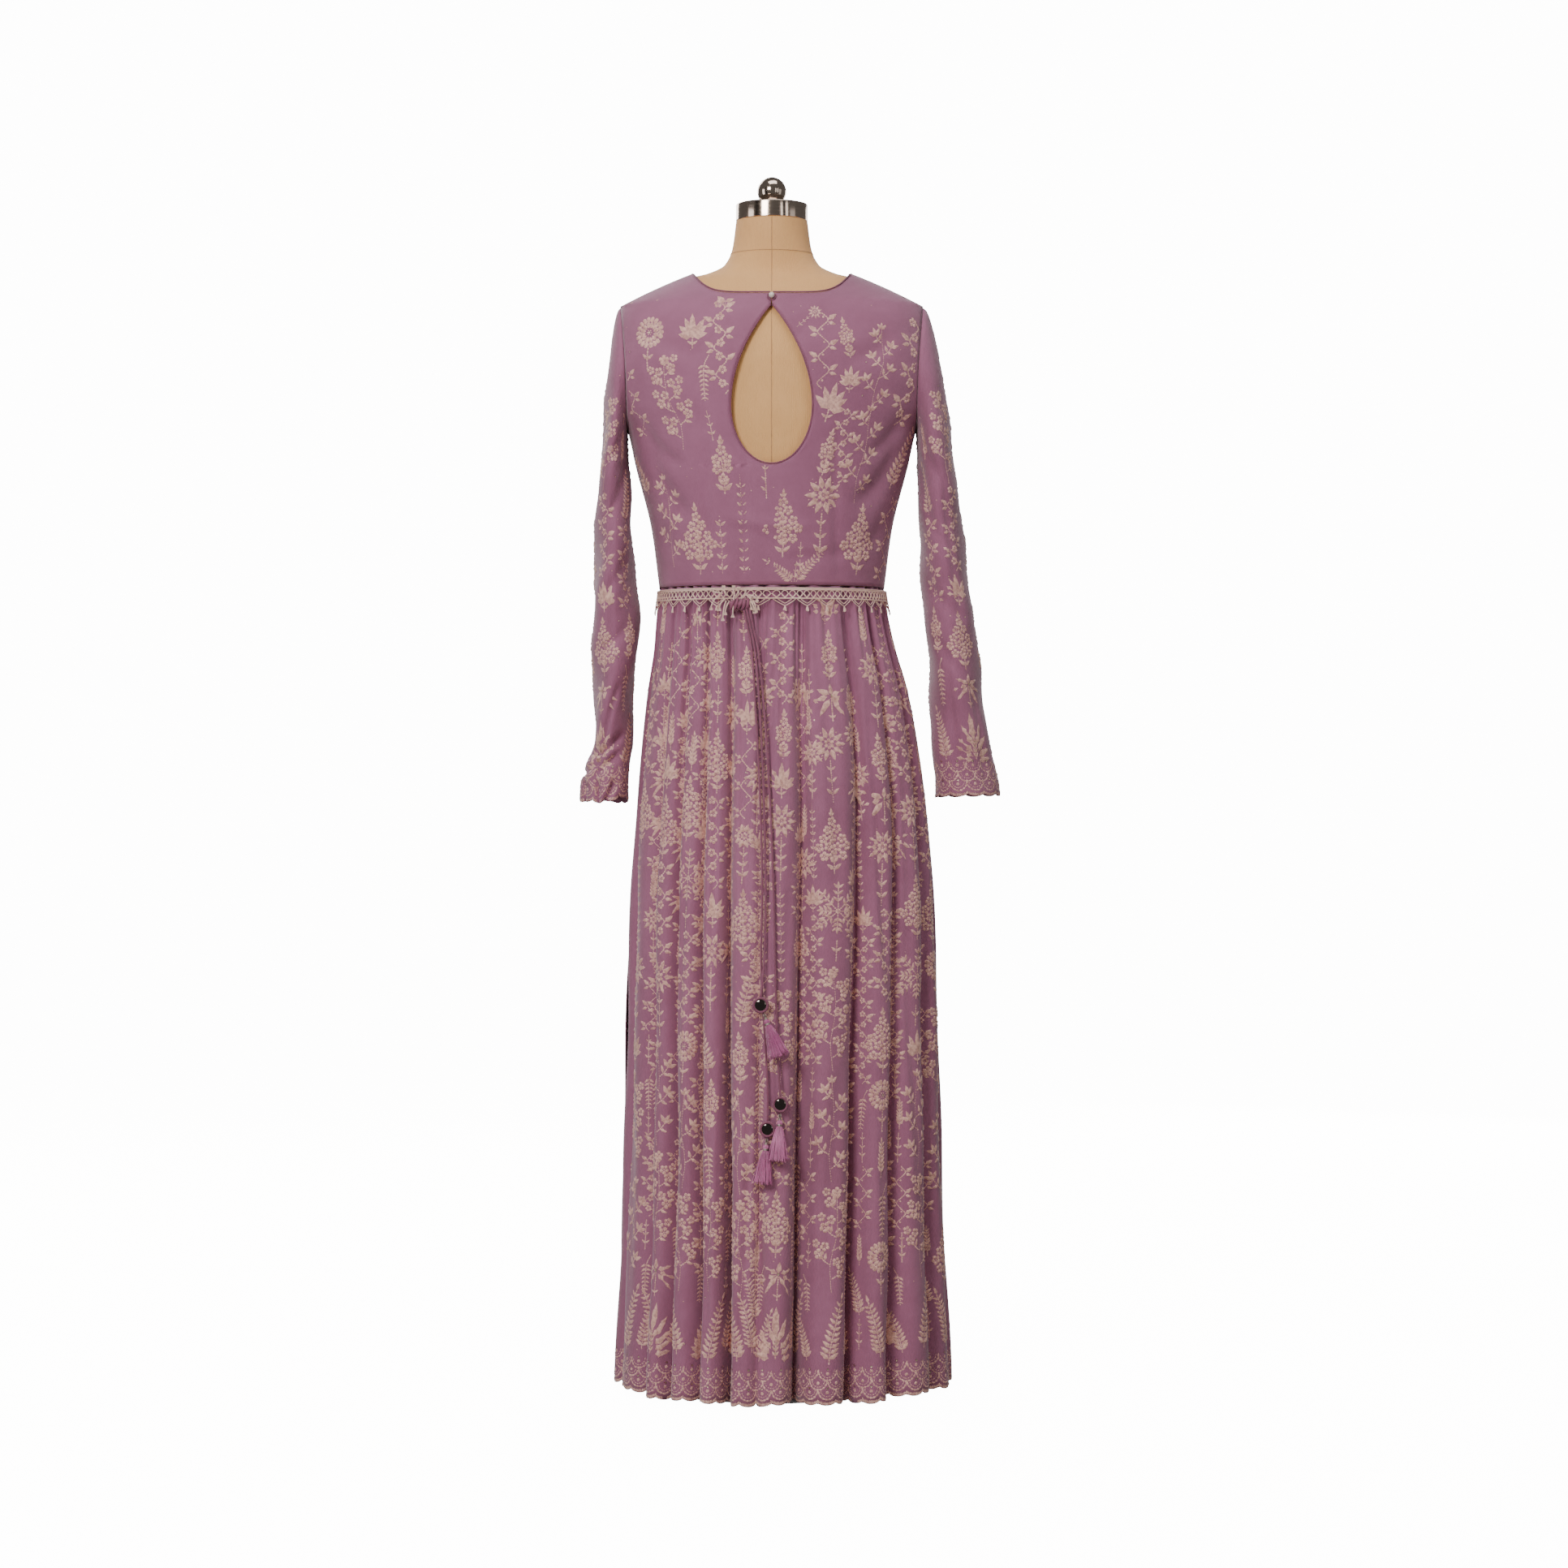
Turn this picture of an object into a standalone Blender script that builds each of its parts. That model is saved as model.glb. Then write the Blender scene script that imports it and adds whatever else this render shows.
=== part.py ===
"""An anarkali gown on a limbless dress form that stands on a pole and a plate.

Metres, +Z up, the floor at z = 0 and the origin under the pole.
The gown's back, with its keyhole and its waist tie, faces -Y, and its front faces +Y.
+X is to the right of someone who looks at the gown's back.
"""

import math
from collections import namedtuple

import bpy
from mathutils import Vector

# Cloth and seams
CLOTH = 0.0016
SEAM_GAP = 0.0003
PIPING_GAP = 0.0005
PIPING_WIDTH = 0.0018
PIPING_RISE = 0.0005
PIPING_SINK = 0.0011

# Heights of the gown's main lines
WAIST_Z = 0.978
UNDERARM_Z = 1.170
SHOULDER_Z = 1.324
HEM_Z = 0.0135

# Shoulder line, neckline and keyhole
SHOULDER_X = 0.186
NECK_X = 0.098
RIDGE_TOP = (0.054, 1.3803)
RIDGE_SLOPE = 0.30
RIDGE_CURVE = 0.90
BACK_NECK_Z = 1.332
BACK_NECK_POWER = 6.0
FRONT_NECK_Z = 1.285
FRONT_NECK_POWER = 2.4
KEYHOLE_TOP_Z = 1.319
KEYHOLE_WIDEST_Z = 1.194
KEYHOLE_BOTTOM_Z = 1.122
KEYHOLE_HALF_WIDTH = 0.0505
KEYHOLE_SLIT = 0.0006
BODICE_SQUARENESS = 2.25

# Bodice grid: the columns' shares of the half width, and the rows' shares of the height
BODICE_COLUMNS = (0, 0.15, 0.30, 0.42, 0.485, 0.509, 0.5205, NECK_X / SHOULDER_X, 0.67, 0.80, 0.91, 1)
BACK_ROWS = (0, 0.14, 0.28, 0.4068, 0.414, 0.436, 0.474, 0.53, 0.61, 0.70, 0.79, 0.86, 0.91)
FRONT_ROWS = (0, 0.20, 0.38, 0.53, 0.66, 0.77, 0.85, 0.91)
SHOULDER_ROWS = (0.945, 0.972, 0.989, 0.9965, 1)

# Skirt grid: columns in each fold, and the waist gathers that each fold breaks into
FOLD_COLUMNS = 7
GATHERS_PER_FOLD = 2
GATHER_DEPTH = 0.0023
GATHER_FADE = 0.10
FOLD_GROWTH = 0.75
FOLD_PINCH = 0.62
SCALLOP = 0.0030
SKIRT_HEIGHTS = (WAIST_Z - SEAM_GAP, 0.953, 0.905, 0.825, 0.70, 0.51, 0.27, HEM_Z)

# Sleeve grid
SLEEVE_COLUMNS = 14
SLEEVE_ROWS = (0, 0.015, 0.05, 0.12, 0.24, 0.38, 0.52, 0.66, 0.78, 0.89, 1)
SLEEVE_CAP_SHARE = 0.30

# Lace belt, below the waist seam
LACE_TOP_Z = 0.9745
LACE_BOTTOM_Z = 0.9605
LACE_STAND_OFF = 0.0012
LACE_THICK = 0.0010
PICOTS_PER_HALF = 18
PICOT_DROP = 0.0088
PICOT_THREAD = 0.0016

# Tie cords with a mirror charm and a tassel each
CORD_DIAMETER = 0.0028
CHARM_RADIUS = 0.0098
CHARM_THICK = 0.0046
CHARM_ROUND = 0.0016
MIRROR_RADIUS = 0.0066
MIRROR_THICK = 0.0010
TASSEL_LOCKS_AROUND = 8

# Neck button and its loop
BUTTON_RADIUS = 0.0036
LOOP_RADIUS = 0.0008

# Dress form and stand
NECK_RADIUS = 0.0440
NECK_TOP_Z = 1.4310
BAND_HEIGHT = 0.0205
KNOB_RADIUS = 0.0178
POLE_RADIUS = 0.0130
FLANGE_RADIUS = 0.0250
PLATE_RADIUS = 0.1500
PLATE_THICK = 0.0080
PLATE_BEVEL = 0.0040

# Half the gown's width and its depths behind and in front, at rising heights
BodySection = namedtuple("BodySection", "height half_width back_depth front_depth")
BODICE = [
    BodySection(0.978, 0.1385, 0.1000, 0.1040),
    BodySection(1.050, 0.1480, 0.1060, 0.1180),
    BodySection(1.130, 0.1680, 0.1120, 0.1380),
    BodySection(1.170, 0.1770, 0.1140, 0.1340),
    BodySection(1.200, 0.1890, 0.1140, 0.1260),
    BodySection(1.250, 0.1980, 0.1110, 0.1080),
    BodySection(1.300, 0.1930, 0.0990, 0.0900),
    BodySection(1.324, 0.1860, 0.0870, 0.0790),
    BodySection(1.340, 0.1590, 0.0760, 0.0690),
    BodySection(1.355, 0.1240, 0.0640, 0.0590),
    BodySection(1.369, 0.0890, 0.0540, 0.0500),
    BodySection(1.381, 0.0540, 0.0480, 0.0450),
]
FORM = [
    BodySection(0.664, 0.1080, 0.0780, 0.0740),
    BodySection(0.672, 0.1250, 0.0900, 0.0850),
    BodySection(0.700, 0.1360, 0.0990, 0.0930),
    BodySection(0.790, 0.1410, 0.1030, 0.0970),
    BodySection(0.880, 0.1360, 0.0980, 0.0930),
    BodySection(0.978, 0.1250, 0.0890, 0.0910),
    BodySection(1.050, 0.1350, 0.0950, 0.1060),
    BodySection(1.130, 0.1540, 0.1020, 0.1270),
    BodySection(1.175, 0.1600, 0.1050, 0.1220),
    BodySection(1.250, 0.1660, 0.1030, 0.0990),
    BodySection(1.300, 0.1650, 0.0920, 0.0830),
    BodySection(1.3225, 0.1580, 0.0795, 0.0710),
    BodySection(1.3366, 0.1500, 0.0700, 0.0630),
    BodySection(1.3454, 0.1390, 0.0630, 0.0570),
    BodySection(1.3542, 0.1195, 0.0560, 0.0510),
    BodySection(1.3598, 0.1040, 0.0510, 0.0470),
    BodySection(1.3635, 0.0860, 0.0480, 0.0450),
    BodySection(1.3760, 0.0590, 0.0460, 0.0450),
    BodySection(1.3960, 0.0490, 0.0450, 0.0455),
    BodySection(1.4310, 0.0440, 0.0440, 0.0440),
]

# The skirt's outline over the tops of its folds, at falling heights
SkirtSection = namedtuple("SkirtSection", "height left right back front")
SKIRT = [
    SkirtSection(0.978, 0.1385, 0.1385, 0.1000, 0.1040),
    SkirtSection(0.940, 0.1430, 0.1450, 0.1080, 0.1110),
    SkirtSection(0.900, 0.1470, 0.1550, 0.1170, 0.1190),
    SkirtSection(0.854, 0.1540, 0.1690, 0.1260, 0.1260),
    SkirtSection(0.774, 0.1620, 0.1840, 0.1380, 0.1350),
    SkirtSection(0.704, 0.1680, 0.1935, 0.1470, 0.1430),
    SkirtSection(0.604, 0.1760, 0.2010, 0.1580, 0.1530),
    SkirtSection(0.404, 0.1820, 0.2090, 0.1780, 0.1720),
    SkirtSection(0.204, 0.1860, 0.2160, 0.1930, 0.1870),
    SkirtSection(0.010, 0.1950, 0.2240, 0.2060, 0.1980),
]

# The valleys between the skirt's folds, in degrees round from +X through the front.
# The back half, from 190 to 356, follows the photograph, and the front half is like it.
Valley = namedtuple("Valley", "waist_angle hem_angle hem_depth")
VALLEYS = [
    Valley(190, 190, 0.026),
    Valley(213, 215, 0.028),
    Valley(227, 227, 0.034),
    Valley(239, 240.5, 0.034),
    Valley(251, 252, 0.044),
    Valley(267, 264, 0.012),
    Valley(283, 278, 0.048),
    Valley(309, 297, 0.046),
    Valley(327, 313, 0.038),
    Valley(343, 336, 0.034),
    Valley(357, 355, 0.028),
    Valley(373, 372, 0.026),
    Valley(391, 390, 0.034),
    Valley(408, 409, 0.042),
    Valley(425, 426, 0.036),
    Valley(443, 444, 0.046),
    Valley(462, 463, 0.040),
    Valley(480, 480, 0.044),
    Valley(498, 499, 0.038),
    Valley(516, 516, 0.034),
    Valley(533, 533, 0.026),
]
# The two side seams run down the crests after these valleys
SEAM_FOLDS = (10, 20)

# Each sleeve's middle and half sizes across and front to back, at falling heights
SleeveSection = namedtuple("SleeveSection", "height middle half_width half_depth")
LEFT_SLEEVE = [
    SleeveSection(1.324, 0.1940, 0.0090, 0.0560),
    SleeveSection(1.200, 0.1935, 0.0125, 0.0680),
    SleeveSection(1.110, 0.1940, 0.0190, 0.0700),
    SleeveSection(1.000, 0.1940, 0.0250, 0.0660),
    SleeveSection(0.920, 0.1915, 0.0285, 0.0620),
    SleeveSection(0.850, 0.1955, 0.0240, 0.0580),
    SleeveSection(0.790, 0.1965, 0.0230, 0.0540),
    SleeveSection(0.745, 0.2040, 0.0290, 0.0500),
    SleeveSection(0.700, 0.2065, 0.0310, 0.0470),
]
RIGHT_SLEEVE = [
    SleeveSection(1.324, 0.1960, 0.0120, 0.0560),
    SleeveSection(1.200, 0.1995, 0.0185, 0.0680),
    SleeveSection(1.110, 0.2040, 0.0235, 0.0700),
    SleeveSection(1.000, 0.2125, 0.0290, 0.0660),
    SleeveSection(0.900, 0.2230, 0.0310, 0.0620),
    SleeveSection(0.800, 0.2320, 0.0350, 0.0560),
    SleeveSection(0.750, 0.2375, 0.0385, 0.0500),
    SleeveSection(0.705, 0.2415, 0.0415, 0.0450),
]
LEFT_CUFF_Z = 0.7130
RIGHT_CUFF_Z = 0.7210
SLEEVE_FORWARD = 0.004

# Tie cords: places across and height, from the knot down, and how far what hangs on them stands off the skirt
Tie = namedtuple("Tie", "name route charm charm_rest tassel_tip tassel_rest")
KNOT = (-0.0385, 0.9540)
KNOT_REST = 0.0076
KNOT_HALF_SIZES = (0.0135, 0.0048, 0.0078)
TIES = [
    Tie(
        "a",
        [(-0.0300, 0.9479), (-0.0252, 0.925), (-0.0196, 0.8955), (-0.0147, 0.84), (-0.0107, 0.763), (-0.0080, 0.686),
         (-0.0068, 0.609), (-0.0078, 0.545), (-0.0100, 0.510)],
        (-0.0125, 0.4765),
        0.0066,
        (0.0100, 0.4160),
        0.0150,
    ),
    Tie(
        "b",
        [(-0.0266, 0.9501), (-0.0218, 0.925), (-0.0157, 0.8955), (-0.0088, 0.829), (-0.0037, 0.753), (0.0002, 0.677),
         (0.0030, 0.590), (0.0048, 0.513), (0.0066, 0.436), (0.0088, 0.395)],
        (0.0108, 0.3595),
        0.0010,
        (0.0080, 0.2930),
        0.0125,
    ),
    Tie(
        "c",
        [(-0.0334, 0.9468), (-0.0286, 0.925), (-0.0235, 0.8955), (-0.0190, 0.828), (-0.0148, 0.75), (-0.0118, 0.668),
         (-0.0108, 0.60), (-0.0122, 0.535), (-0.0088, 0.455), (-0.0050, 0.395), (-0.0042, 0.365)],
        (-0.0045, 0.3305),
        0.0010,
        (-0.0100, 0.2660),
        0.0080,
    ),
]
CORD_REST = 0.0010
CORD_STEP = 0.0096


def clear_scene():
    for thing in list(bpy.data.objects):
        bpy.data.objects.remove(thing, do_unlink=True)


def finish_of(name, colour, roughness, metallic=0.0):
    material = bpy.data.materials.new(name)
    material.use_nodes = True
    shader = material.node_tree.nodes["Principled BSDF"]
    shader.inputs["Base Color"].default_value = (*colour, 1)
    shader.inputs["Roughness"].default_value = roughness
    shader.inputs["Metallic"].default_value = metallic
    return material


def group_empty(name):
    empty = bpy.data.objects.new(name, None)
    bpy.context.scene.collection.objects.link(empty)
    return empty


def add_mesh(name, points, faces, finish, parent, sharp_degrees=40):
    mesh = bpy.data.meshes.new(name)
    mesh.from_pydata([tuple(p) for p in points], [], [tuple(f) for f in faces])
    mesh.validate()
    mesh.shade_smooth()
    mesh.set_sharp_from_angle(angle=math.radians(sharp_degrees))
    mesh.materials.append(finish)
    thing = bpy.data.objects.new(name, mesh)
    thing.parent = parent
    bpy.context.scene.collection.objects.link(thing)
    return thing


def table_value(rows, at, column):
    """A column of a table at a height, on a smooth curve through the rows that never overshoots them."""
    rows = sorted(rows, key=lambda row: row.height)
    heights = [row.height for row in rows]
    values = [getattr(row, column) for row in rows]
    at = min(max(at, heights[0]), heights[-1])
    spans = [heights[i + 1] - heights[i] for i in range(len(rows) - 1)]
    slopes = [(values[i + 1] - values[i]) / spans[i] for i in range(len(spans))]
    tangents = [slopes[0]]
    for before, after in zip(slopes, slopes[1:]):
        tangents.append(2 * before * after / (before + after) if before * after > 0 else 0.0)
    tangents.append(slopes[-1])
    i = max(k for k in range(len(spans)) if k == 0 or heights[k] <= at)
    t = (at - heights[i]) / spans[i]
    return (
        (1 + 2 * t) * (1 - t) ** 2 * values[i]
        + t * (1 - t) ** 2 * spans[i] * tangents[i]
        + t * t * (3 - 2 * t) * values[i + 1]
        - t * t * (1 - t) * spans[i] * tangents[i + 1]
    )


def smoothstep(low, high, value):
    t = min(max((value - low) / (high - low), 0.0), 1.0)
    return t * t * (3 - 2 * t)


def halves(face, points):
    """A quad as two triangles along its shorter diagonal, so that both sides of a wall bend along the same line."""
    if len(face) != 4:
        return [face]
    a, b, c, d = face
    if (points[a] - points[c]).length < (points[b] - points[d]).length:
        return [(a, b, c), (a, c, d)]
    return [(a, b, d), (b, c, d)]


def wall(name, outer, inner, faces, finish, parent):
    """A closed wall: the outer faces, the same turned round on the inner points, and a rim on each open edge."""
    count = len(outer)
    faces = [part for face in faces for part in halves(face, outer)]
    edges = {}
    for face in faces:
        for a, b in zip(face, face[1:] + face[:1]):
            edges[(a, b)] = True
    rim = [(b, a, a + count, b + count) for a, b in edges if (b, a) not in edges]
    backs = [tuple(i + count for i in reversed(face)) for face in faces]
    return add_mesh(name, list(outer) + list(inner), faces + backs + rim, finish, parent)


# Bodice


def ridge_z(x):
    """Height of the shoulder line at a distance from the middle."""
    step = abs(x) - RIDGE_TOP[0]
    return RIDGE_TOP[1] - RIDGE_SLOPE * step - RIDGE_CURVE * step * step


def ridge_x(z):
    """The distance from the middle at which the shoulder line has this height."""
    drop = max(RIDGE_TOP[1] - z, 0.0)
    return RIDGE_TOP[0] + (math.sqrt(RIDGE_SLOPE**2 + 4 * RIDGE_CURVE * drop) - RIDGE_SLOPE) / (2 * RIDGE_CURVE)


def bodice_half_width(z):
    return ridge_x(z) if z > SHOULDER_Z else table_value(BODICE, z, "half_width")


def bodice_depth(z, side):
    return table_value(BODICE, z, "back_depth" if side < 0 else "front_depth")


def bodice_y(x, z, side):
    """How far behind (side -1) or in front (side +1) of the side seams the bodice lies."""
    share = min(abs(x) / bodice_half_width(z), 1.0)
    return side * bodice_depth(z, side) * (1 - share**BODICE_SQUARENESS) ** (1 / BODICE_SQUARENESS)


def bodice_normal(x, z, side):
    """The outward direction of the bodice, from the gradient of its superellipse sections."""
    n = BODICE_SQUARENESS
    y = abs(bodice_y(x, z, side))

    def level(height):
        across = abs(x) / bodice_half_width(height)
        return across**n + (y / bodice_depth(height, side)) ** n

    nudge = 0.0015
    rise = (level(z + nudge) - level(z - nudge)) / (2 * nudge)
    across = n * abs(x) ** (n - 1) / bodice_half_width(z) ** n
    along = n * y ** (n - 1) / bodice_depth(z, side) ** n
    return Vector((math.copysign(across, x), side * along, rise)).normalized()


def armhole_x(z):
    """The edge of the front and back panels: the side seam below the underarm, and the armhole above it."""
    if z <= UNDERARM_Z:
        return bodice_half_width(z)
    rise = min((z - UNDERARM_Z) / (SHOULDER_Z - UNDERARM_Z), 1.0)
    start = bodice_half_width(UNDERARM_Z)
    return start + (SHOULDER_X - start) * rise - 0.003 * math.sin(math.pi * rise)


def neckline_z(x, side):
    low = BACK_NECK_Z if side < 0 else FRONT_NECK_Z
    power = BACK_NECK_POWER if side < 0 else FRONT_NECK_POWER
    return low + (ridge_z(NECK_X) - low) * (abs(x) / NECK_X) ** power


def keyhole_half_width(z):
    if z <= KEYHOLE_BOTTOM_Z:
        return 0.0
    if z < KEYHOLE_WIDEST_Z:
        fall = (KEYHOLE_WIDEST_Z - z) / (KEYHOLE_WIDEST_Z - KEYHOLE_BOTTOM_Z)
        return KEYHOLE_HALF_WIDTH * math.sqrt(max(1 - fall * fall, 0))
    if z > KEYHOLE_TOP_Z:
        return KEYHOLE_SLIT
    drop = (KEYHOLE_TOP_Z - z) / (KEYHOLE_TOP_Z - KEYHOLE_WIDEST_Z)
    return max(KEYHOLE_HALF_WIDTH * math.sin(math.pi / 2 * drop**0.9), KEYHOLE_SLIT)


def bodice_place(u, v, side):
    """(x, z) on a panel. u runs from the middle, 0, to the side, 1 or -1; v from the waist to the shoulder."""
    share = abs(u)
    top_x = SHOULDER_X * share
    top_z = neckline_z(top_x, side) if top_x < NECK_X else ridge_z(top_x)
    z = WAIST_Z + (top_z - WAIST_Z) * v
    blend = smoothstep(0.3, 1.0, v)
    spread = (1 - blend) * math.sin(share * math.pi / 2) + blend * share
    inner = keyhole_half_width(z) if side < 0 else 0.0
    return math.copysign(inner + (armhole_x(z) - inner) * spread, u), z


def bodice_points(u, v, side):
    """The outer and inner points of a panel's wall at u, v, kept off the seams by half a seam gap."""
    x, z = bodice_place(u, v, side)
    y = bodice_y(x, z, side)
    y = side * max(abs(y), SEAM_GAP / 2)
    out = bodice_normal(x, z, side)
    point = Vector((x, y, z))
    inner = point - out * CLOTH
    inner.y = side * max(side * inner.y, SEAM_GAP / 2)
    return point, inner


def bodice_panel(name, side, rows, finish, parent):
    """One panel. Above the keyhole's bottom the back's middle column is doubled, which leaves the keyhole open."""
    outer, inner, index = [], [], {}
    columns = BODICE_COLUMNS
    for half in (-1, 1):
        for j, v in enumerate(rows):
            for i, u in enumerate(columns):
                key = (half if i else 0, i, j)
                open_here = side < 0 and bodice_place(0.0, v, side)[1] > KEYHOLE_BOTTOM_Z
                if i == 0 and open_here:
                    key = (half, 0, j)
                if key in index:
                    continue
                index[key] = len(outer)
                shown, hidden = bodice_points(math.copysign(u, half) if u else half * 1e-9, v, side)
                outer.append(shown)
                inner.append(hidden)

    def at(half, i, j):
        return index.get((half, i, j), index.get((0, i, j)))

    faces = []
    for half in (-1, 1):
        for j in range(len(rows) - 1):
            for i in range(len(columns) - 1):
                corners = [at(half, i, j), at(half, i + 1, j), at(half, i + 1, j + 1), at(half, i, j + 1)]
                faces.append(tuple(corners if half * side < 0 else reversed(corners)))
    return wall(name, outer, inner, faces, finish, parent)


def piping(name, runs, finish, parent):
    """A narrow roll along a panel's edge, on the open side of it. Each run is a side and (u, v) places in order."""
    steps = []
    for side, places in runs:
        edge = [bodice_points(u, v, side)[0] for u, v in places]
        for k, point in enumerate(edge):
            along = edge[min(k + 1, len(edge) - 1)] - edge[max(k - 1, 0)]
            out = bodice_normal(point.x, point.z, side)
            if not steps or (point - steps[-1][0]).length > 0.002:
                steps.append((point, along.cross(out).normalized(), out))
    points, faces = [], []
    for edge, away, out in steps:
        near, far = edge + away * PIPING_GAP, edge + away * (PIPING_GAP + PIPING_WIDTH)
        points += [near - out * PIPING_SINK, near + out * PIPING_RISE]
        points += [far + out * PIPING_RISE, far - out * PIPING_SINK]
    for k in range(len(steps) - 1):
        a, b = 4 * k, 4 * k + 4
        for i in range(4):
            j = (i + 1) % 4
            faces.append((a + i, a + j, b + j, b + i))
    end = 4 * (len(steps) - 1)
    faces += [(3, 2, 1, 0), (end, end + 1, end + 2, end + 3)]
    return add_mesh(name, points, faces, finish, parent)


def keyhole_piping(finish, parent):
    """Down the keyhole's right edge and up its left edge, as someone who looks at the gown's back sees them."""
    rows = [v for v in BACK_ROWS + SHOULDER_ROWS if bodice_place(0.0, v, -1)[0] > 0.003]
    places = [(1e-9, v) for v in reversed(rows)] + [(0.0, BACK_ROWS[3])] + [(-1e-9, v) for v in rows]
    return piping("keyhole_piping", [(-1, places)], finish, parent)


def neck_piping(finish, parent):
    """From the slit round over one shoulder, across the front, and back over the other shoulder to the slit."""
    corner = NECK_X / SHOULDER_X
    columns = [max(u, 0.004) for u in BODICE_COLUMNS if u < corner - 0.001] + [corner]
    left_back = [(-u, 1.0) for u in columns]
    front = [(-u, 1.0) for u in reversed(columns)] + [(u, 1.0) for u in columns[1:]]
    right_back = [(u, 1.0) for u in reversed(columns)]
    return piping("neck_piping", [(-1, left_back), (1, front), (-1, right_back)], finish, parent)


# Sleeves


def sleeve_ring_point(table, cuff_z, half, angle, s):
    """A point of the sleeve's outside. angle 0 is its outer line, and s runs from the armhole to the cuff."""
    start_z = UNDERARM_Z + (SHOULDER_Z - UNDERARM_Z) * (1 + math.cos(angle)) / 2
    side = 1 if math.sin(angle) >= 0 else -1
    start_x = armhole_x(start_z)
    start_y = bodice_y(start_x, start_z, side)
    if abs(math.sin(angle)) < 1e-6:
        start_y = 0.0
    z = start_z + (cuff_z - start_z) * s
    middle = table_value(table, z, "middle")
    end_x = middle + table_value(table, z, "half_width") * math.cos(angle)
    end_y = SLEEVE_FORWARD + table_value(table, z, "half_depth") * math.sin(angle)
    reach = min(s / SLEEVE_CAP_SHARE, 1.0)
    moved = math.sqrt(1 - (1 - reach) ** 2)
    x = start_x + SEAM_GAP + (end_x - start_x - SEAM_GAP) * moved
    y = start_y + (end_y - start_y) * moved
    return Vector((half * x, y, z))


def sleeve(name, table, cuff_z, half, finish, parent):
    def place(angle, s):
        return sleeve_ring_point(table, cuff_z, half, angle, s)

    def inward(angle, s):
        around = place(angle + 0.05, s) - place(angle - 0.05, s)
        down = place(angle, min(s + 0.01, 1.0)) - place(angle, max(s - 0.01, 0.0))
        direction = around.cross(down) * half
        if s == 0:
            direction.x = 0
        return direction.normalized() * CLOTH

    outer, inner, faces = [], [], []
    for s in SLEEVE_ROWS:
        for k in range(SLEEVE_COLUMNS):
            angle = 2 * math.pi * k / SLEEVE_COLUMNS
            outer.append(place(angle, s))
            inner.append(outer[-1] + inward(angle, s))
    last = len(SLEEVE_ROWS) - 1
    for k in range(SLEEVE_COLUMNS):
        angle = 2 * math.pi * (k + 0.5) / SLEEVE_COLUMNS
        point = place(angle, 1.0)
        point.z += SCALLOP
        outer.append(point)
        inner.append(point + inward(angle, 1.0))
    for j in range(last):
        for k in range(SLEEVE_COLUMNS):
            a, b = j * SLEEVE_COLUMNS + k, j * SLEEVE_COLUMNS + (k + 1) % SLEEVE_COLUMNS
            c, d = b + SLEEVE_COLUMNS, a + SLEEVE_COLUMNS
            if j < last - 1:
                faces.append((a, b, c, d))
                continue
            middle = (last + 1) * SLEEVE_COLUMNS + k
            faces += [(a, middle, d), (a, b, middle), (b, c, middle)]
    if half > 0:
        faces = [tuple(reversed(face)) for face in faces]
    return wall(name, outer, inner, faces, finish, parent)


# Skirt


def skirt_squareness(z):
    """The power of the skirt's outline: squarish like the bodice at the waist, and a plain ellipse lower down."""
    return 2 + (BODICE_SQUARENESS - 2) * smoothstep(WAIST_Z - 0.16, WAIST_Z, z)


def skirt_outline(angle, z):
    """The point of the skirt's outline, over the fold tops, in a direction, and the outward direction there."""
    across = table_value(SKIRT, z, "right" if math.cos(angle) > 0 else "left")
    along = table_value(SKIRT, z, "front" if math.sin(angle) > 0 else "back")
    shape = 2 / skirt_squareness(z)
    c, s = math.cos(angle), math.sin(angle)
    point = Vector((across * math.copysign(abs(c) ** shape, c), along * math.copysign(abs(s) ** shape, s), z))
    return point, Vector((c / across, s / along, 0)).normalized()


def skirt_point(fold, share, z):
    """A point of the skirt's outside. share runs across a fold, from the valley before it, 0, to the next one, 1."""
    before = VALLEYS[fold % len(VALLEYS)]
    after = VALLEYS[(fold + 1) % len(VALLEYS)]
    turn = 360 if fold % len(VALLEYS) == len(VALLEYS) - 1 else 0
    fall = min(max((WAIST_Z - z) / (WAIST_Z - HEM_Z), 0.0), 1.0)
    start = before.waist_angle + (before.hem_angle - before.waist_angle) * fall
    end = after.waist_angle + (after.hem_angle - after.waist_angle) * fall + turn
    pinch = FOLD_PINCH * smoothstep(0.0, 0.25, fall)
    along = share - pinch / (2 * math.pi) * math.sin(2 * math.pi * share)
    angle = math.radians(start + (end - start) * along)
    valley = before if share < 0.5 else after
    depth = valley.hem_depth * fall**FOLD_GROWTH * (0.5 + 0.5 * math.cos(2 * math.pi * share))
    gather = GATHER_DEPTH * math.exp(-fall / GATHER_FADE)
    depth += gather * (math.cos(2 * math.pi * GATHERS_PER_FOLD * share) + 0.6)
    point, out = skirt_outline(angle, z)
    return point - out * depth


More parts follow.
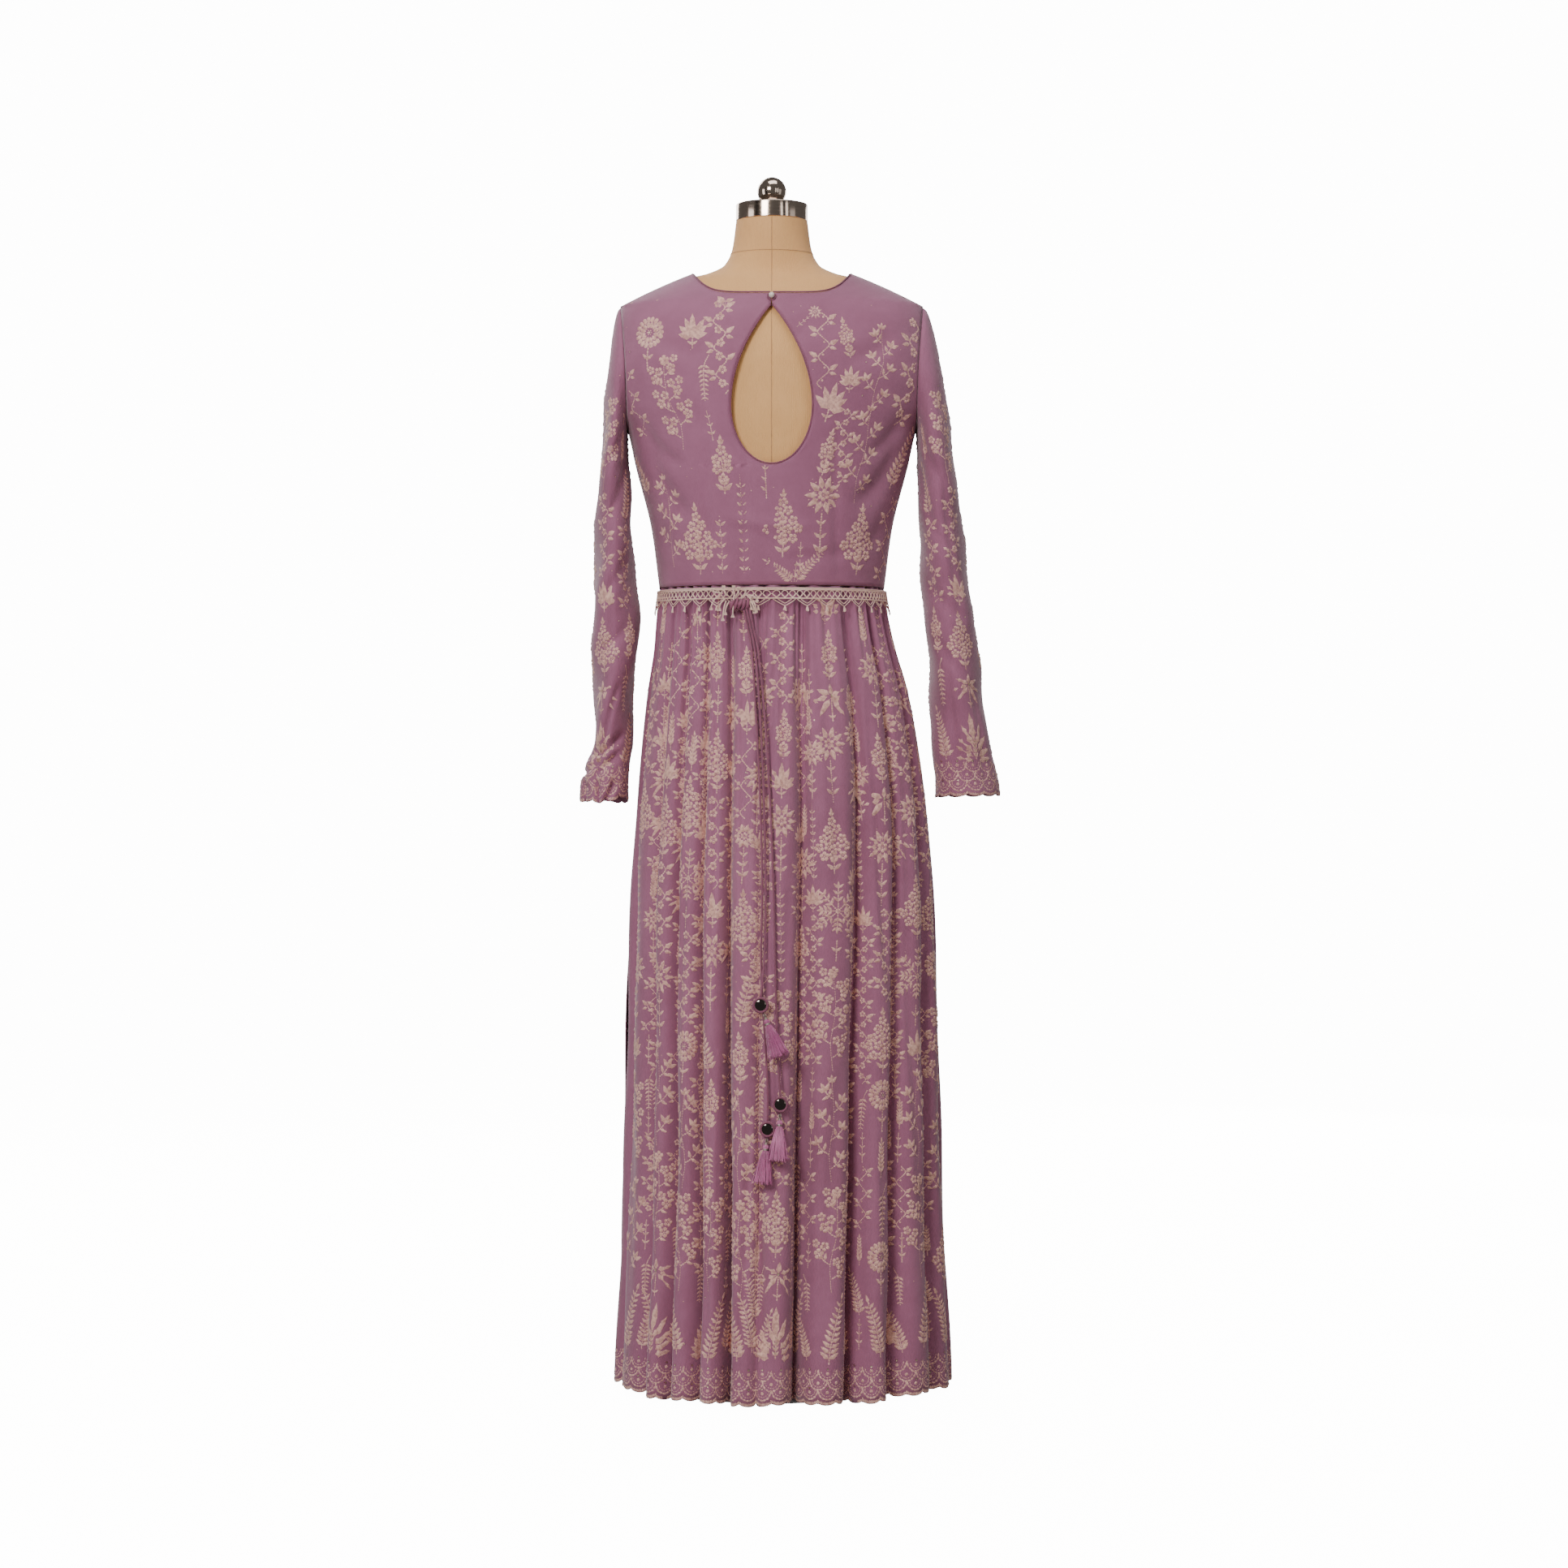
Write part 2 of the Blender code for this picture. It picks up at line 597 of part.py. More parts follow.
def skirt_walls(finish, parent):
    """The back and front of the skirt, each from one side seam to the other, with the hem's scallops."""
    total = len(VALLEYS)
    nudge = 0.02

    def inward(fold, share, z):
        around = skirt_point(fold, share + nudge, z) if share + nudge < 1 else skirt_point(fold + 1, nudge, z)
        back = skirt_point(fold, share - nudge, z) if share > nudge else skirt_point(fold - 1, 1 - nudge, z)
        down = skirt_point(fold, share, z - 0.004) - skirt_point(fold, share, z + 0.004)
        return (around - back).cross(down).normalized() * CLOTH

    for name, first, last in (
        ("skirt_back", SEAM_FOLDS[1] - total, SEAM_FOLDS[0]),
        ("skirt_front", SEAM_FOLDS[0], SEAM_FOLDS[1]),
    ):
        places = [(fold, c / FOLD_COLUMNS) for fold in range(first, last) for c in range(FOLD_COLUMNS)]
        start = FOLD_COLUMNS // 2
        places = places[start:] + [(last, c / FOLD_COLUMNS) for c in range(start + 1)]
        width = len(places)
        outer, inner, faces = [], [], []
        for z in SKIRT_HEIGHTS:
            for k, (fold, share) in enumerate(places):
                at_seam = (k == 0) - (k == width - 1)
                if at_seam:
                    span = (skirt_point(fold, share + nudge, z) - skirt_point(fold, share - nudge, z)).length
                    share += at_seam * 0.6 * SEAM_GAP * 2 * nudge / span
                outer.append(skirt_point(fold, share, z))
                inner.append(outer[-1] + inward(fold, share, z))
        half_step = 0.5 / FOLD_COLUMNS
        for k, (fold, share) in enumerate(places[:-1]):
            point = skirt_point(fold, share + half_step, HEM_Z)
            hidden = point + inward(fold, share + half_step, HEM_Z)
            lift = Vector((0, 0, SCALLOP))
            outer.append(point + lift)
            inner.append(hidden + lift)
        rows = len(SKIRT_HEIGHTS)
        for j in range(rows - 1):
            for k in range(width - 1):
                a, b = j * width + k, j * width + k + 1
                c, d = b + width, a + width
                if j < rows - 2:
                    faces.append((a, d, c, b))
                    continue
                middle = rows * width + k
                faces += [(a, d, middle), (a, middle, b), (b, middle, c)]
        wall(name, outer, inner, faces, finish, parent)


# Lace belt


def belt_point(angle, z, stand_off):
    point, out = skirt_outline(angle, z)
    return point + out * (LACE_STAND_OFF + stand_off)


def lace_half(name, start_angle, finish, parent):
    """Half of the lace band with its V shaped picots, whose triangles are open."""
    end_gap = 0.0012
    inner, outer, faces = [], [], []
    thread = PICOT_THREAD / 2

    def corner(pitch, share, z):
        turn = (pitch + share) / PICOTS_PER_HALF
        angle = start_angle + end_gap + (math.pi - 2 * end_gap) * turn
        outer.append(belt_point(angle, z, LACE_THICK))
        inner.append(belt_point(angle, z, 0.0))
        return len(outer) - 1

    low = LACE_BOTTOM_Z
    tip = low - PICOT_DROP
    top, bottom = corner(0, 0, LACE_TOP_Z), corner(0, 0, low)
    for pitch in range(PICOTS_PER_HALF):
        start_in = corner(pitch, 0.09, low)
        end_in = corner(pitch, 0.91, low)
        tip_out = corner(pitch, 0.5, tip)
        tip_in = corner(pitch, 0.5, tip + 2 * thread)
        next_top, next_bottom = corner(pitch, 1, LACE_TOP_Z), corner(pitch, 1, low)
        faces += [
            (top, bottom, start_in),
            (top, start_in, end_in, next_top),
            (end_in, next_bottom, next_top),
            (bottom, tip_out, tip_in, start_in),
            (tip_in, tip_out, next_bottom, end_in),
        ]
        top, bottom = next_top, next_bottom
    return wall(name, outer, inner, faces, finish, parent)


# Tie cords, charms and tassels


def resting_y(x, z, clearance):
    """How far back a thing lies that rests on the skirt's fold tops at x and z."""
    across = table_value(SKIRT, z, "left" if x < 0 else "right")
    back = table_value(SKIRT, z, "back")
    n = skirt_squareness(z)
    return -back * (1 - (abs(x) / across) ** n) ** (1 / n) - clearance


def smooth_route(points, step):
    """Points about step apart on a Catmull-Rom curve through the route's own points."""
    ends = [points[0] * 2 - points[1]] + list(points) + [points[-1] * 2 - points[-2]]
    route = []
    for a, b, c, d in zip(ends, ends[1:], ends[2:], ends[3:]):
        count = max(1, round((c - b).length / step))
        for k in range(count):
            t = k / count
            route.append(
                0.5 * (2 * b + (c - a) * t + (2 * a - 5 * b + 4 * c - d) * t * t + (3 * b - a - 3 * c + d) * t**3)
            )
    return route + [points[-1]]


def tie_cord(tie, finish, parent):
    points = []
    end_z = tie.charm[1] + CHARM_RADIUS + SEAM_GAP
    on_skirt = CORD_DIAMETER / 2 + CORD_REST
    at_charm = tie.charm_rest + CHARM_THICK / 2
    for x, z in tie.route + [(tie.charm[0], end_z)]:
        rest = on_skirt + (at_charm - on_skirt) * (1 - smoothstep(end_z + 0.005, end_z + 0.075, z))
        rest += (KNOT_REST - on_skirt) * smoothstep(0.915, 0.944, z)
        points.append(Vector((x, resting_y(x, z, rest), z)))
    points[-1].y = resting_y(*tie.charm, at_charm)
    curve = bpy.data.curves.new("tie_cord_" + tie.name, "CURVE")
    curve.dimensions = "3D"
    curve.bevel_depth = CORD_DIAMETER / 2
    curve.bevel_resolution = 2
    curve.use_fill_caps = True
    route = smooth_route(points, CORD_STEP)
    spline = curve.splines.new("POLY")
    spline.points.add(len(route) - 1)
    for place, point in zip(spline.points, route):
        place.co = (*point, 1)
    curve.materials.append(finish)
    thing = bpy.data.objects.new(curve.name, curve)
    thing.parent = parent
    bpy.context.scene.collection.objects.link(thing)
    return thing


def turned(name, profile, sides, finish, parent, place=(0, 0, 0), axis="Z"):
    """A solid of revolution from (radius, height) pairs that run from its bottom to its top."""
    points, faces, rings = [], [], []
    for radius, height in profile:
        if radius < 1e-6:
            rings.append([len(points)])
            points.append(Vector((0, 0, height)))
            continue
        rings.append(list(range(len(points), len(points) + sides)))
        for k in range(sides):
            angle = 2 * math.pi * k / sides
            points.append(Vector((radius * math.cos(angle), radius * math.sin(angle), height)))
    for low, high in zip(rings, rings[1:]):
        for k in range(sides):
            a, b = low[k % len(low)], low[(k + 1) % len(low)]
            c, d = high[(k + 1) % len(high)], high[k % len(high)]
            corners = [a, b, c, d]
            unique = [v for i, v in enumerate(corners) if v not in corners[:i]]
            if len(unique) > 2:
                faces.append(tuple(unique))
    if len(rings[0]) > 1:
        faces.append(tuple(reversed(rings[0])))
    if len(rings[-1]) > 1:
        faces.append(tuple(rings[-1]))
    if axis == "-Y":
        points = [Vector((p.x, -p.z, p.y)) for p in points]
    thing = add_mesh(name, points, faces, finish, parent)
    thing.location = place
    return thing


def charm(tie, finishes, parent):
    """A small mirror in a cloth covered ring, lying flat on the skirt."""
    x, z = tie.charm
    y = resting_y(x, z, tie.charm_rest)
    r, m, t = CHARM_RADIUS, MIRROR_RADIUS + SEAM_GAP, CHARM_THICK
    ring = [(0.0, 0), (r - CHARM_ROUND, 0), (r, t * 0.3), (r, t * 0.65), (r - CHARM_ROUND, t)]
    ring += [(m + 0.5 * CHARM_ROUND, t), (m, t * 0.72), (m, t * 0.36), (0.0, t * 0.36)]
    turned("charm_ring_" + tie.name, ring, 12, finishes["cord"], parent, (x, y, z), "-Y")
    low = t * 0.36 + SEAM_GAP
    high = low + MIRROR_THICK
    mirror = [(0.0, low), (MIRROR_RADIUS, low), (MIRROR_RADIUS, high), (0.0, high)]
    turned("charm_mirror_" + tie.name, mirror, 12, finishes["mirror"], parent, (x, y, z), "-Y")


def tassel(tie, finish, parent):
    """A bound head over locks of thread, which hang from it and spread."""
    x, z = tie.charm
    tip_x, tip_z = tie.tassel_tip
    centre = Vector((x, resting_y(x, z, tie.charm_rest + CHARM_THICK / 2), z))
    tip = Vector((tip_x, resting_y(tip_x, tip_z, tie.tassel_rest), tip_z))
    flat = Vector((tip.x - centre.x, 0, tip.z - centre.z)).normalized()
    top = centre + flat * (CHARM_RADIUS + SEAM_GAP)
    down = (tip - top).normalized()
    length = (tip - top).length
    side = down.cross(Vector((0, 1, 0))).normalized()
    out = side.cross(down).normalized()
    head = [(0.0011, 0.0), (0.0013, 0.10), (0.0034, 0.17), (0.0038, 0.22), (0.0028, 0.27), (0.0036, 0.30)]
    count = TASSEL_LOCKS_AROUND
    points, faces = [], []
    for radius, share in head:
        for k in range(count):
            angle = 2 * math.pi * k / count
            points.append(top + down * (share * length) + (side * math.cos(angle) + out * math.sin(angle)) * radius)
    for j in range(len(head) - 1):
        for k in range(count):
            a, b = j * count + k, j * count + (k + 1) % count
            faces.append((a, a + count, b + count, b))
    faces.append(tuple(range(count)))
    rim = [(len(head) - 1) * count + k for k in range(count)]
    middle_ring = []
    for k in range(count):
        angle = 2 * math.pi * k / count
        spread = (side * math.cos(angle) + out * math.sin(angle)) * 0.0017
        middle_ring.append(len(points))
        points.append(top + down * (0.305 * length) + spread)
    roots = []
    for k in range(count):
        b = (k + 1) % count
        roots.append((rim[k], middle_ring[k], middle_ring[b], rim[b]))
    centre = len(points)
    points.append(top + down * (0.31 * length))
    for k in range(0, count, 2):
        roots.append((middle_ring[k], centre, middle_ring[(k + 2) % count], middle_ring[(k + 1) % count]))
    for root in roots:
        add_lock(points, faces, root, top, down, length, side, out)
    return add_mesh("tassel_" + tie.name, points, faces, finish, parent)


def add_lock(points, faces, root, top, down, length, side, out):
    """One lock of thread: the root face is inset, and drawn down in two steps that lean outwards."""
    corners = [points[i] for i in root]
    centre = sum(corners, Vector()) / len(corners)
    axis_point = top + down * (centre - top).dot(down)
    lean = centre - axis_point
    flare = 2.3 if lean.length > 0.002 else 1.5
    ring = list(root)
    for share, scale in ((0.0, 0.62), (0.45, 0.72), (1.0, 0.55)):
        fall = 0.69 * length * share
        drift = lean * flare * share**1.3
        drift = side * drift.dot(side) + out * max(drift.dot(out), -0.0045)
        fresh = []
        for corner in corners:
            fresh.append(len(points))
            points.append(centre + (corner - centre) * scale + down * fall + drift)
        for k in range(len(ring)):
            b = (k + 1) % len(ring)
            faces.append((ring[k], ring[b], fresh[b], fresh[k]))
        ring = fresh
    faces.append(tuple(ring))


def belt_knot(finish, parent):
    """The knot of the waist tie: a squashed, slightly lumpy bundle."""
    x, z = KNOT
    length, depth, height = KNOT_HALF_SIZES
    middle_y = resting_y(x, z, KNOT_REST)
    points, faces = [], []
    columns, rows = 10, 7
    for j in range(rows + 1):
        turn = math.pi * j / rows
        for k in range(columns):
            angle = 2 * math.pi * k / columns
            lump = 1 + 0.05 * math.cos(3 * angle + j)
            across = -math.cos(turn) * length
            ring = max(math.sin(turn), 0.05) * lump
            off = Vector((across, -depth * ring * math.cos(angle), height * ring * math.sin(angle)))
            points.append(Vector((x, middle_y, z)) + off)
    for j in range(rows):
        for k in range(columns):
            a, b = j * columns + k, j * columns + (k + 1) % columns
            faces.append((a, a + columns, b + columns, b))
    end = rows * columns
    faces += [tuple(range(columns)), tuple(reversed(range(end, end + columns)))]
    return add_mesh("tie_knot", points, faces, finish, parent)


# Neck button


def on_bodice_back(x, z, lift):
    """A point this far out from the bodice's back."""
    return Vector((x, bodice_y(x, z, -1), z)) + bodice_normal(max(abs(x), 1e-6), z, -1) * lift


def neck_button(finishes, parent):
    """A pearl below the middle of the neckline, with a thin loop of cord round it."""
    radius = BUTTON_RADIUS
    profile = [(0.0, -radius)]
    profile += [(radius * math.cos(math.radians(a)), radius * math.sin(math.radians(a))) for a in (-50, -17, 17, 50)]
    profile += [(0.0, radius)]
    x, z = 0.0, BACK_NECK_Z - 0.0055
    turned("neck_button", profile, 10, finishes["pearl"], parent, on_bodice_back(x, z, SEAM_GAP + radius))
    curve = bpy.data.curves.new("button_loop", "CURVE")
    curve.dimensions = "3D"
    curve.bevel_depth = LOOP_RADIUS
    curve.bevel_resolution = 1
    curve.use_fill_caps = True
    spline = curve.splines.new("POLY")
    steps = 9
    spline.points.add(steps)
    centre = on_bodice_back(x, z, 0.0016)
    across = Vector((1, 0, 0))
    up = across.cross(bodice_normal(1e-6, z, -1))
    for k, place in enumerate(spline.points):
        angle = math.radians(150 + 240 * k / steps)
        point = centre + (across * math.cos(angle) + up * math.sin(angle)) * (radius + 0.0013)
        place.co = (*point, 1)
    curve.materials.append(finishes["gown"])
    loop = bpy.data.objects.new("button_loop", curve)
    loop.parent = parent
    bpy.context.scene.collection.objects.link(loop)


# Dress form and stand


def form_torso(finish, parent):
    """The padded torso and neck, lofted through the form's sections and closed at both ends."""
    sides = 24
    heights = [0.664, 0.669, 0.70, 0.78, 0.88, 0.96, 1.05, 1.12, 1.17, 1.24, 1.29]
    heights += [1.3225, 1.3366, 1.3454, 1.3542, 1.3598, 1.3635, 1.369, 1.376, 1.385, 1.397, NECK_TOP_Z]
    points, faces = [], []
    for z in heights:
        width = table_value(FORM, z, "half_width")
        round_share = smoothstep(1.33, 1.39, z)
        power = 2 / (BODICE_SQUARENESS + (2 - BODICE_SQUARENESS) * round_share)
        for k in range(sides):
            angle = 2 * math.pi * k / sides
            c, s = math.cos(angle), math.sin(angle)
            depth = table_value(FORM, z, "front_depth" if s > 0 else "back_depth")
            points.append((width * math.copysign(abs(c) ** power, c), depth * math.copysign(abs(s) ** power, s), z))
    for j in range(len(heights) - 1):
        for k in range(sides):
            a, b = j * sides + k, j * sides + (k + 1) % sides
            faces.append((a, b, b + sides, a + sides))
    end = (len(heights) - 1) * sides
    faces += [tuple(reversed(range(sides))), tuple(range(end, end + sides))]
    return add_mesh("form_torso", points, faces, finish, parent, 60)


def form_fittings(finishes, parent):
    base = NECK_TOP_Z + SEAM_GAP
    r, h = NECK_RADIUS + 0.0002, BAND_HEIGHT
    band = [(0.0, 0.0), (r, 0.0), (r, h - 0.0012), (r - 0.0012, h), (0.0, h)]
    turned("form_neck_band", band, 28, finishes["chrome"], parent, (0, 0, base))
    low = math.degrees(math.asin(-0.88))
    knob = [(0.0, KNOB_RADIUS * math.sin(math.radians(low)))]
    for k in range(9):
        angle = math.radians(low + (80 - low) * k / 8)
        knob.append((KNOB_RADIUS * math.cos(angle), KNOB_RADIUS * math.sin(angle)))
    knob.append((0.0, KNOB_RADIUS))
    knob_z = base + h + SEAM_GAP - knob[0][1]
    turned("form_knob", knob, 14, finishes["chrome"], parent, (0, 0, knob_z))
    bevel_low, bevel_in = PLATE_THICK - PLATE_BEVEL / 2, PLATE_RADIUS - PLATE_BEVEL
    plate = [(0.0, 0.0), (PLATE_RADIUS, 0.0), (PLATE_RADIUS, bevel_low), (bevel_in, PLATE_THICK), (0.0, PLATE_THICK)]
    turned("stand_plate", plate, 28, finishes["stand"], parent)
    low, high = PLATE_THICK + SEAM_GAP, FORM[0].height - SEAM_GAP
    collar, foot = POLE_RADIUS + 0.004, FLANGE_RADIUS
    pole = [(0.0, low), (foot, low), (foot, low + 0.006), (collar, low + 0.014), (POLE_RADIUS, low + 0.03)]
    pole += [(POLE_RADIUS, high - 0.01), (foot, high - 0.006), (foot, high), (0.0, high)]
    turned("stand_pole", pole, 14, finishes["stand"], parent)


def main():
    clear_scene()
    finishes = {
        "gown": finish_of("mauve_cloth", (0.36, 0.17, 0.30), 0.72),
        "lace": finish_of("cream_lace", (0.66, 0.50, 0.40), 0.75),
        "cord": finish_of("mauve_cord", (0.30, 0.13, 0.23), 0.6),
        "thread": finish_of("mauve_thread", (0.48, 0.20, 0.42), 0.45),
        "mirror": finish_of("mirror_glass", (0.25, 0.22, 0.20), 0.05, 1.0),
        "pearl": finish_of("pearl", (0.80, 0.72, 0.62), 0.25),
        "canvas": finish_of("beige_canvas", (0.62, 0.45, 0.28), 0.85),
        "chrome": finish_of("chrome", (0.55, 0.50, 0.46), 0.12, 1.0),
        "stand": finish_of("stand_steel", (0.10, 0.10, 0.11), 0.4, 0.8),
    }
    form = group_empty("dress_form")
    gown = group_empty("anarkali_gown")
    form_torso(finishes["canvas"], form)
    form_fittings(finishes, form)
    bodice_panel("bodice_back", -1, BACK_ROWS + SHOULDER_ROWS, finishes["gown"], gown)
    bodice_panel("bodice_front", 1, FRONT_ROWS + SHOULDER_ROWS, finishes["gown"], gown)
    keyhole_piping(finishes["gown"], gown)
    neck_piping(finishes["gown"], gown)
    neck_button(finishes, gown)
    sleeve("sleeve_left", LEFT_SLEEVE, LEFT_CUFF_Z, -1, finishes["gown"], gown)
    sleeve("sleeve_right", RIGHT_SLEEVE, RIGHT_CUFF_Z, 1, finishes["gown"], gown)
    skirt_walls(finishes["gown"], gown)
    lace_half("lace_front", 0.0, finishes["lace"], gown)
    lace_half("lace_back", math.pi, finishes["lace"], gown)
    belt_knot(finishes["cord"], gown)
    for tie in TIES:
        tie_cord(tie, finishes["cord"], gown)
        charm(tie, finishes, gown)
        tassel(tie, finishes["thread"], gown)


main()
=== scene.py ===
# %% [markdown]
# # An anarkali gown on a dress form
#
# A long mauve gown, seen from behind, hangs on a limbless canvas form. The cloth is gathered into
# a lace-trimmed waist, closed at the nape by a pearl over a drop-shaped opening, and covered in
# pale thread-work. Lengths are in metres, +Z is up, and the gown's back faces -Y.

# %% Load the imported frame
import math
import random

import bpy
import numpy as np
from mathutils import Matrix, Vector


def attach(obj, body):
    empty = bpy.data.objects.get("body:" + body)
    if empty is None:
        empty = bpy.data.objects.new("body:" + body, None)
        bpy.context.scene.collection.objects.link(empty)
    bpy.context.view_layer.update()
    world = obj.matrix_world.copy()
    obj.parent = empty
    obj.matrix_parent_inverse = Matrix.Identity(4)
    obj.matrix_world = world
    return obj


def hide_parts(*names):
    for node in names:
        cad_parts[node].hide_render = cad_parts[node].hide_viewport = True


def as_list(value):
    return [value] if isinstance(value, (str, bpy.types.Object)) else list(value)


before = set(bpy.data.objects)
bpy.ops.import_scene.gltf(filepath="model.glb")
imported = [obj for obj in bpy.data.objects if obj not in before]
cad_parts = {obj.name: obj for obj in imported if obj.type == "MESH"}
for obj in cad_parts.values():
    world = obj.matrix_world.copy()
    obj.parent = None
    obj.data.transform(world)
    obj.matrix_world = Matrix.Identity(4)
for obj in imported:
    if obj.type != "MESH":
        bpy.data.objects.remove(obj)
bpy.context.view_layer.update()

random.seed(11)

# %% [markdown]
# ## Camera
# The picture is level and nearly free of perspective: a long lens from over four metres away,
# at half the gown's height. The same view could be had from nearer with a shorter lens, but the
# hem and the neck would then lean away.

# %% Camera
camera_data = bpy.data.cameras.new("studio camera")
camera_data.sensor_width = 36.0
camera_data.lens = 81.99
camera = bpy.data.objects.new("studio camera", camera_data)
camera.location = (0.015, -4.4, 0.738)
camera.rotation_euler = (math.pi / 2, 0, 0)
bpy.context.scene.collection.objects.link(camera)
bpy.context.scene.camera = camera
print("camera at", tuple(camera.location), "lens", camera_data.lens)

# %% [markdown]
# ## Small tools
# Everything on this gown is a surface with a formula, so numpy arrays of places go in and arrays
# of points come out. That is quicker than moving vertices one at a time, and thread-work can be
# laid on exactly the same surface later.


# %% Curves through tables, soft steps and soft creases
def soft_step(low, high, value):
    share = np.clip((value - low) / (high - low), 0.0, 1.0)
    return share * share * (3 - 2 * share)


class Profile:
    """A smooth curve through (height, value) pairs that never overshoots them."""

    def __init__(self, heights, values):
        order = np.argsort(heights)
        self.heights = np.asarray(heights, float)[order]
        self.values = np.asarray(values, float)[order]
        slope = np.diff(self.values) / np.diff(self.heights)
        before, after = slope[:-1], slope[1:]
        total = np.where(before + after == 0, 1.0, before + after)
        inner = np.where(before * after > 0, 2 * before * after / total, 0.0)
        self.tangents = np.concatenate([slope[:1], inner, slope[-1:]])

    def __call__(self, at):
        h, v, m = self.heights, self.values, self.tangents
        at = np.clip(at, h[0], h[-1])
        i = np.clip(np.searchsorted(h, at, side="right") - 1, 0, len(h) - 2)
        span = h[i + 1] - h[i]
        t = (at - h[i]) / span
        start = (1 + 2 * t) * (1 - t) ** 2 * v[i] + t * (1 - t) ** 2 * span * m[i]
        end = t * t * (3 - 2 * t) * v[i + 1] - t * t * (1 - t) * span * m[i + 1]
        return start + end


def profiles(rows, *names):
    heights = [row[0] for row in rows]
    return {name: Profile(heights, [row[k + 1] for row in rows]) for k, name in enumerate(names)}


def soft_creases(rows, across, z):
    """The depth of soft troughs (a ridge is less than 0) that run from one place to another."""
    depth = np.zeros(np.broadcast(across, z).shape)
    for start_x, start_z, end_x, end_z, bend, width, trough in rows:
        dx, dz = end_x - start_x, end_z - start_z
        length = math.hypot(dx, dz)
        along = ((across - start_x) * dx + (z - start_z) * dz) / length**2
        off = ((across - start_x) * dz - (z - start_z) * dx) / length - bend * np.sin(np.pi * np.clip(along, 0, 1))
        fade = soft_step(-0.12, 0.22, along) * (1 - soft_step(0.78, 1.12, along))
        depth = depth + trough * fade * np.exp(-((off / width) ** 2))
    return depth


def unit(vectors):
    return vectors / np.maximum(np.linalg.norm(vectors, axis=-1, keepdims=True), 1e-12)


def stack(*parts):
    return np.stack(np.broadcast_arrays(*parts), axis=-1)


print("soft step at the middle:", float(soft_step(0, 1, 0.5)))

# %% [markdown]
# ## The bodice's form
# Sections through the bodice are squarish ovals. Their widths and depths at rising heights give
# the waist, the bust in front, the flatter back and the shoulders. The shoulder line falls away
# from the neck in a slight curve, and both panels end on it.

# %% Bodice form
CLOTH = 0.0012
SEAM_GAP = 0.0003
WAIST_Z, UNDERARM_Z, SHOULDER_Z, HEM_Z = 0.978, 1.17, 1.324, 0.0025
SHOULDER_X, NECK_X = 0.186, 0.098
RIDGE_TOP_X, RIDGE_TOP_Z, RIDGE_SLOPE, RIDGE_CURVE = 0.054, 1.3803, 0.3, 0.9
NECK_LINE = {-1: (1.332, 6.0), 1: (1.285, 2.4)}
KEYHOLE_TOP_Z, KEYHOLE_WIDEST_Z, KEYHOLE_BOTTOM_Z, KEYHOLE_HALF_WIDTH = 1.319, 1.194, 1.122, 0.0505
SQUARENESS = 2.25

BODICE = profiles(
    [
        (0.978, 0.1385, 0.1, 0.104), (1.05, 0.148, 0.106, 0.118), (1.13, 0.168, 0.112, 0.138),
        (1.17, 0.177, 0.114, 0.134), (1.2, 0.189, 0.114, 0.126), (1.25, 0.198, 0.111, 0.108),
        (1.3, 0.193, 0.099, 0.09), (1.324, 0.186, 0.087, 0.079), (1.34, 0.159, 0.076, 0.069),
        (1.355, 0.124, 0.064, 0.059), (1.369, 0.089, 0.054, 0.05), (1.381, 0.054, 0.048, 0.045),
    ],
    "width",
    "back",
    "front",
)


def ridge_z(x):
    step = np.abs(x) - RIDGE_TOP_X
    return RIDGE_TOP_Z - RIDGE_SLOPE * step - RIDGE_CURVE * step * step


def bodice_half_width(z):
    drop = np.maximum(RIDGE_TOP_Z - z, 0.0)
    ridge = RIDGE_TOP_X + (np.sqrt(RIDGE_SLOPE**2 + 4 * RIDGE_CURVE * drop) - RIDGE_SLOPE) / (2 * RIDGE_CURVE)
    return np.where(z > SHOULDER_Z, ridge, BODICE["width"](z))


def bodice_depth(z, side):
    return BODICE["back" if side < 0 else "front"](z)


def bodice_form(x, z, side):
    """The panel without creases: the point at a place across and a height, and its outward direction."""
    n = SQUARENESS
    wide, deep = bodice_half_width(z), bodice_depth(z, side)
    y = deep * (1 - np.minimum(np.abs(x) / wide, 1.0) ** n) ** (1 / n)

    def level(height):
        return (np.abs(x) / bodice_half_width(height)) ** n + (y / bodice_depth(height, side)) ** n

    rise = (level(z + 0.0015) - level(z - 0.0015)) / 0.003
    across = n * np.abs(x) ** (n - 1) / wide**n * np.where(x < 0, -1.0, 1.0)
    return stack(x, side * y, z), unit(stack(across, side * n * y ** (n - 1) / deep**n, rise))


def armhole_x(z):
    rise = np.clip((z - UNDERARM_Z) / (SHOULDER_Z - UNDERARM_Z), 0.0, 1.0)
    start = float(BODICE["width"](UNDERARM_Z))
    edge = start + (SHOULDER_X - start) * rise - 0.003 * np.sin(np.pi * rise)
    return np.where(z <= UNDERARM_Z, bodice_half_width(z), edge)


def neckline_z(x, side):
    low, power = NECK_LINE[side]
    return low + (ridge_z(NECK_X) - low) * (np.abs(x) / NECK_X) ** power


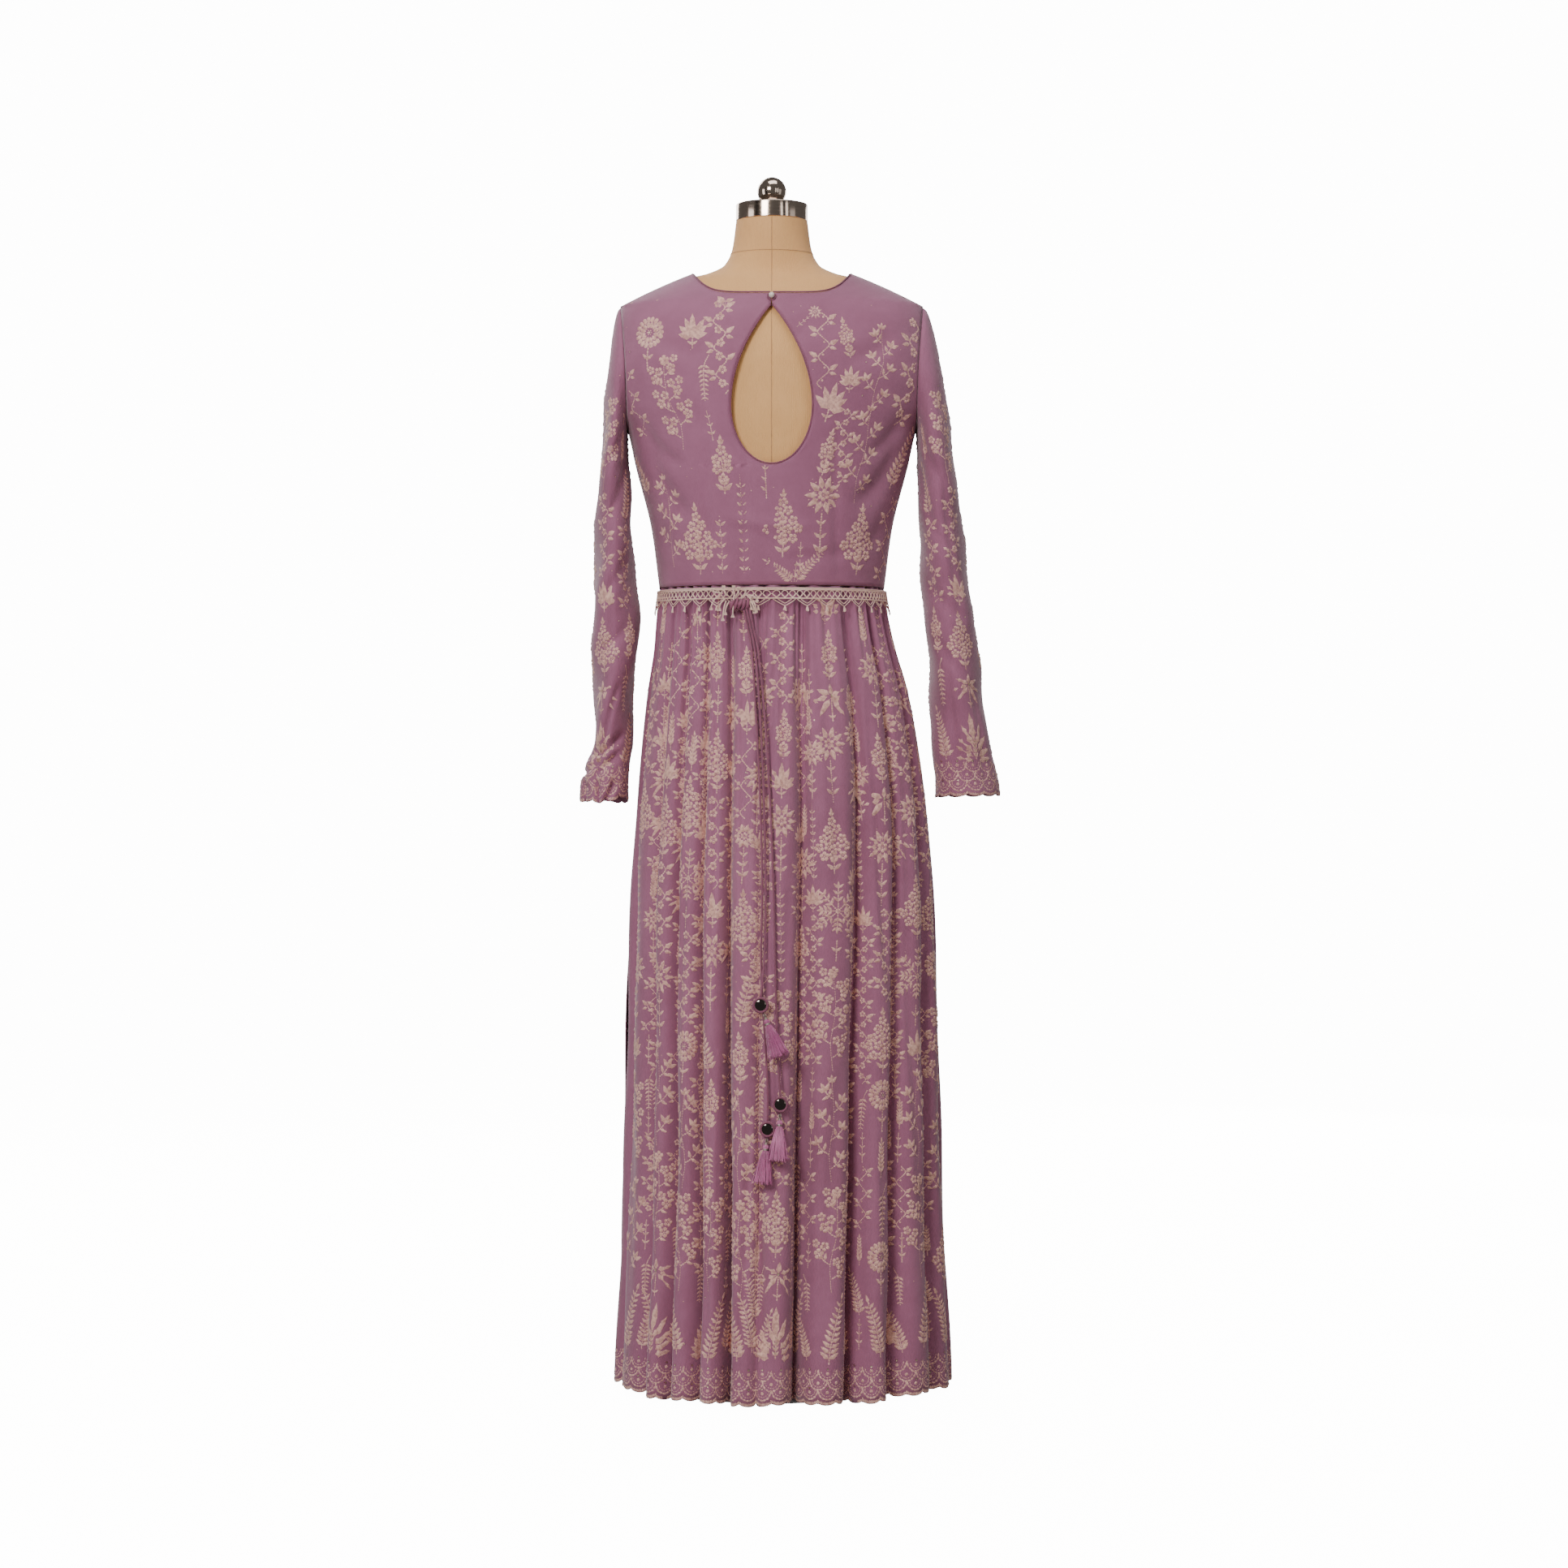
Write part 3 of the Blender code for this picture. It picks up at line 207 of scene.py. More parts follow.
def keyhole_half_width(z):
    fall = np.clip((KEYHOLE_WIDEST_Z - z) / (KEYHOLE_WIDEST_Z - KEYHOLE_BOTTOM_Z), 0, 1)
    drop = np.clip((KEYHOLE_TOP_Z - z) / (KEYHOLE_TOP_Z - KEYHOLE_WIDEST_Z), 0, 1)
    low = KEYHOLE_HALF_WIDTH * np.sqrt(1 - fall * fall)
    high = np.maximum(KEYHOLE_HALF_WIDTH * np.sin(np.pi / 2 * drop**0.9), 0.0006)
    return np.where(z <= KEYHOLE_BOTTOM_Z, 0.0, np.where(z < KEYHOLE_WIDEST_Z, low, high))


def bodice_place(u, v, side):
    """(x, z) on a panel: u from the middle, 0, to the side, 1; v from the waist to the shoulder."""
    top_x = SHOULDER_X * u
    top_z = np.where(top_x < NECK_X, neckline_z(top_x, side), ridge_z(top_x))
    z = WAIST_Z + (top_z - WAIST_Z) * v
    blend = soft_step(0.3, 1.0, v)
    spread = (1 - blend) * np.sin(u * np.pi / 2) + blend * u
    inner = keyhole_half_width(z) if side < 0 else 0.0
    return inner + (armhole_x(z) - inner) * spread, z


# Creases on the panels: from (across, height) to (across, height), bend, width and depth.
BACK_CREASES = [
    (-0.035, 0.985, -0.038, 1.15, 0.004, 0.0035, 0.0023), (0.082, 0.985, 0.078, 1.165, -0.003, 0.004, 0.0029),
    (-0.088, 0.985, -0.08, 1.15, 0.004, 0.0045, 0.0026), (-0.155, 1.15, -0.1, 1.06, 0.008, 0.011, 0.0061),
    (-0.16, 1.12, -0.125, 1.02, 0.006, 0.01, 0.0052), (-0.168, 1.185, -0.11, 1.12, 0.006, 0.01, 0.0049),
    (0.158, 1.15, 0.105, 1.075, -0.006, 0.011, 0.0058), (0.162, 1.118, 0.12, 1.025, -0.008, 0.01, 0.0052),
    (0.166, 1.19, 0.12, 1.135, -0.004, 0.009, 0.0043), (-0.15, 1.285, -0.085, 1.255, 0.006, 0.012, 0.0029),
    (0.148, 1.28, 0.09, 1.25, -0.006, 0.012, 0.0032), (-0.06, 1.06, 0.055, 1.048, 0.004, 0.007, -0.0017),
    (0.02, 1.01, 0.1, 1.022, 0.003, 0.007, 0.0019),
]
FRONT_CREASES = [
    (-0.05, 0.985, -0.06, 1.1, 0.003, 0.0035, 0.0026), (0.05, 0.985, 0.06, 1.1, -0.003, 0.0035, 0.0026),
    (-0.155, 1.15, -0.095, 1.12, 0.006, 0.01, 0.0052), (0.156, 1.155, 0.098, 1.118, -0.006, 0.011, 0.0055),
    (-0.14, 1.06, -0.095, 1.01, 0.005, 0.009, 0.0043), (0.142, 1.068, 0.1, 1.012, -0.005, 0.01, 0.0041),
    (-0.15, 1.26, -0.08, 1.215, 0.006, 0.012, 0.0038), (0.148, 1.255, 0.084, 1.205, -0.006, 0.012, 0.0035),
    (-0.055, 1.02, 0.06, 1.032, 0.005, 0.007, 0.0017),
]


def bodice_surface(x, z, side):
    """The panel with its soft creases, which die out at every edge."""
    point, out = bodice_form(x, z, side)
    depth = soft_creases(BACK_CREASES if side < 0 else FRONT_CREASES, x, z)
    edge = armhole_x(z) - np.abs(x)
    calm = soft_step(0.0, 0.03, edge) * soft_step(WAIST_Z, WAIST_Z + 0.012, z)
    if side < 0:
        calm = calm * soft_step(0.0, 0.02, np.abs(x) - keyhole_half_width(z) + np.where(z < KEYHOLE_BOTTOM_Z, 0.02,
            0))
    return point - out * (depth * calm)[..., None]


print("waist width", 2 * float(bodice_half_width(WAIST_Z)), "shoulder width", 2 * SHOULDER_X)

# %% [markdown]
# ## The skirt's form
# Twenty-one folds stand round the skirt. Between two valleys each is a wide round lobe, because
# gathered cloth spreads where it is free and pinches where it folds back. The valleys' directions
# are listed and are uneven, deeper behind where the photograph shows deep shade. Near the
# waist every fold breaks into small gathers, which die out a hand's breadth below the seam.

# %% Skirt form
SKIRT = profiles(
    [
        (0.978, 0.1385, 0.1385, 0.1, 0.104), (0.94, 0.143, 0.145, 0.108, 0.111),
        (0.9, 0.147, 0.155, 0.117, 0.119), (0.854, 0.154, 0.169, 0.126, 0.126),
        (0.774, 0.162, 0.184, 0.138, 0.135), (0.704, 0.168, 0.1935, 0.147, 0.143),
        (0.604, 0.176, 0.201, 0.158, 0.153), (0.404, 0.182, 0.209, 0.178, 0.172),
        (0.204, 0.186, 0.216, 0.193, 0.187), (0.01, 0.195, 0.224, 0.206, 0.198),
    ],
    "left",
    "right",
    "back",
    "front",
)
# Each valley's direction at the waist and at the hem, in degrees from +X, and its depth at the hem.
VALLEYS = np.array(
    [
        (190, 190, 0.026), (213, 215, 0.028), (227, 227, 0.034), (239, 240.5, 0.034), (251, 252, 0.044),
        (267, 264, 0.012), (283, 278, 0.048), (309, 297, 0.046), (327, 313, 0.038), (343, 336, 0.034),
        (357, 355, 0.028), (373, 372, 0.026), (391, 390, 0.034), (408, 409, 0.042), (425, 426, 0.036),
        (443, 444, 0.046), (462, 463, 0.04), (480, 480, 0.044), (498, 499, 0.038), (516, 516, 0.034),
        (533, 533, 0.026),
    ]
)
FOLDS = len(VALLEYS)
FIRST_BACK_FOLD, FIRST_FRONT_FOLD = -0.5, 10.5

# Smaller creases on the lobes: across is the fold number times 0.05, so that it is close to metres.
FOLD_PITCH = 0.05
SKIRT_CREASES = [
    (0.196, 0.975, 0.192, 0.78, 0.001, 0.0026, 0.004), (0.214, 0.975, 0.208, 0.86, 0.001, 0.0022, 0.003),
    (0.242, 0.975, 0.238, 0.7, -0.001, 0.0026, 0.0044), (0.258, 0.975, 0.254, 0.85, 0.001, 0.0022, 0.0034),
    (0.274, 0.975, 0.276, 0.74, 0.001, 0.0024, 0.004), (0.288, 0.975, 0.29, 0.82, 0.001, 0.0022, 0.0034),
    (0.306, 0.975, 0.308, 0.68, -0.001, 0.0026, 0.0046), (0.322, 0.975, 0.33, 0.8, 0.001, 0.0024, 0.0038),
    (0.34, 0.975, 0.344, 0.86, 0.001, 0.0022, 0.0032), (0.356, 0.975, 0.362, 0.72, 0.001, 0.0026, 0.0044),
    (0.388, 0.975, 0.396, 0.76, 0.001, 0.0026, 0.0042), (0.404, 0.975, 0.41, 0.85, 0.001, 0.0024, 0.0032),
    (0.44, 0.975, 0.446, 0.7, 0.001, 0.0026, 0.004), (0.146, 0.975, 0.142, 0.76, 0.001, 0.0026, 0.0038),
    (0.092, 0.975, 0.088, 0.7, 0.001, 0.0026, 0.0038), (0.06, 0.8, 0.066, 0.3, 0.004, 0.004, 0.003),
    (0.128, 0.7, 0.118, 0.15, 0.003, 0.004, 0.0028), (0.172, 0.86, 0.176, 0.52, -0.003, 0.0036, 0.0034),
    (0.18, 0.44, 0.172, 0.04, 0.002, 0.004, 0.003), (0.222, 0.88, 0.23, 0.56, 0.003, 0.0034, 0.003),
    (0.232, 0.36, 0.224, 0.03, -0.002, 0.0042, 0.0036), (0.268, 0.9, 0.262, 0.62, 0.002, 0.0036, 0.004),
    (0.282, 0.64, 0.276, 0.2, 0.003, 0.004, 0.0036), (0.318, 0.9, 0.326, 0.6, -0.002, 0.0034, 0.0036),
    (0.33, 0.42, 0.322, 0.05, 0.002, 0.0044, 0.0038), (0.368, 0.86, 0.38, 0.48, 0.003, 0.0034, 0.0034),
    (0.376, 0.3, 0.384, 0.03, 0.0, 0.004, 0.0032), (0.42, 0.78, 0.426, 0.25, 0.004, 0.0038, 0.0032),
    (0.312, 0.56, 0.318, 0.06, 0.003, 0.0046, 0.005), (0.338, 0.7, 0.342, 0.3, -0.002, 0.0044, 0.0046),
    (0.362, 0.46, 0.366, 0.02, 0.003, 0.0048, 0.0052), (0.392, 0.62, 0.388, 0.18, 0.002, 0.0044, 0.0044),
    (0.408, 0.38, 0.414, 0.02, 0.002, 0.0048, 0.0048), (0.436, 0.56, 0.44, 0.12, -0.002, 0.0044, 0.0044),
    (0.26, 0.42, 0.266, 0.03, 0.002, 0.0044, 0.0044), (0.21, 0.3, 0.214, 0.02, 0.001, 0.0044, 0.0042),
    (0.47, 0.7, 0.462, 0.1, 0.003, 0.0044, 0.0034), (0.02, 0.64, 0.028, 0.08, 0.004, 0.0044, 0.003),
    (0.56, 0.82, 0.568, 0.3, 0.004, 0.004, 0.003), (0.628, 0.76, 0.62, 0.16, -0.003, 0.004, 0.0032),
    (0.672, 0.88, 0.68, 0.42, 0.003, 0.0038, 0.0034), (0.726, 0.84, 0.718, 0.24, 0.003, 0.0042, 0.0036),
    (0.77, 0.9, 0.778, 0.52, -0.003, 0.0038, 0.0036), (0.784, 0.42, 0.776, 0.04, 0.003, 0.0044, 0.003),
    (0.83, 0.86, 0.822, 0.36, 0.002, 0.004, 0.0034), (0.876, 0.78, 0.884, 0.2, 0.004, 0.0042, 0.003),
    (0.93, 0.86, 0.922, 0.4, 0.002, 0.0038, 0.0034), (0.972, 0.7, 0.98, 0.14, 0.003, 0.0044, 0.0032),
    (1.022, 0.76, 1.016, 0.26, 0.003, 0.004, 0.003),
]


def skirt_outline(angle, z):
    """The outline over the fold tops, and the outward direction, at a direction and a height."""
    c, s = np.cos(angle), np.sin(angle)
    across = np.where(c > 0, SKIRT["right"](z), SKIRT["left"](z))
    along = np.where(s > 0, SKIRT["front"](z), SKIRT["back"](z))
    power = 2 / (2 + (SQUARENESS - 2) * soft_step(WAIST_Z - 0.16, WAIST_Z, z))
    point = stack(across * np.sign(c) * np.abs(c) ** power, along * np.sign(s) * np.abs(s) ** power, z)
    return point, unit(stack(c / across, s / along, 0.0 * z))


def skirt_surface(fold, z):
    """fold counts the folds round the skirt; its fraction runs from one valley to the next."""
    k = np.floor(fold).astype(int)
    share = fold - k
    before, after = VALLEYS[k % FOLDS], VALLEYS[(k + 1) % FOLDS]
    turn = 360.0 * (k // FOLDS)
    last = np.where(k % FOLDS == FOLDS - 1, 360.0, 0.0)
    fall = np.clip((WAIST_Z - z) / (WAIST_Z - HEM_Z), 0, 1)
    start = before[..., 0] + (before[..., 1] - before[..., 0]) * fall
    end = after[..., 0] + (after[..., 1] - after[..., 0]) * fall + last
    pinch = 0.4 + 0.28 * soft_step(0.0, 0.25, fall)
    along = share - pinch / (2 * np.pi) * np.sin(2 * np.pi * share)
    angle = np.radians(start + (end - start) * along + turn)
    valley_depth = np.where(share < 0.5, before[..., 2], after[..., 2])
    depth = valley_depth * (0.13 + 0.87 * fall**0.7) * (0.5 + 0.5 * np.cos(2 * np.pi * share)) ** 1.25
    gather = 0.0026 * np.exp(-fall / 0.13)
    depth = depth + gather * (np.cos(4 * np.pi * share) + 0.6)
    fine = 0.0016 * np.exp(-fall / 0.085) * soft_step(0.0, 0.004, fall)
    depth = depth + fine * (np.cos(2 * np.pi * (5.5 * share + 0.37 * k)) + 0.4)
    wave = 0.0022 * soft_step(0.1, 0.5, fall)
    depth = depth + wave * (1 + np.sin(17.0 * z + 2.1 * k + 5.0 * share) * np.sin(7.0 * z + 1.3 * k))
    ring = np.mod(fold, FOLDS)
    ring = np.where(ring > FOLDS - 0.7, ring - FOLDS, ring)
    depth = depth + soft_creases(SKIRT_CREASES, ring * FOLD_PITCH, z)
    point, out = skirt_outline(angle, z)
    return point - out * depth[..., None]


print("folds:", FOLDS, "hem width", float(SKIRT["left"](HEM_Z) + SKIRT["right"](HEM_Z)))

# %% [markdown]
# ## The sleeves' form
# Each sleeve starts on the armhole's edge and settles within a third of its length into a flat
# oval tube. The right one hangs clear and ends in a flat cuff; the left one is pushed up a little,
# so its cuff is crumpled and turned outwards.

# %% Sleeve form
SLEEVES = {
    -1: profiles(
        [
            (1.324, 0.194, 0.009, 0.056), (1.2, 0.1935, 0.0125, 0.068), (1.11, 0.194, 0.019, 0.07),
            (1.0, 0.194, 0.025, 0.066), (0.92, 0.1915, 0.0285, 0.062), (0.85, 0.1955, 0.024, 0.058),
            (0.79, 0.1965, 0.023, 0.054), (0.745, 0.204, 0.029, 0.05), (0.7, 0.2065, 0.031, 0.047),
        ],
        "middle",
        "wide",
        "deep",
    ),
    1: profiles(
        [
            (1.324, 0.196, 0.012, 0.056), (1.2, 0.1995, 0.0185, 0.068), (1.11, 0.204, 0.0235, 0.07),
            (1.0, 0.2125, 0.029, 0.066), (0.9, 0.223, 0.031, 0.062), (0.8, 0.232, 0.035, 0.056),
            (0.75, 0.2375, 0.0385, 0.05), (0.705, 0.2415, 0.0415, 0.045),
        ],
        "middle",
        "wide",
        "deep",
    ),
}
CUFF_Z = {-1: 0.713, 1: 0.721}
# Creases on the sleeves: across is the angle round the tube times 0.045, 0 on its outer line.
SLEEVE_CREASES = {
    -1: [
        (-0.13, 1.2, -0.05, 1.12, 0.004, 0.008, 0.004), (-0.128, 1.15, -0.06, 1.06, 0.006, 0.008, 0.0036),
        (-0.11, 1.02, -0.04, 0.96, 0.004, 0.008, 0.003), (-0.1, 0.93, -0.03, 0.9, 0.004, 0.007, 0.0032),
        (-0.07, 1.09, -0.06, 0.9, 0.003, 0.006, 0.0022), (-0.09, 0.86, -0.055, 0.79, -0.003, 0.006, 0.0051),
        (-0.105, 0.8, -0.02, 0.772, 0.004, 0.005, 0.0078),
        (-0.098, 0.775, -0.045, 0.746, -0.003, 0.0048, 0.0075),
        (-0.06, 0.768, 0.01, 0.748, 0.003, 0.005, 0.0069), (-0.09, 0.742, -0.07, 0.712, 0.002, 0.0045, 0.0075),
        (-0.052, 0.744, -0.06, 0.712, 0.002, 0.0045, 0.0075),
        (-0.026, 0.742, -0.02, 0.712, 0.002, 0.0045, 0.006), (0.01, 0.78, 0.07, 0.75, 0.003, 0.0055, 0.0063),
        (0.05, 1.18, 0.12, 1.1, 0.005, 0.008, 0.0036), (0.045, 0.96, 0.11, 0.92, 0.004, 0.008, 0.0032),
        (0.06, 0.86, 0.072, 0.76, 0.003, 0.0055, 0.0045),
    ],
    1: [
        (-0.13, 1.195, -0.06, 1.1, 0.004, 0.008, 0.004), (-0.126, 1.14, -0.075, 1.03, 0.006, 0.008, 0.0034),
        (-0.06, 1.11, -0.05, 0.93, 0.004, 0.007, 0.0024), (-0.115, 0.985, -0.045, 0.94, 0.004, 0.008, 0.003),
        (-0.105, 0.92, -0.055, 0.87, 0.004, 0.007, 0.0026), (-0.085, 0.9, -0.078, 0.74, 0.003, 0.006, 0.0028),
        (-0.045, 0.86, -0.04, 0.735, -0.002, 0.0055, 0.002), (0.05, 1.17, 0.118, 1.09, 0.005, 0.008, 0.0034),
        (0.048, 0.97, 0.108, 0.93, 0.004, 0.008, 0.003), (0.07, 0.88, 0.064, 0.745, 0.003, 0.006, 0.0026),
    ],
}


def sleeve_start_z(angle):
    return UNDERARM_Z + (SHOULDER_Z - UNDERARM_Z) * (1 + np.cos(angle)) / 2


def sleeve_surface(angle, z, half):
    """The sleeve at an angle, 0 on its outer line and negative behind, and a height below the armhole's edge."""
    shape = SLEEVES[half]
    start_z = sleeve_start_z(angle)
    start_x = armhole_x(start_z)
    side = np.where(np.sin(angle) >= 0, 1, -1)
    flat = np.abs(np.sin(angle)) < 1e-6
    back, _ = bodice_form(start_x, start_z, -1)
    front, _ = bodice_form(start_x, start_z, 1)
    start_y = np.where(flat, 0.0, np.where(side > 0, front[..., 1], back[..., 1]))
    share = np.clip((start_z - z) / (start_z - CUFF_Z[half]), 0, 1)
    reach = np.minimum(share / 0.3, 1.0)
    moved = np.sqrt(1 - (1 - reach) ** 2)
    crease = soft_creases(SLEEVE_CREASES[half], angle * 0.045, z)
    crease = crease + soft_creases(SLEEVE_CREASES[half], (angle - 2 * np.pi) * 0.045, z)
    ripple = 0.0016 * np.sin(41 * z + 3 * angle) + 0.0014 * np.sin(23 * z - 2 * angle + half) * np.sin(61 * z + angle)
    crease = (crease + ripple) * soft_step(0.02, 0.14, share)
    end_x = shape["middle"](z) + (shape["wide"](z) - crease) * np.cos(angle)
    end_y = 0.004 + (shape["deep"](z) - crease) * np.sin(angle)
    x = start_x + SEAM_GAP + (end_x - start_x - SEAM_GAP) * moved
    return stack(half * x, start_y + (end_y - start_y) * moved, z)


print("left cuff at", CUFF_Z[-1], "right cuff at", CUFF_Z[1])

# %% [markdown]
# ## Cloth as a map
# A motif is drawn flat, in metres, and must keep its size when it lies over a fold. So each piece
# of cloth keeps a table of the arc length across it at many heights: a step across the flat motif
# becomes a step along the real surface. A plain projection from behind would stretch every motif
# that lies on the side of a fold.


# %% Cloth pieces and their arc tables
class Cloth:
    """A surface over (across, height). turn is +1 or -1, so that its normals point outwards."""

    def __init__(self, name, surface, across, heights, turn, allowed):
        self.name, self.surface, self.turn, self.allowed = name, surface, turn, allowed
        self.across = np.linspace(*across)
        self.heights = np.linspace(*heights)
        points = surface(*np.meshgrid(self.across, self.heights))
        steps = np.linalg.norm(np.diff(points, axis=1), axis=2)
        self.arc = np.concatenate([np.zeros((len(steps), 1)), np.cumsum(steps, axis=1)], axis=1)
        self.step = 0.002
        count = int(self.arc[:, -1].max() / self.step) + 2
        places = np.arange(count) * self.step
        self.inverse = np.array([np.interp(places, row, self.across, right=np.nan) for row in self.arc])

    def read(self, grid, column, row):
        column = np.clip(column, 0, grid.shape[1] - 1.001)
        row = np.clip(row, 0, grid.shape[0] - 1.001)
        i, j = row.astype(int), column.astype(int)
        a, b = row - i, column - j
        low = grid[i, j] * (1 - b) + grid[i, j + 1] * b
        return low * (1 - a) + (grid[i + 1, j] * (1 - b) + grid[i + 1, j + 1] * b) * a

    def row_of(self, z):
        return (z - self.heights[0]) / (self.heights[1] - self.heights[0])

    def arc_at(self, across, z):
        column = (across - self.across[0]) / (self.across[1] - self.across[0])
        return self.read(self.arc, column, self.row_of(z))

    def lay(self, across, z, dx, dz):
        """Where flat steps (dx, dz) from a place on the cloth come to lie."""
        z = z + dz
        along = self.arc_at(across, z) + dx
        inside = along >= 0
        place = self.read(self.inverse, along / self.step, self.row_of(z))
        inside &= ~np.isnan(place)
        place = np.where(inside, place, self.across[0])
        return place, z, inside & self.allowed(place, z)

    def points(self, across, z, lift):
        """Points this far outside the surface."""
        nudge = (self.across[-1] - self.across[0]) / len(self.across)
        side = self.surface(across + nudge, z) - self.surface(across - nudge, z)
        up = self.surface(across, z + 0.0015) - self.surface(across, z - 0.0015)
        out = unit(np.cross(side, up)) * self.turn
        return self.surface(across, z) + out * lift[..., None], out


def panel_allowed(side):
    def allowed(place, z):
        x = np.abs(bodice_half_width(z) * np.sin(place * np.pi / 2))
        top = np.where(x < NECK_X, neckline_z(x, side), ridge_z(x))
        fine = (z < top - 0.0025) & (x < armhole_x(z) - 0.002)
        return fine & (x > keyhole_half_width(z) + 0.0015) if side < 0 else fine

    return allowed


def panel_surface(side):
    return lambda place, z: bodice_surface(
        bodice_half_width(z) * np.sin(np.clip(place, -1, 1) * np.pi / 2), z, side
    )


def sleeve_allowed(half):
    return lambda place, z: (z < sleeve_start_z(place) - 0.003) & (z > CUFF_Z[half])


def skirt_allowed(place, z):
    return (z > HEM_Z) & (z < WAIST_Z - 0.004)


def sleeve_tube(half):
    return lambda angle, z: sleeve_surface(angle, z, half)


GOWN = {}
SKIRT_HEIGHTS, BODICE_HEIGHTS, SLEEVE_HEIGHTS = (0.0, 0.985, 100), (0.97, 1.385, 84), (0.71, 1.325, 124)
for name, first, last, columns in (
    ("skirt back", FIRST_BACK_FOLD, FIRST_FRONT_FOLD, 1100), ("skirt front", FIRST_FRONT_FOLD, FOLDS - 0.5, 1000),
):
    GOWN[name] = Cloth(name, skirt_surface, (first, last, columns), SKIRT_HEIGHTS, 1, skirt_allowed)
for name, side in (("bodice back", -1), ("bodice front", 1)):
    GOWN[name] = Cloth(name, panel_surface(side), (-1, 1, 300), BODICE_HEIGHTS, -side, panel_allowed(side))
TUBE_TURN = np.pi * 1.02  # A little past the seam, so that motifs may cross it.
for name, half in (("left sleeve", -1), ("right sleeve", 1)):
    round_it = (-TUBE_TURN, TUBE_TURN, 260)
    GOWN[name] = Cloth(name, sleeve_tube(half), round_it, SLEEVE_HEIGHTS, half, sleeve_allowed(half))
for cloth in GOWN.values():
    print(cloth.name, "is", round(float(cloth.arc[2, -1]), 3), "m round near its low edge")

# %% [markdown]
# ## Materials
# Effects that several materials share are node groups: a woven ground with its slubs, and stitches
# that slant like herringbone. Each gives only colours, masks and heights, and the shader itself
# stays in the material. An image of cloth could do this too, but it would blur close up and
# repeat.


# %% Shared effects and materials
def new_group(name, inputs, outputs):
    group = bpy.data.node_groups.new(name, "ShaderNodeTree")
    for title, kind, value in inputs:
        socket = group.interface.new_socket(title, in_out="INPUT", socket_type=kind)
        if value is not None:
            socket.default_value = value
    for title, kind in outputs:
        group.interface.new_socket(title, in_out="OUTPUT", socket_type=kind)
    return group, group.nodes.new("NodeGroupInput"), group.nodes.new("NodeGroupOutput")


def add_node(tree, kind, links=(), **settings):
    """A node with its settings, and its inputs by name or number: a socket to link or a plain value."""
    node = tree.nodes.new(kind)
    for key, value in settings.items():
        setattr(node, key, value)
    for key, value in dict(links).items():
        if isinstance(value, bpy.types.NodeSocket):
            tree.links.new(value, node.inputs[key])
        else:
            node.inputs[key].default_value = value
    return node


def calc(tree, operation, *values):
    return add_node(tree, "ShaderNodeMath", enumerate(values), operation=operation).outputs[0]


def blend_colours(tree, share, low, high):
    node = add_node(tree, "ShaderNodeMix", {0: share, 6: low, 7: high}, data_type="RGBA")
    return node.outputs[2]


def woven_ground():
    """Crossing threads with uneven slubs, on a map in metres."""
    inputs = [("Map", "NodeSocketVector", None), ("Thread", "NodeSocketFloat", 0.0006)]
    group, given, result = new_group("woven ground", inputs,
        [("Height", "NodeSocketFloat"), ("Slubs", "NodeSocketFloat")])
    parts = add_node(group, "ShaderNodeSeparateXYZ", {0: given.outputs["Map"]})
    turns = []
    for axis in (0, 1):
        turn = calc(group, "DIVIDE", parts.outputs[axis], given.outputs["Thread"])
        turns.append(calc(group, "SINE", calc(group, "MULTIPLY", turn, math.pi)))
    crossing = calc(group, "MULTIPLY", *turns)
    slub = add_node(group, "ShaderNodeTexNoise", {"Vector": given.outputs["Map"], "Scale": 260.0, "Detail": 2.0})
    height = calc(group, "ADD", calc(group, "MULTIPLY", crossing, 0.5), slub.outputs[0])
    group.links.new(height, result.inputs["Height"])
    wide = add_node(group, "ShaderNodeTexNoise", {"Vector": given.outputs["Map"], "Scale": 34.0, "Detail": 4.0})
    group.links.new(wide.outputs[0], result.inputs["Slubs"])
    return group


def slanting_stitches():
    """Fine threads side by side that slant away from a middle line, as in satin stitch."""
    inputs = [("Map", "NodeSocketVector", None), ("Thread", "NodeSocketFloat", 0.0005),
        ("Slant", "NodeSocketFloat", 0.9)]
    group, given, result = new_group("slanting stitches", inputs,
        [("Height", "NodeSocketFloat"), ("Painted Shine", "NodeSocketFloat")])
    parts = add_node(group, "ShaderNodeSeparateXYZ", {0: given.outputs["Map"]})
    sideways = calc(group, "MULTIPLY", calc(group, "ABSOLUTE", parts.outputs[1]), given.outputs["Slant"])
    line = calc(group, "DIVIDE", calc(group, "SUBTRACT", parts.outputs[0], sideways), given.outputs["Thread"])
    ridge = calc(group, "ABSOLUTE", calc(group, "SINE", calc(group, "MULTIPLY", line, math.pi)))
    group.links.new(ridge, result.inputs["Height"])
    # Painted Shine: a painted highlight on the thread crowns where noise spots fall, and painted shade between the
    # threads.
    spots = add_node(group, "ShaderNodeTexNoise", {"Vector": given.outputs["Map"], "Scale": 420.0, "Detail": 2.0})
    group.links.new(calc(group, "MULTIPLY", ridge, spots.outputs[0]), result.inputs["Painted Shine"])
    return group


GROUND = woven_ground()
STITCHES = slanting_stitches()


def new_material(name, roughness, metallic=0.0, sheen=0.0):
    material = bpy.data.materials.new(name)
    material.use_nodes = True
    tree = material.node_tree
    shader = tree.nodes["Principled BSDF"]
    shader.inputs["Roughness"].default_value = roughness
    shader.inputs["Metallic"].default_value = metallic
    shader.inputs["Sheen Weight"].default_value = sheen
    return material, tree, shader


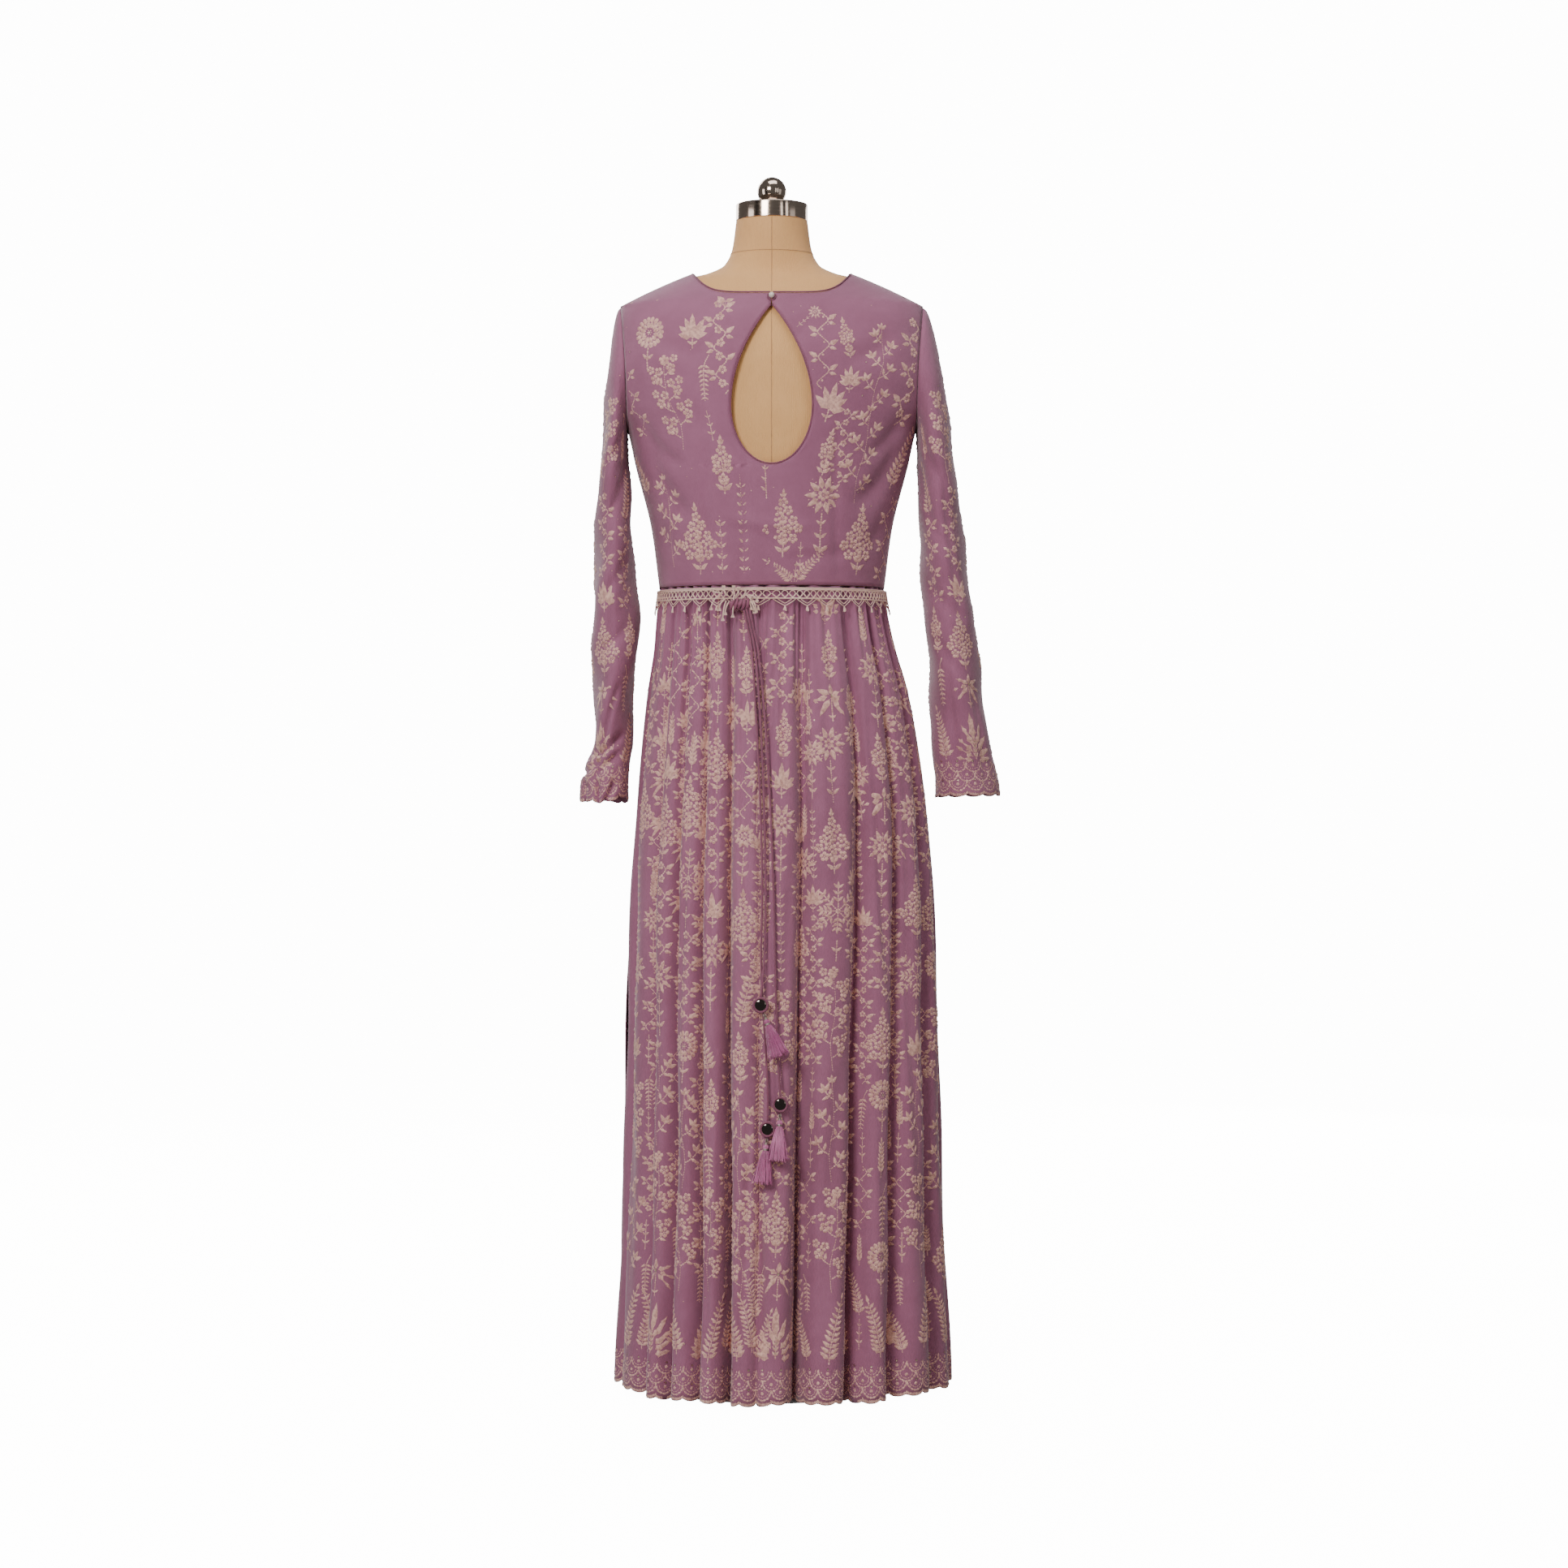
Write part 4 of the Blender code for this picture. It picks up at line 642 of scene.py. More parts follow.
def cloth_material(name, low, high, thread, bump, roughness, sheen, map_name="UVMap", mottle=0.35):
    """Woven cloth: its colour wanders between two near ones, and its threads stand up a little."""
    material, tree, shader = new_material(name, roughness, sheen=sheen)
    if map_name:
        place = add_node(tree, "ShaderNodeUVMap", uv_map=map_name).outputs[0]
    else:
        place = add_node(tree, "ShaderNodeTexCoord").outputs["Object"]
    ground = add_node(tree, "ShaderNodeGroup", node_tree=GROUND)
    tree.links.new(place, ground.inputs["Map"])
    ground.inputs["Thread"].default_value = thread
    broad = add_node(tree, "ShaderNodeTexNoise", {"Vector": place, "Scale": 5.0, "Detail": 3.0}).outputs[0]
    share = calc(tree, "ADD", calc(tree, "MULTIPLY", ground.outputs["Slubs"], mottle),
        calc(tree, "MULTIPLY", broad, 1 - mottle))
    spread = add_node(tree, "ShaderNodeMapRange", {0: share, 1: 0.32, 2: 0.68})
    mixed = blend_colours(tree, spread.outputs[0], (*low, 1), (*high, 1))
    tree.links.new(mixed, shader.inputs["Base Color"])
    relief = add_node(tree, "ShaderNodeBump", {"Height": ground.outputs["Height"], "Strength": bump,
        "Distance": 0.0004})
    tree.links.new(relief.outputs[0], shader.inputs["Normal"])
    return material


def stitch_material(name, low, high, thread, slant, roughness, bump=0.9, metallic=0.0):
    """Silky thread: fine slanting stitches that catch the light unevenly, painted into the colour as highlights on
    their crowns and shade between them.
    """
    material, tree, shader = new_material(name, roughness, metallic, 0.3)
    place = add_node(tree, "ShaderNodeUVMap", uv_map="UVMap").outputs[0]
    stitches = add_node(tree, "ShaderNodeGroup", node_tree=STITCHES)
    tree.links.new(place, stitches.inputs["Map"])
    stitches.inputs["Thread"].default_value = thread
    stitches.inputs["Slant"].default_value = slant
    # The thread's colour follows the painted shine (painted highlight on stitch crowns, painted shade between them),
    # mixed with the thread's own uneven clumps and drift.
    painted_shine = add_node(tree, "ShaderNodeMapRange", {0: stitches.outputs["Painted Shine"], 1: 0.05, 2: 0.42})
    where = add_node(tree, "ShaderNodeTexCoord").outputs["Object"]
    drift = add_node(tree, "ShaderNodeTexNoise", {"Vector": where, "Scale": 30.0, "Detail": 2.0}).outputs[0]
    clumps = add_node(tree, "ShaderNodeTexNoise", {"Vector": where, "Scale": 260.0, "Detail": 2.0}).outputs[0]
    loose = add_node(tree, "ShaderNodeMapRange", {0: clumps, 1: 0.36, 2: 0.6}).outputs[0]
    shine_and_clumps = calc(tree, "ADD", calc(tree, "MULTIPLY", painted_shine.outputs[0], 0.34), calc(tree, "MULTIPLY", loose, 0.46))
    share = calc(tree, "ADD", shine_and_clumps, calc(tree, "MULTIPLY", drift, 0.36))
    tree.links.new(blend_colours(tree, share, (*low, 1), (*high, 1)), shader.inputs["Base Color"])
    relief = add_node(tree, "ShaderNodeBump", {"Height": stitches.outputs["Height"], "Strength": bump,
        "Distance": 0.0003})
    tree.links.new(relief.outputs[0], shader.inputs["Normal"])
    return material


def metal_material(name, colour, dull, roughness, stretch):
    """Polished metal with faint brushing: stretch squeezes the noise along the object's height."""
    material, tree, shader = new_material(name, roughness, 1.0)
    place = add_node(tree, "ShaderNodeTexCoord").outputs["Object"]
    scaled = add_node(tree, "ShaderNodeMapping", {0: place, 3: stretch})
    lines = add_node(tree, "ShaderNodeTexNoise", {"Vector": scaled.outputs[0], "Scale": 60.0,
        "Detail": 3.0}).outputs[0]
    tree.links.new(blend_colours(tree, lines, (*dull, 1), (*colour, 1)), shader.inputs["Base Color"])
    rough = add_node(tree, "ShaderNodeMapRange", {0: lines, 3: roughness * 0.7, 4: roughness * 1.4})
    tree.links.new(rough.outputs[0], shader.inputs["Roughness"])
    return material


MAUVE = cloth_material("mauve crepe", (0.3, 0.102, 0.19), (0.385, 0.14, 0.255), 0.00055, 0.35, 0.78, 0.35)
# The binding is the gown's own mauve, coloured darker all over as painted shade of the turned roll; the button loop
# and the charm stitches use it too.
SHADED_BINDING = cloth_material("mauve binding", (0.19, 0.048, 0.095), (0.25, 0.068, 0.13), 0.0005, 0.5, 0.7, 0.3, None)
CANVAS = cloth_material("beige canvas", (0.79, 0.425, 0.165), (0.89, 0.505, 0.205), 0.0011, 0.5, 0.85, 0.2, None)
# The thread's dark low colour is mostly painted shade between the stitches.
THREAD = stitch_material("embroidery thread", (0.34, 0.11, 0.135), (0.98, 0.6, 0.5), 0.0016, 0.9, 0.5)
LACE = cloth_material("cream lace thread", (0.78, 0.5, 0.41), (1.0, 0.76, 0.65), 0.0006, 0.6, 0.65, 0.2, None, 0.7)
CORD = cloth_material("mauve cord cloth", (0.19, 0.05, 0.1), (0.29, 0.08, 0.155), 0.0006, 0.5, 0.6, 0.3, None)
SILK = cloth_material("orchid silk", (0.36, 0.06, 0.21), (0.72, 0.22, 0.48), 0.0007, 0.3, 0.32, 0.5, None, 0.8)
SILVER = metal_material("silver thread", (0.58, 0.5, 0.44), (0.34, 0.29, 0.26), 0.45, (1, 1, 1))
SEQUIN = metal_material("sequin", (0.9, 0.7, 0.52), (0.62, 0.46, 0.34), 0.38, (1, 1, 1))
MIRROR = metal_material("mirror glass", (0.17, 0.14, 0.125), (0.12, 0.1, 0.092), 0.06, (1, 1, 1))
CHROME = metal_material("chrome", (0.7, 0.58, 0.49), (0.54, 0.43, 0.36), 0.12, (1, 1, 14))
STEEL = metal_material("stand steel", (0.62, 0.61, 0.6), (0.48, 0.47, 0.46), 0.38, (1, 1, 9))


def pearl_material():
    """Nacre: a soft coat whose tint wanders in slow bands."""
    material, tree, shader = new_material("pearl", 0.22)
    place = add_node(tree, "ShaderNodeTexCoord").outputs["Object"]
    bands = add_node(tree, "ShaderNodeTexNoise", {"Vector": place, "Scale": 180.0, "Detail": 2.0, "Distortion": 1.5})
    tint = blend_colours(tree, bands.outputs[0], (0.74, 0.6, 0.56, 1), (0.88, 0.8, 0.72, 1))
    tree.links.new(tint, shader.inputs["Base Color"])
    shader.inputs["Coat Weight"].default_value = 0.6
    return material


PEARL = pearl_material()
print("materials:", len(bpy.data.materials), "shared effects:", len(bpy.data.node_groups))

# %% [markdown]
# ## Meshes from arrays
# Cloth is built as a grid and given its thickness by one modifier on the inner side. A grid of
# quads shades softly, and the thickness follows every crease. Modelling the inner side as well
# would double the work for the same look.


# %% Mesh builders
def build(name, points, faces, material, map_values=None, parts=None, materials=None, smooth=True):
    """One object from arrays; map_values gives each vertex its place on the flat cloth, in metres."""
    name = name.replace(" ", "_")
    mesh = bpy.data.meshes.new(name)
    mesh.from_pydata(np.asarray(points, float).reshape(-1, 3).tolist(), [], [list(f) for f in faces])
    if map_values is not None:
        layer = mesh.uv_layers.new(name="UVMap")
        corner = np.empty(len(mesh.loops), dtype=np.int32)
        mesh.loops.foreach_get("vertex_index", corner)
        layer.data.foreach_set("uv", np.asarray(map_values, float)[corner].ravel())
    for entry in materials or [material]:
        mesh.materials.append(entry)
    if parts is not None:
        mesh.polygons.foreach_set("material_index", np.asarray(parts, dtype=np.int32))
    mesh.polygons.foreach_set("use_smooth", [smooth] * len(mesh.polygons))
    mesh.update()
    thing = bpy.data.objects.new(name, mesh)
    bpy.context.scene.collection.objects.link(thing)
    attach(thing, "root")
    return thing


def grid_faces(rows, columns, flip=False, closed=False):
    j, i = np.meshgrid(np.arange(rows - 1), np.arange(columns - (0 if closed else 1)), indexing="ij")
    a, b = j * columns + i, j * columns + (i + 1) % columns
    quads = np.stack([a, b, b + columns, a + columns], axis=-1).reshape(-1, 4)
    return quads[:, ::-1] if flip else quads


def thicken(thing, thickness=CLOTH):
    modifier = thing.modifiers.new("thickness", "SOLIDIFY")
    modifier.thickness = thickness
    modifier.offset = -1.0
    modifier.use_even_offset = False
    return thing


def flat_area(thing):
    return sum(face.area for face in thing.data.polygons)


# %% [markdown]
# ## Skirt cloth
# The back and the front are one grid each, from side seam to side seam. The hem is cut in small
# round scallops, so the last rows are drawn down to a wavy edge. Columns are placed evenly in
# each fold, which puts most of them where the cloth turns.

# %% Skirt cloth
SCALLOP_PITCH, SCALLOP_DEPTH = 0.0225, 0.0046


def hem_sway(cloth, across):
    """The hem hangs a little lower on some folds than on others."""
    if cloth.name == "left sleeve":
        return 0.003 * (1 + np.sin(2 * across + 0.5)) + 0.0016 * (1 + np.sin(5 * across))
    if cloth.name == "right sleeve":
        return 0.0012 * (1 + np.sin(across + 2.2))
    return 0.0014 * (1 + np.sin(2.3 * across + 0.8)) + 0.001 * (1 + np.sin(5.9 * across))


def hem_drop(along):
    """How far the scalloped edge lies above its lowest line at a distance along the hem."""
    share = np.mod(along / SCALLOP_PITCH, 1.0)
    return SCALLOP_DEPTH * (1 - np.sqrt(np.clip(1 - (2 * share - 1) ** 2, 0, 1)))


def edge_of(cloth, low):
    """Where a scalloped edge starts and ends on a cloth, its pitch, and how many scallops it has."""
    first, last = cloth.across[0], cloth.across[-1]
    if "sleeve" in cloth.name:
        first, last = -np.pi, np.pi
    ends = cloth.arc_at(np.array([first, last]), np.full(2, low + 0.004))
    girth = float(ends[1] - ends[0])
    count = round(girth / SCALLOP_PITCH)
    return first, last, girth / count, count


def edge_rise(cloth, across, low):
    """How far the cloth's edge lies above its lowest line at places across."""
    first, _, pitch, _ = edge_of(cloth, low)
    level = np.full(len(across), low + 0.004)
    along = cloth.arc_at(across, level) - cloth.arc_at(np.full(len(across), first), level)
    return hem_drop(along / pitch * SCALLOP_PITCH) + hem_sway(cloth, across)


def skirt_half(name, cloth, first, last, columns_per_fold=36, rows=112):
    folds = last - first
    fold = np.linspace(first, last, int(folds * columns_per_fold) + 1)
    middle = (first + last) / 2
    seam_share = 0.5 * SEAM_GAP / 0.055
    fold = middle + (fold - middle) * (1 - 2 * seam_share / folds)
    fall = np.linspace(0, 1, rows)
    fall = 0.86 * fall + 0.14 * fall**2
    top, low = WAIST_Z - SEAM_GAP, HEM_Z
    grid_fold, grid_fall = np.meshgrid(fold, fall)
    edge = edge_rise(cloth, fold, HEM_Z)
    z = top + (low - top) * grid_fall + edge[None, :] * soft_step(0.93, 1.0, grid_fall)
    points = skirt_surface(grid_fold, z)
    places = np.stack([cloth.arc_at(grid_fold, z), z], axis=-1).reshape(-1, 2)
    thing = build(name, points, grid_faces(rows, len(fold), flip=True), MAUVE, places)
    return thicken(thing)


skirt_back = skirt_half("skirt back cloth", GOWN["skirt back"], FIRST_BACK_FOLD, FIRST_FRONT_FOLD)
skirt_front = skirt_half("skirt front cloth", GOWN["skirt front"], FIRST_FRONT_FOLD, FOLDS - 0.5)
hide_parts("skirt_back")
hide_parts("skirt_front")
print("skirt cloth:", round(flat_area(skirt_back), 3), "and", round(flat_area(skirt_front), 3), "m2")

# %% [markdown]
# ## Bodice cloth
# Each panel is a grid from its middle to its side and from the waist to the shoulder line. The
# back's middle column parts round the keyhole. Rows crowd towards the keyhole's bottom and the
# shoulder, where the edge turns fastest.


# %% Bodice cloth
def bodice_panel(name, side, columns=46):
    split = (KEYHOLE_BOTTOM_Z - WAIST_Z) / (NECK_LINE[-1][0] - WAIST_Z) if side < 0 else 0.4
    upper = split + (1 - split) * (1 - np.cos(np.pi * np.arange(1, 71) / 70)) / 2
    v = np.concatenate([np.linspace(0, split, 30), upper])
    u = np.linspace(0, 1, columns)
    u[np.argmin(np.abs(u - NECK_X / SHOULDER_X))] = NECK_X / SHOULDER_X
    grid_u, grid_v = np.meshgrid(u, v)
    x, z = bodice_place(grid_u, grid_v, side)
    cloth = GOWN["bodice back" if side < 0 else "bodice front"]
    points, places, index = [], [], {}
    faces = []
    for half in (-1, 1):
        surface = bodice_surface(np.maximum(x, 1e-7) * half, z, side)
        surface[..., 1] = side * np.maximum(side * surface[..., 1], SEAM_GAP / 2)
        across = np.arcsin(np.clip(x / bodice_half_width(z), 0, 1)) * 2 / np.pi * half
        along = cloth.arc_at(across, z)
        number = np.empty(x.shape, dtype=int)
        for j in range(len(v)):
            for i in range(columns):
                shared = i == 0 and not (side < 0 and z[j, 0] > KEYHOLE_BOTTOM_Z + 1e-6)
                key = (0 if shared else half, i, j)
                if key not in index:
                    index[key] = len(points)
                    points.append(surface[j, i])
                    places.append((along[j, i], z[j, i]))
                number[j, i] = index[key]
        quads = np.stack([number[:-1, :-1], number[:-1, 1:], number[1:, 1:], number[1:, :-1]], axis=-1).reshape(-1, 4)
        faces += [q if half * side < 0 else q[::-1] for q in quads]
    thing = build(name, points, faces, MAUVE, places)
    return thicken(thing)


bodice_back = bodice_panel("bodice back cloth", -1)
bodice_front = bodice_panel("bodice front cloth", 1)
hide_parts("bodice_back")
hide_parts("bodice_front")
print("bodice cloth:", round(flat_area(bodice_back), 3), "and", round(flat_area(bodice_front), 3), "m2")

# %% [markdown]
# ## Sleeve cloth
# A sleeve is a tube of rings. Its first ring is the armhole itself, so the set-in seam follows the
# bodice, and its last ring is a scalloped cuff like the hem.


# %% Sleeve cloth
def sleeve_cloth(name, half, columns=72, rows=112):
    angle = 2 * np.pi * np.arange(columns) / columns - np.pi
    share = np.linspace(0, 1, rows) ** 1.15
    grid_angle, grid_share = np.meshgrid(angle, share)
    start = sleeve_start_z(grid_angle)
    cuff = CUFF_Z[half]
    cloth = GOWN["left sleeve" if half < 0 else "right sleeve"]
    edge = edge_rise(cloth, angle, cuff)
    z = start + (cuff - start) * grid_share + edge[None, :] * soft_step(0.96, 1.0, grid_share)
    points = sleeve_surface(grid_angle, z, half)
    places = np.stack([grid_angle * 0.045, z], axis=-1).reshape(-1, 2)
    thing = build(name, points, grid_faces(rows, columns, flip=half > 0, closed=True), MAUVE, places)
    return thicken(thing)


sleeve_left = sleeve_cloth("left sleeve cloth", -1)
sleeve_right = sleeve_cloth("right sleeve cloth", 1)
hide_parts("sleeve_left")
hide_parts("sleeve_right")
print("sleeve cloth:", round(flat_area(sleeve_left), 3), "and", round(flat_area(sleeve_right), 3), "m2")

# %% [markdown]
# ## Threads along paths
# Piping, lace, loops, links and silk strands are all round threads along a path. One Geometry
# Nodes tree turns plain edges into tubes, so that each of them needs only its centre line.


# %% Threads along paths
def thread_tree():
    tree = bpy.data.node_groups.new("threads along edges", "GeometryNodeTree")
    face = tree.interface
    face.new_socket("Geometry", in_out="INPUT", socket_type="NodeSocketGeometry")
    for title, value in (("Thread Radius", 0.0005), ("Sides", 6)):
        kind = "NodeSocketInt" if title == "Sides" else "NodeSocketFloat"
        face.new_socket(title, in_out="INPUT", socket_type=kind).default_value = value
    face.new_socket("Material", in_out="INPUT", socket_type="NodeSocketMaterial")
    face.new_socket("Geometry", in_out="OUTPUT", socket_type="NodeSocketGeometry")
    given, result = tree.nodes.new("NodeGroupInput"), tree.nodes.new("NodeGroupOutput")
    line = add_node(tree, "GeometryNodeMeshToCurve", {"Mesh": given.outputs["Geometry"]})
    ring = add_node(tree, "GeometryNodeCurvePrimitiveCircle", {"Resolution": given.outputs["Sides"]})
    tree.links.new(given.outputs["Thread Radius"], ring.inputs["Radius"])
    tube = add_node(tree, "GeometryNodeCurveToMesh", {"Curve": line.outputs[0], "Profile Curve": ring.outputs[0]})
    tube.inputs["Fill Caps"].default_value = True
    smooth = add_node(tree, "GeometryNodeSetShadeSmooth", {0: tube.outputs[0]})
    painted = add_node(tree, "GeometryNodeSetMaterial", {0: smooth.outputs[0]})
    tree.links.new(given.outputs["Material"], painted.inputs["Material"])
    tree.links.new(painted.outputs[0], result.inputs["Geometry"])
    return tree


THREADS = thread_tree()


def baked(thing):
    """The evaluated mesh takes the place of the edges and their modifier."""
    graph = bpy.context.evaluated_depsgraph_get()
    mesh = bpy.data.meshes.new_from_object(thing.evaluated_get(graph))
    thing.modifiers.clear()
    thing.data = mesh
    return thing


def threads(name, paths, radius, material, sides=6):
    """Round threads of one radius along the given lists of points; a path that ends where it starts is closed."""
    name = name.replace(" ", "_")
    points, edges = [], []
    for path in paths:
        path = np.asarray(path, float)
        closed = np.linalg.norm(path[0] - path[-1]) < 1e-6
        path = path[:-1] if closed else path
        base = len(points)
        points += path.tolist()
        edges += [(base + k, base + k + 1) for k in range(len(path) - 1)]
        if closed:
            edges.append((base + len(path) - 1, base))
    mesh = bpy.data.meshes.new(name)
    mesh.from_pydata(points, edges, [])
    thing = bpy.data.objects.new(name, mesh)
    bpy.context.scene.collection.objects.link(thing)
    modifier = thing.modifiers.new("threads", "NODES")
    modifier.node_group = THREADS
    values = {"Thread Radius": radius, "Sides": sides, "Material": material}
    for item in THREADS.interface.items_tree:
        if item.in_out == "INPUT" and item.name in values:
            modifier[item.identifier] = values[item.name]
    baked(thing)
    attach(thing, "root")
    return thing


def rounded(path, step):
    """Points about this far apart on a smooth curve through a path's points."""
    path = [Vector(p) for p in path]
    ends = [path[0] * 2 - path[1]] + path + [path[-1] * 2 - path[-2]]
    route = []
    for a, b, c, d in zip(ends, ends[1:], ends[2:], ends[3:]):
        count = max(1, round((c - b).length / step))
        for k in range(count):
            t = k / count
            square, cube = 2 * a - 5 * b + 4 * c - d, 3 * b - a - 3 * c + d
            route.append(0.5 * (2 * b + (c - a) * t + square * t * t + cube * t**3))
    return [tuple(p) for p in route] + [tuple(path[-1])]


# %% [markdown]
# ## Piping, pearl and loop
# The neckline and the keyhole are bound with a narrow roll of the gown's own cloth, coloured darker all over as
# painted shade where the roll turns. The two top corners of the keyhole meet under one pearl, held by a thread loop.

# %% Piping, pearl and loop
PIPING_RADIUS = 0.0011


def edge_points(u, v, side, half):
    x, z = bodice_place(np.asarray(u, float), np.asarray(v, float), side)
    point = bodice_surface(np.maximum(x, 1e-7) * half, z, side)
    point[..., 1] = side * np.maximum(side * point[..., 1], 0.0)
    return point


above_keyhole = 1 - (KEYHOLE_BOTTOM_Z - WAIST_Z) / (NECK_LINE[-1][0] - WAIST_Z)
rows = 1 - above_keyhole * (1 + np.cos(np.pi * np.arange(61) / 60)) / 2
keyhole_right = edge_points(np.zeros(61), rows, -1, 1)
keyhole_left = edge_points(np.zeros(61), rows, -1, -1)
top = int(np.argmax(rows > 0.965))
keyhole_path = np.concatenate([keyhole_left[1:top][::-1], keyhole_right[:top]])
inward = np.array([0.0, 0.0, 1.215]) - keyhole_path
inward[:, 1] = 0
keyhole_path = keyhole_path + unit(inward) * 0.0012 + np.array([0, 0.0004, 0])
keyhole_roll = threads("keyhole piping roll", [keyhole_path], PIPING_RADIUS, SHADED_BINDING, 8)
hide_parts("keyhole_piping")

corner = NECK_X / SHOULDER_X
u_half = np.linspace(0.004, corner, 30)
back_right = edge_points(u_half, np.ones(30), -1, 1) + np.array([0, 0, 0.0012])
back_left = edge_points(u_half, np.ones(30), -1, -1) + np.array([0, 0, 0.0012])
front_run = [edge_points(u_half[::-1], np.ones(30), 1, -1), edge_points(u_half[1:], np.ones(29), 1, 1)]
front_run = np.concatenate(front_run) + np.array([0, -0.0003, 0.0012])
neck_path = np.concatenate([back_left, front_run, back_right[::-1]])
neck_roll = threads("neckline piping roll", [neck_path], PIPING_RADIUS * 0.9, SHADED_BINDING, 8)
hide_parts("neck_piping")


def lathe(name, profile, sides, material, place=(0, 0, 0), along="Z"):
    """A turned form from (radius, height) pairs, from its bottom to its top, closed at both ends."""
    profile = [(max(r, 0.0), h) for r, h in profile]
    points, faces = [], []
    for r, h in profile[1:-1]:
        for k in range(sides):
            a = 2 * math.pi * k / sides
            points.append((r * math.cos(a), r * math.sin(a), h))
    count = len(profile) - 2
    faces += [tuple(q) for q in grid_faces(count, sides, closed=True)]
    low, high = len(points), len(points) + 1
    points += [(0, 0, profile[0][1]), (0, 0, profile[-1][1])]
    faces += [(low, (k + 1) % sides, k) for k in range(sides)]
    last = (count - 1) * sides
    faces += [(high, last + k, last + (k + 1) % sides) for k in range(sides)]
    points = np.array(points, float)
    if along == "-Y":
        points = np.stack([points[:, 0], -points[:, 2], points[:, 1]], axis=-1)
    thing = build(name, points + np.array(place), faces, material)
    thing.data.set_sharp_from_angle(angle=math.radians(42))
    return thing


def on_back(x, z, lift):
    point, out = bodice_form(np.array([x]), np.array([z]), -1)
    return (point + out * lift)[0]


BUTTON_RADIUS = 0.0036
button_place = on_back(1e-6, NECK_LINE[-1][0] - 0.0055, SEAM_GAP + BUTTON_RADIUS)
ball = [(BUTTON_RADIUS * math.cos(math.radians(a)), BUTTON_RADIUS * math.sin(math.radians(a)))
    for a in range(-90, 91, 12)]
pearl = lathe("pearl button", ball, 24, PEARL, button_place)
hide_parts("neck_button")
loop_middle = on_back(1e-6, NECK_LINE[-1][0] - 0.0055, 0.0016)
loop_path = []
for k in range(25):
    turn = math.radians(150 + 240 * k / 24)
    reach = BUTTON_RADIUS + 0.0013
    loop_path.append(loop_middle + np.array([math.cos(turn) * reach, 0.25 * math.sin(turn) * reach,
        math.sin(turn) * reach]))
button_loop = threads("button loop thread", [loop_path], 0.0008, SHADED_BINDING, 8)
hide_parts("button_loop")
print("piping lengths:", len(keyhole_path), "and", len(neck_path), "points")

# %% [markdown]
# ## Lace belt
# The belt is crochet: two edge cords, a chain of small rings between them, and a row of pointed
# loops below with a tiny drop on each point. The unit repeats thirty-six times round the waist and
# is bent to the outline, as real lace would be eased round it. A flat band with a cut-out picture
# of lace would show no thickness.

# %% Lace belt
LACE_TOP_Z, LACE_BOTTOM_Z, LACE_STAND_OFF = 0.9745, 0.9605, 0.0012
PITCHES = 36


def belt_points(turn, z, lift):
    """Points over the belt's outline: turn counts pitches round the waist from +X."""
    angle = 2 * np.pi * np.asarray(turn, float) / PITCHES
    point, out = skirt_outline(angle, np.asarray(z, float))
    return point + out * (LACE_STAND_OFF + np.asarray(lift, float))[..., None]


def lace_paths(first, last):
    cords, loops, drops = [], [], []
    run = np.linspace(first + 0.03, last - 0.03, 8 * (last - first))
    for z, lift in ((LACE_TOP_Z - 0.0006, 0.0006), (LACE_TOP_Z - 0.0024, 0.0004), (LACE_BOTTOM_Z + 0.001, 0.0006)):
        cords.append(belt_points(run, z + 0 * run, lift + 0 * run))
    ring_turn = np.linspace(0, 2 * np.pi, 11)
    for pitch in range(first, last):
        for k in range(3):
            middle = pitch + (k + 0.5) / 3
            across = middle + 0.135 * np.cos(ring_turn)
            height = 0.9672 + 0.0038 * np.sin(ring_turn)
            loops.append(belt_points(across, height, 0.0005 + 0 * across))
            across = middle + np.array([-1, -0.5, 0.0]) / 6
            loops.append(belt_points(across, np.array([0.9672, 0.9655, 0.9618]), 0.0004 + 0 * across))
            loops.append(belt_points(middle + np.array([1, 0.5, 0.0]) / 6, np.array([0.9672, 0.9655, 0.9618]),
                0.0004 + 0 * across))
        share = np.array([0.04, 0.14, 0.27, 0.4, 0.5, 0.6, 0.73, 0.86, 0.96])
        fall = np.array([0.0, 0.0022, 0.0046, 0.0068, 0.008, 0.0068, 0.0046, 0.0022, 0.0])
        loops.append(belt_points(pitch + share, LACE_BOTTOM_Z - fall, 0.0006 + 0 * share))
        inner = 0.5 + (share - 0.5) * 0.62
        loops.append(belt_points(pitch + inner, LACE_BOTTOM_Z - fall * 0.62, 0.0004 + 0 * share))
        for k in range(5):
            lean = (k - 2) * 0.035 + random.uniform(-0.01, 0.01)
            down = np.array([0.0078, 0.011, 0.014 + random.uniform(-0.001, 0.001)])
            drops.append(belt_points(pitch + 0.5 + lean * np.array([0.0, 0.6, 1.0]), LACE_BOTTOM_Z - down,
                np.array([0.0008, 0.0012, 0.001])))
    return cords, loops, drops


def lace_half(name, first, last, node):
    cords, loops, drops = lace_paths(first, last)
    band = threads(name + " edge cords", cords, 0.0009, LACE, 6)
    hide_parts(node)
    chain = threads(name + " chain loops", loops, 0.00052, LACE, 5)
    tips = threads(name + " drops", drops, 0.00055, LACE, 4)
    return [band, chain, tips]


lace_front = lace_half("lace front", 0, 18, "lace_front")
lace_back = lace_half("lace back", 18, 36, "lace_back")
print("lace pitches:", PITCHES)

# %% [markdown]
# ## Tie cords
# The waist tie leaves its knot as one bundle and falls as three cloth cords of unequal length,
# which rest on the fold tops. Each is a tube with a slow twist, because the seam of such a cord
# winds round it.

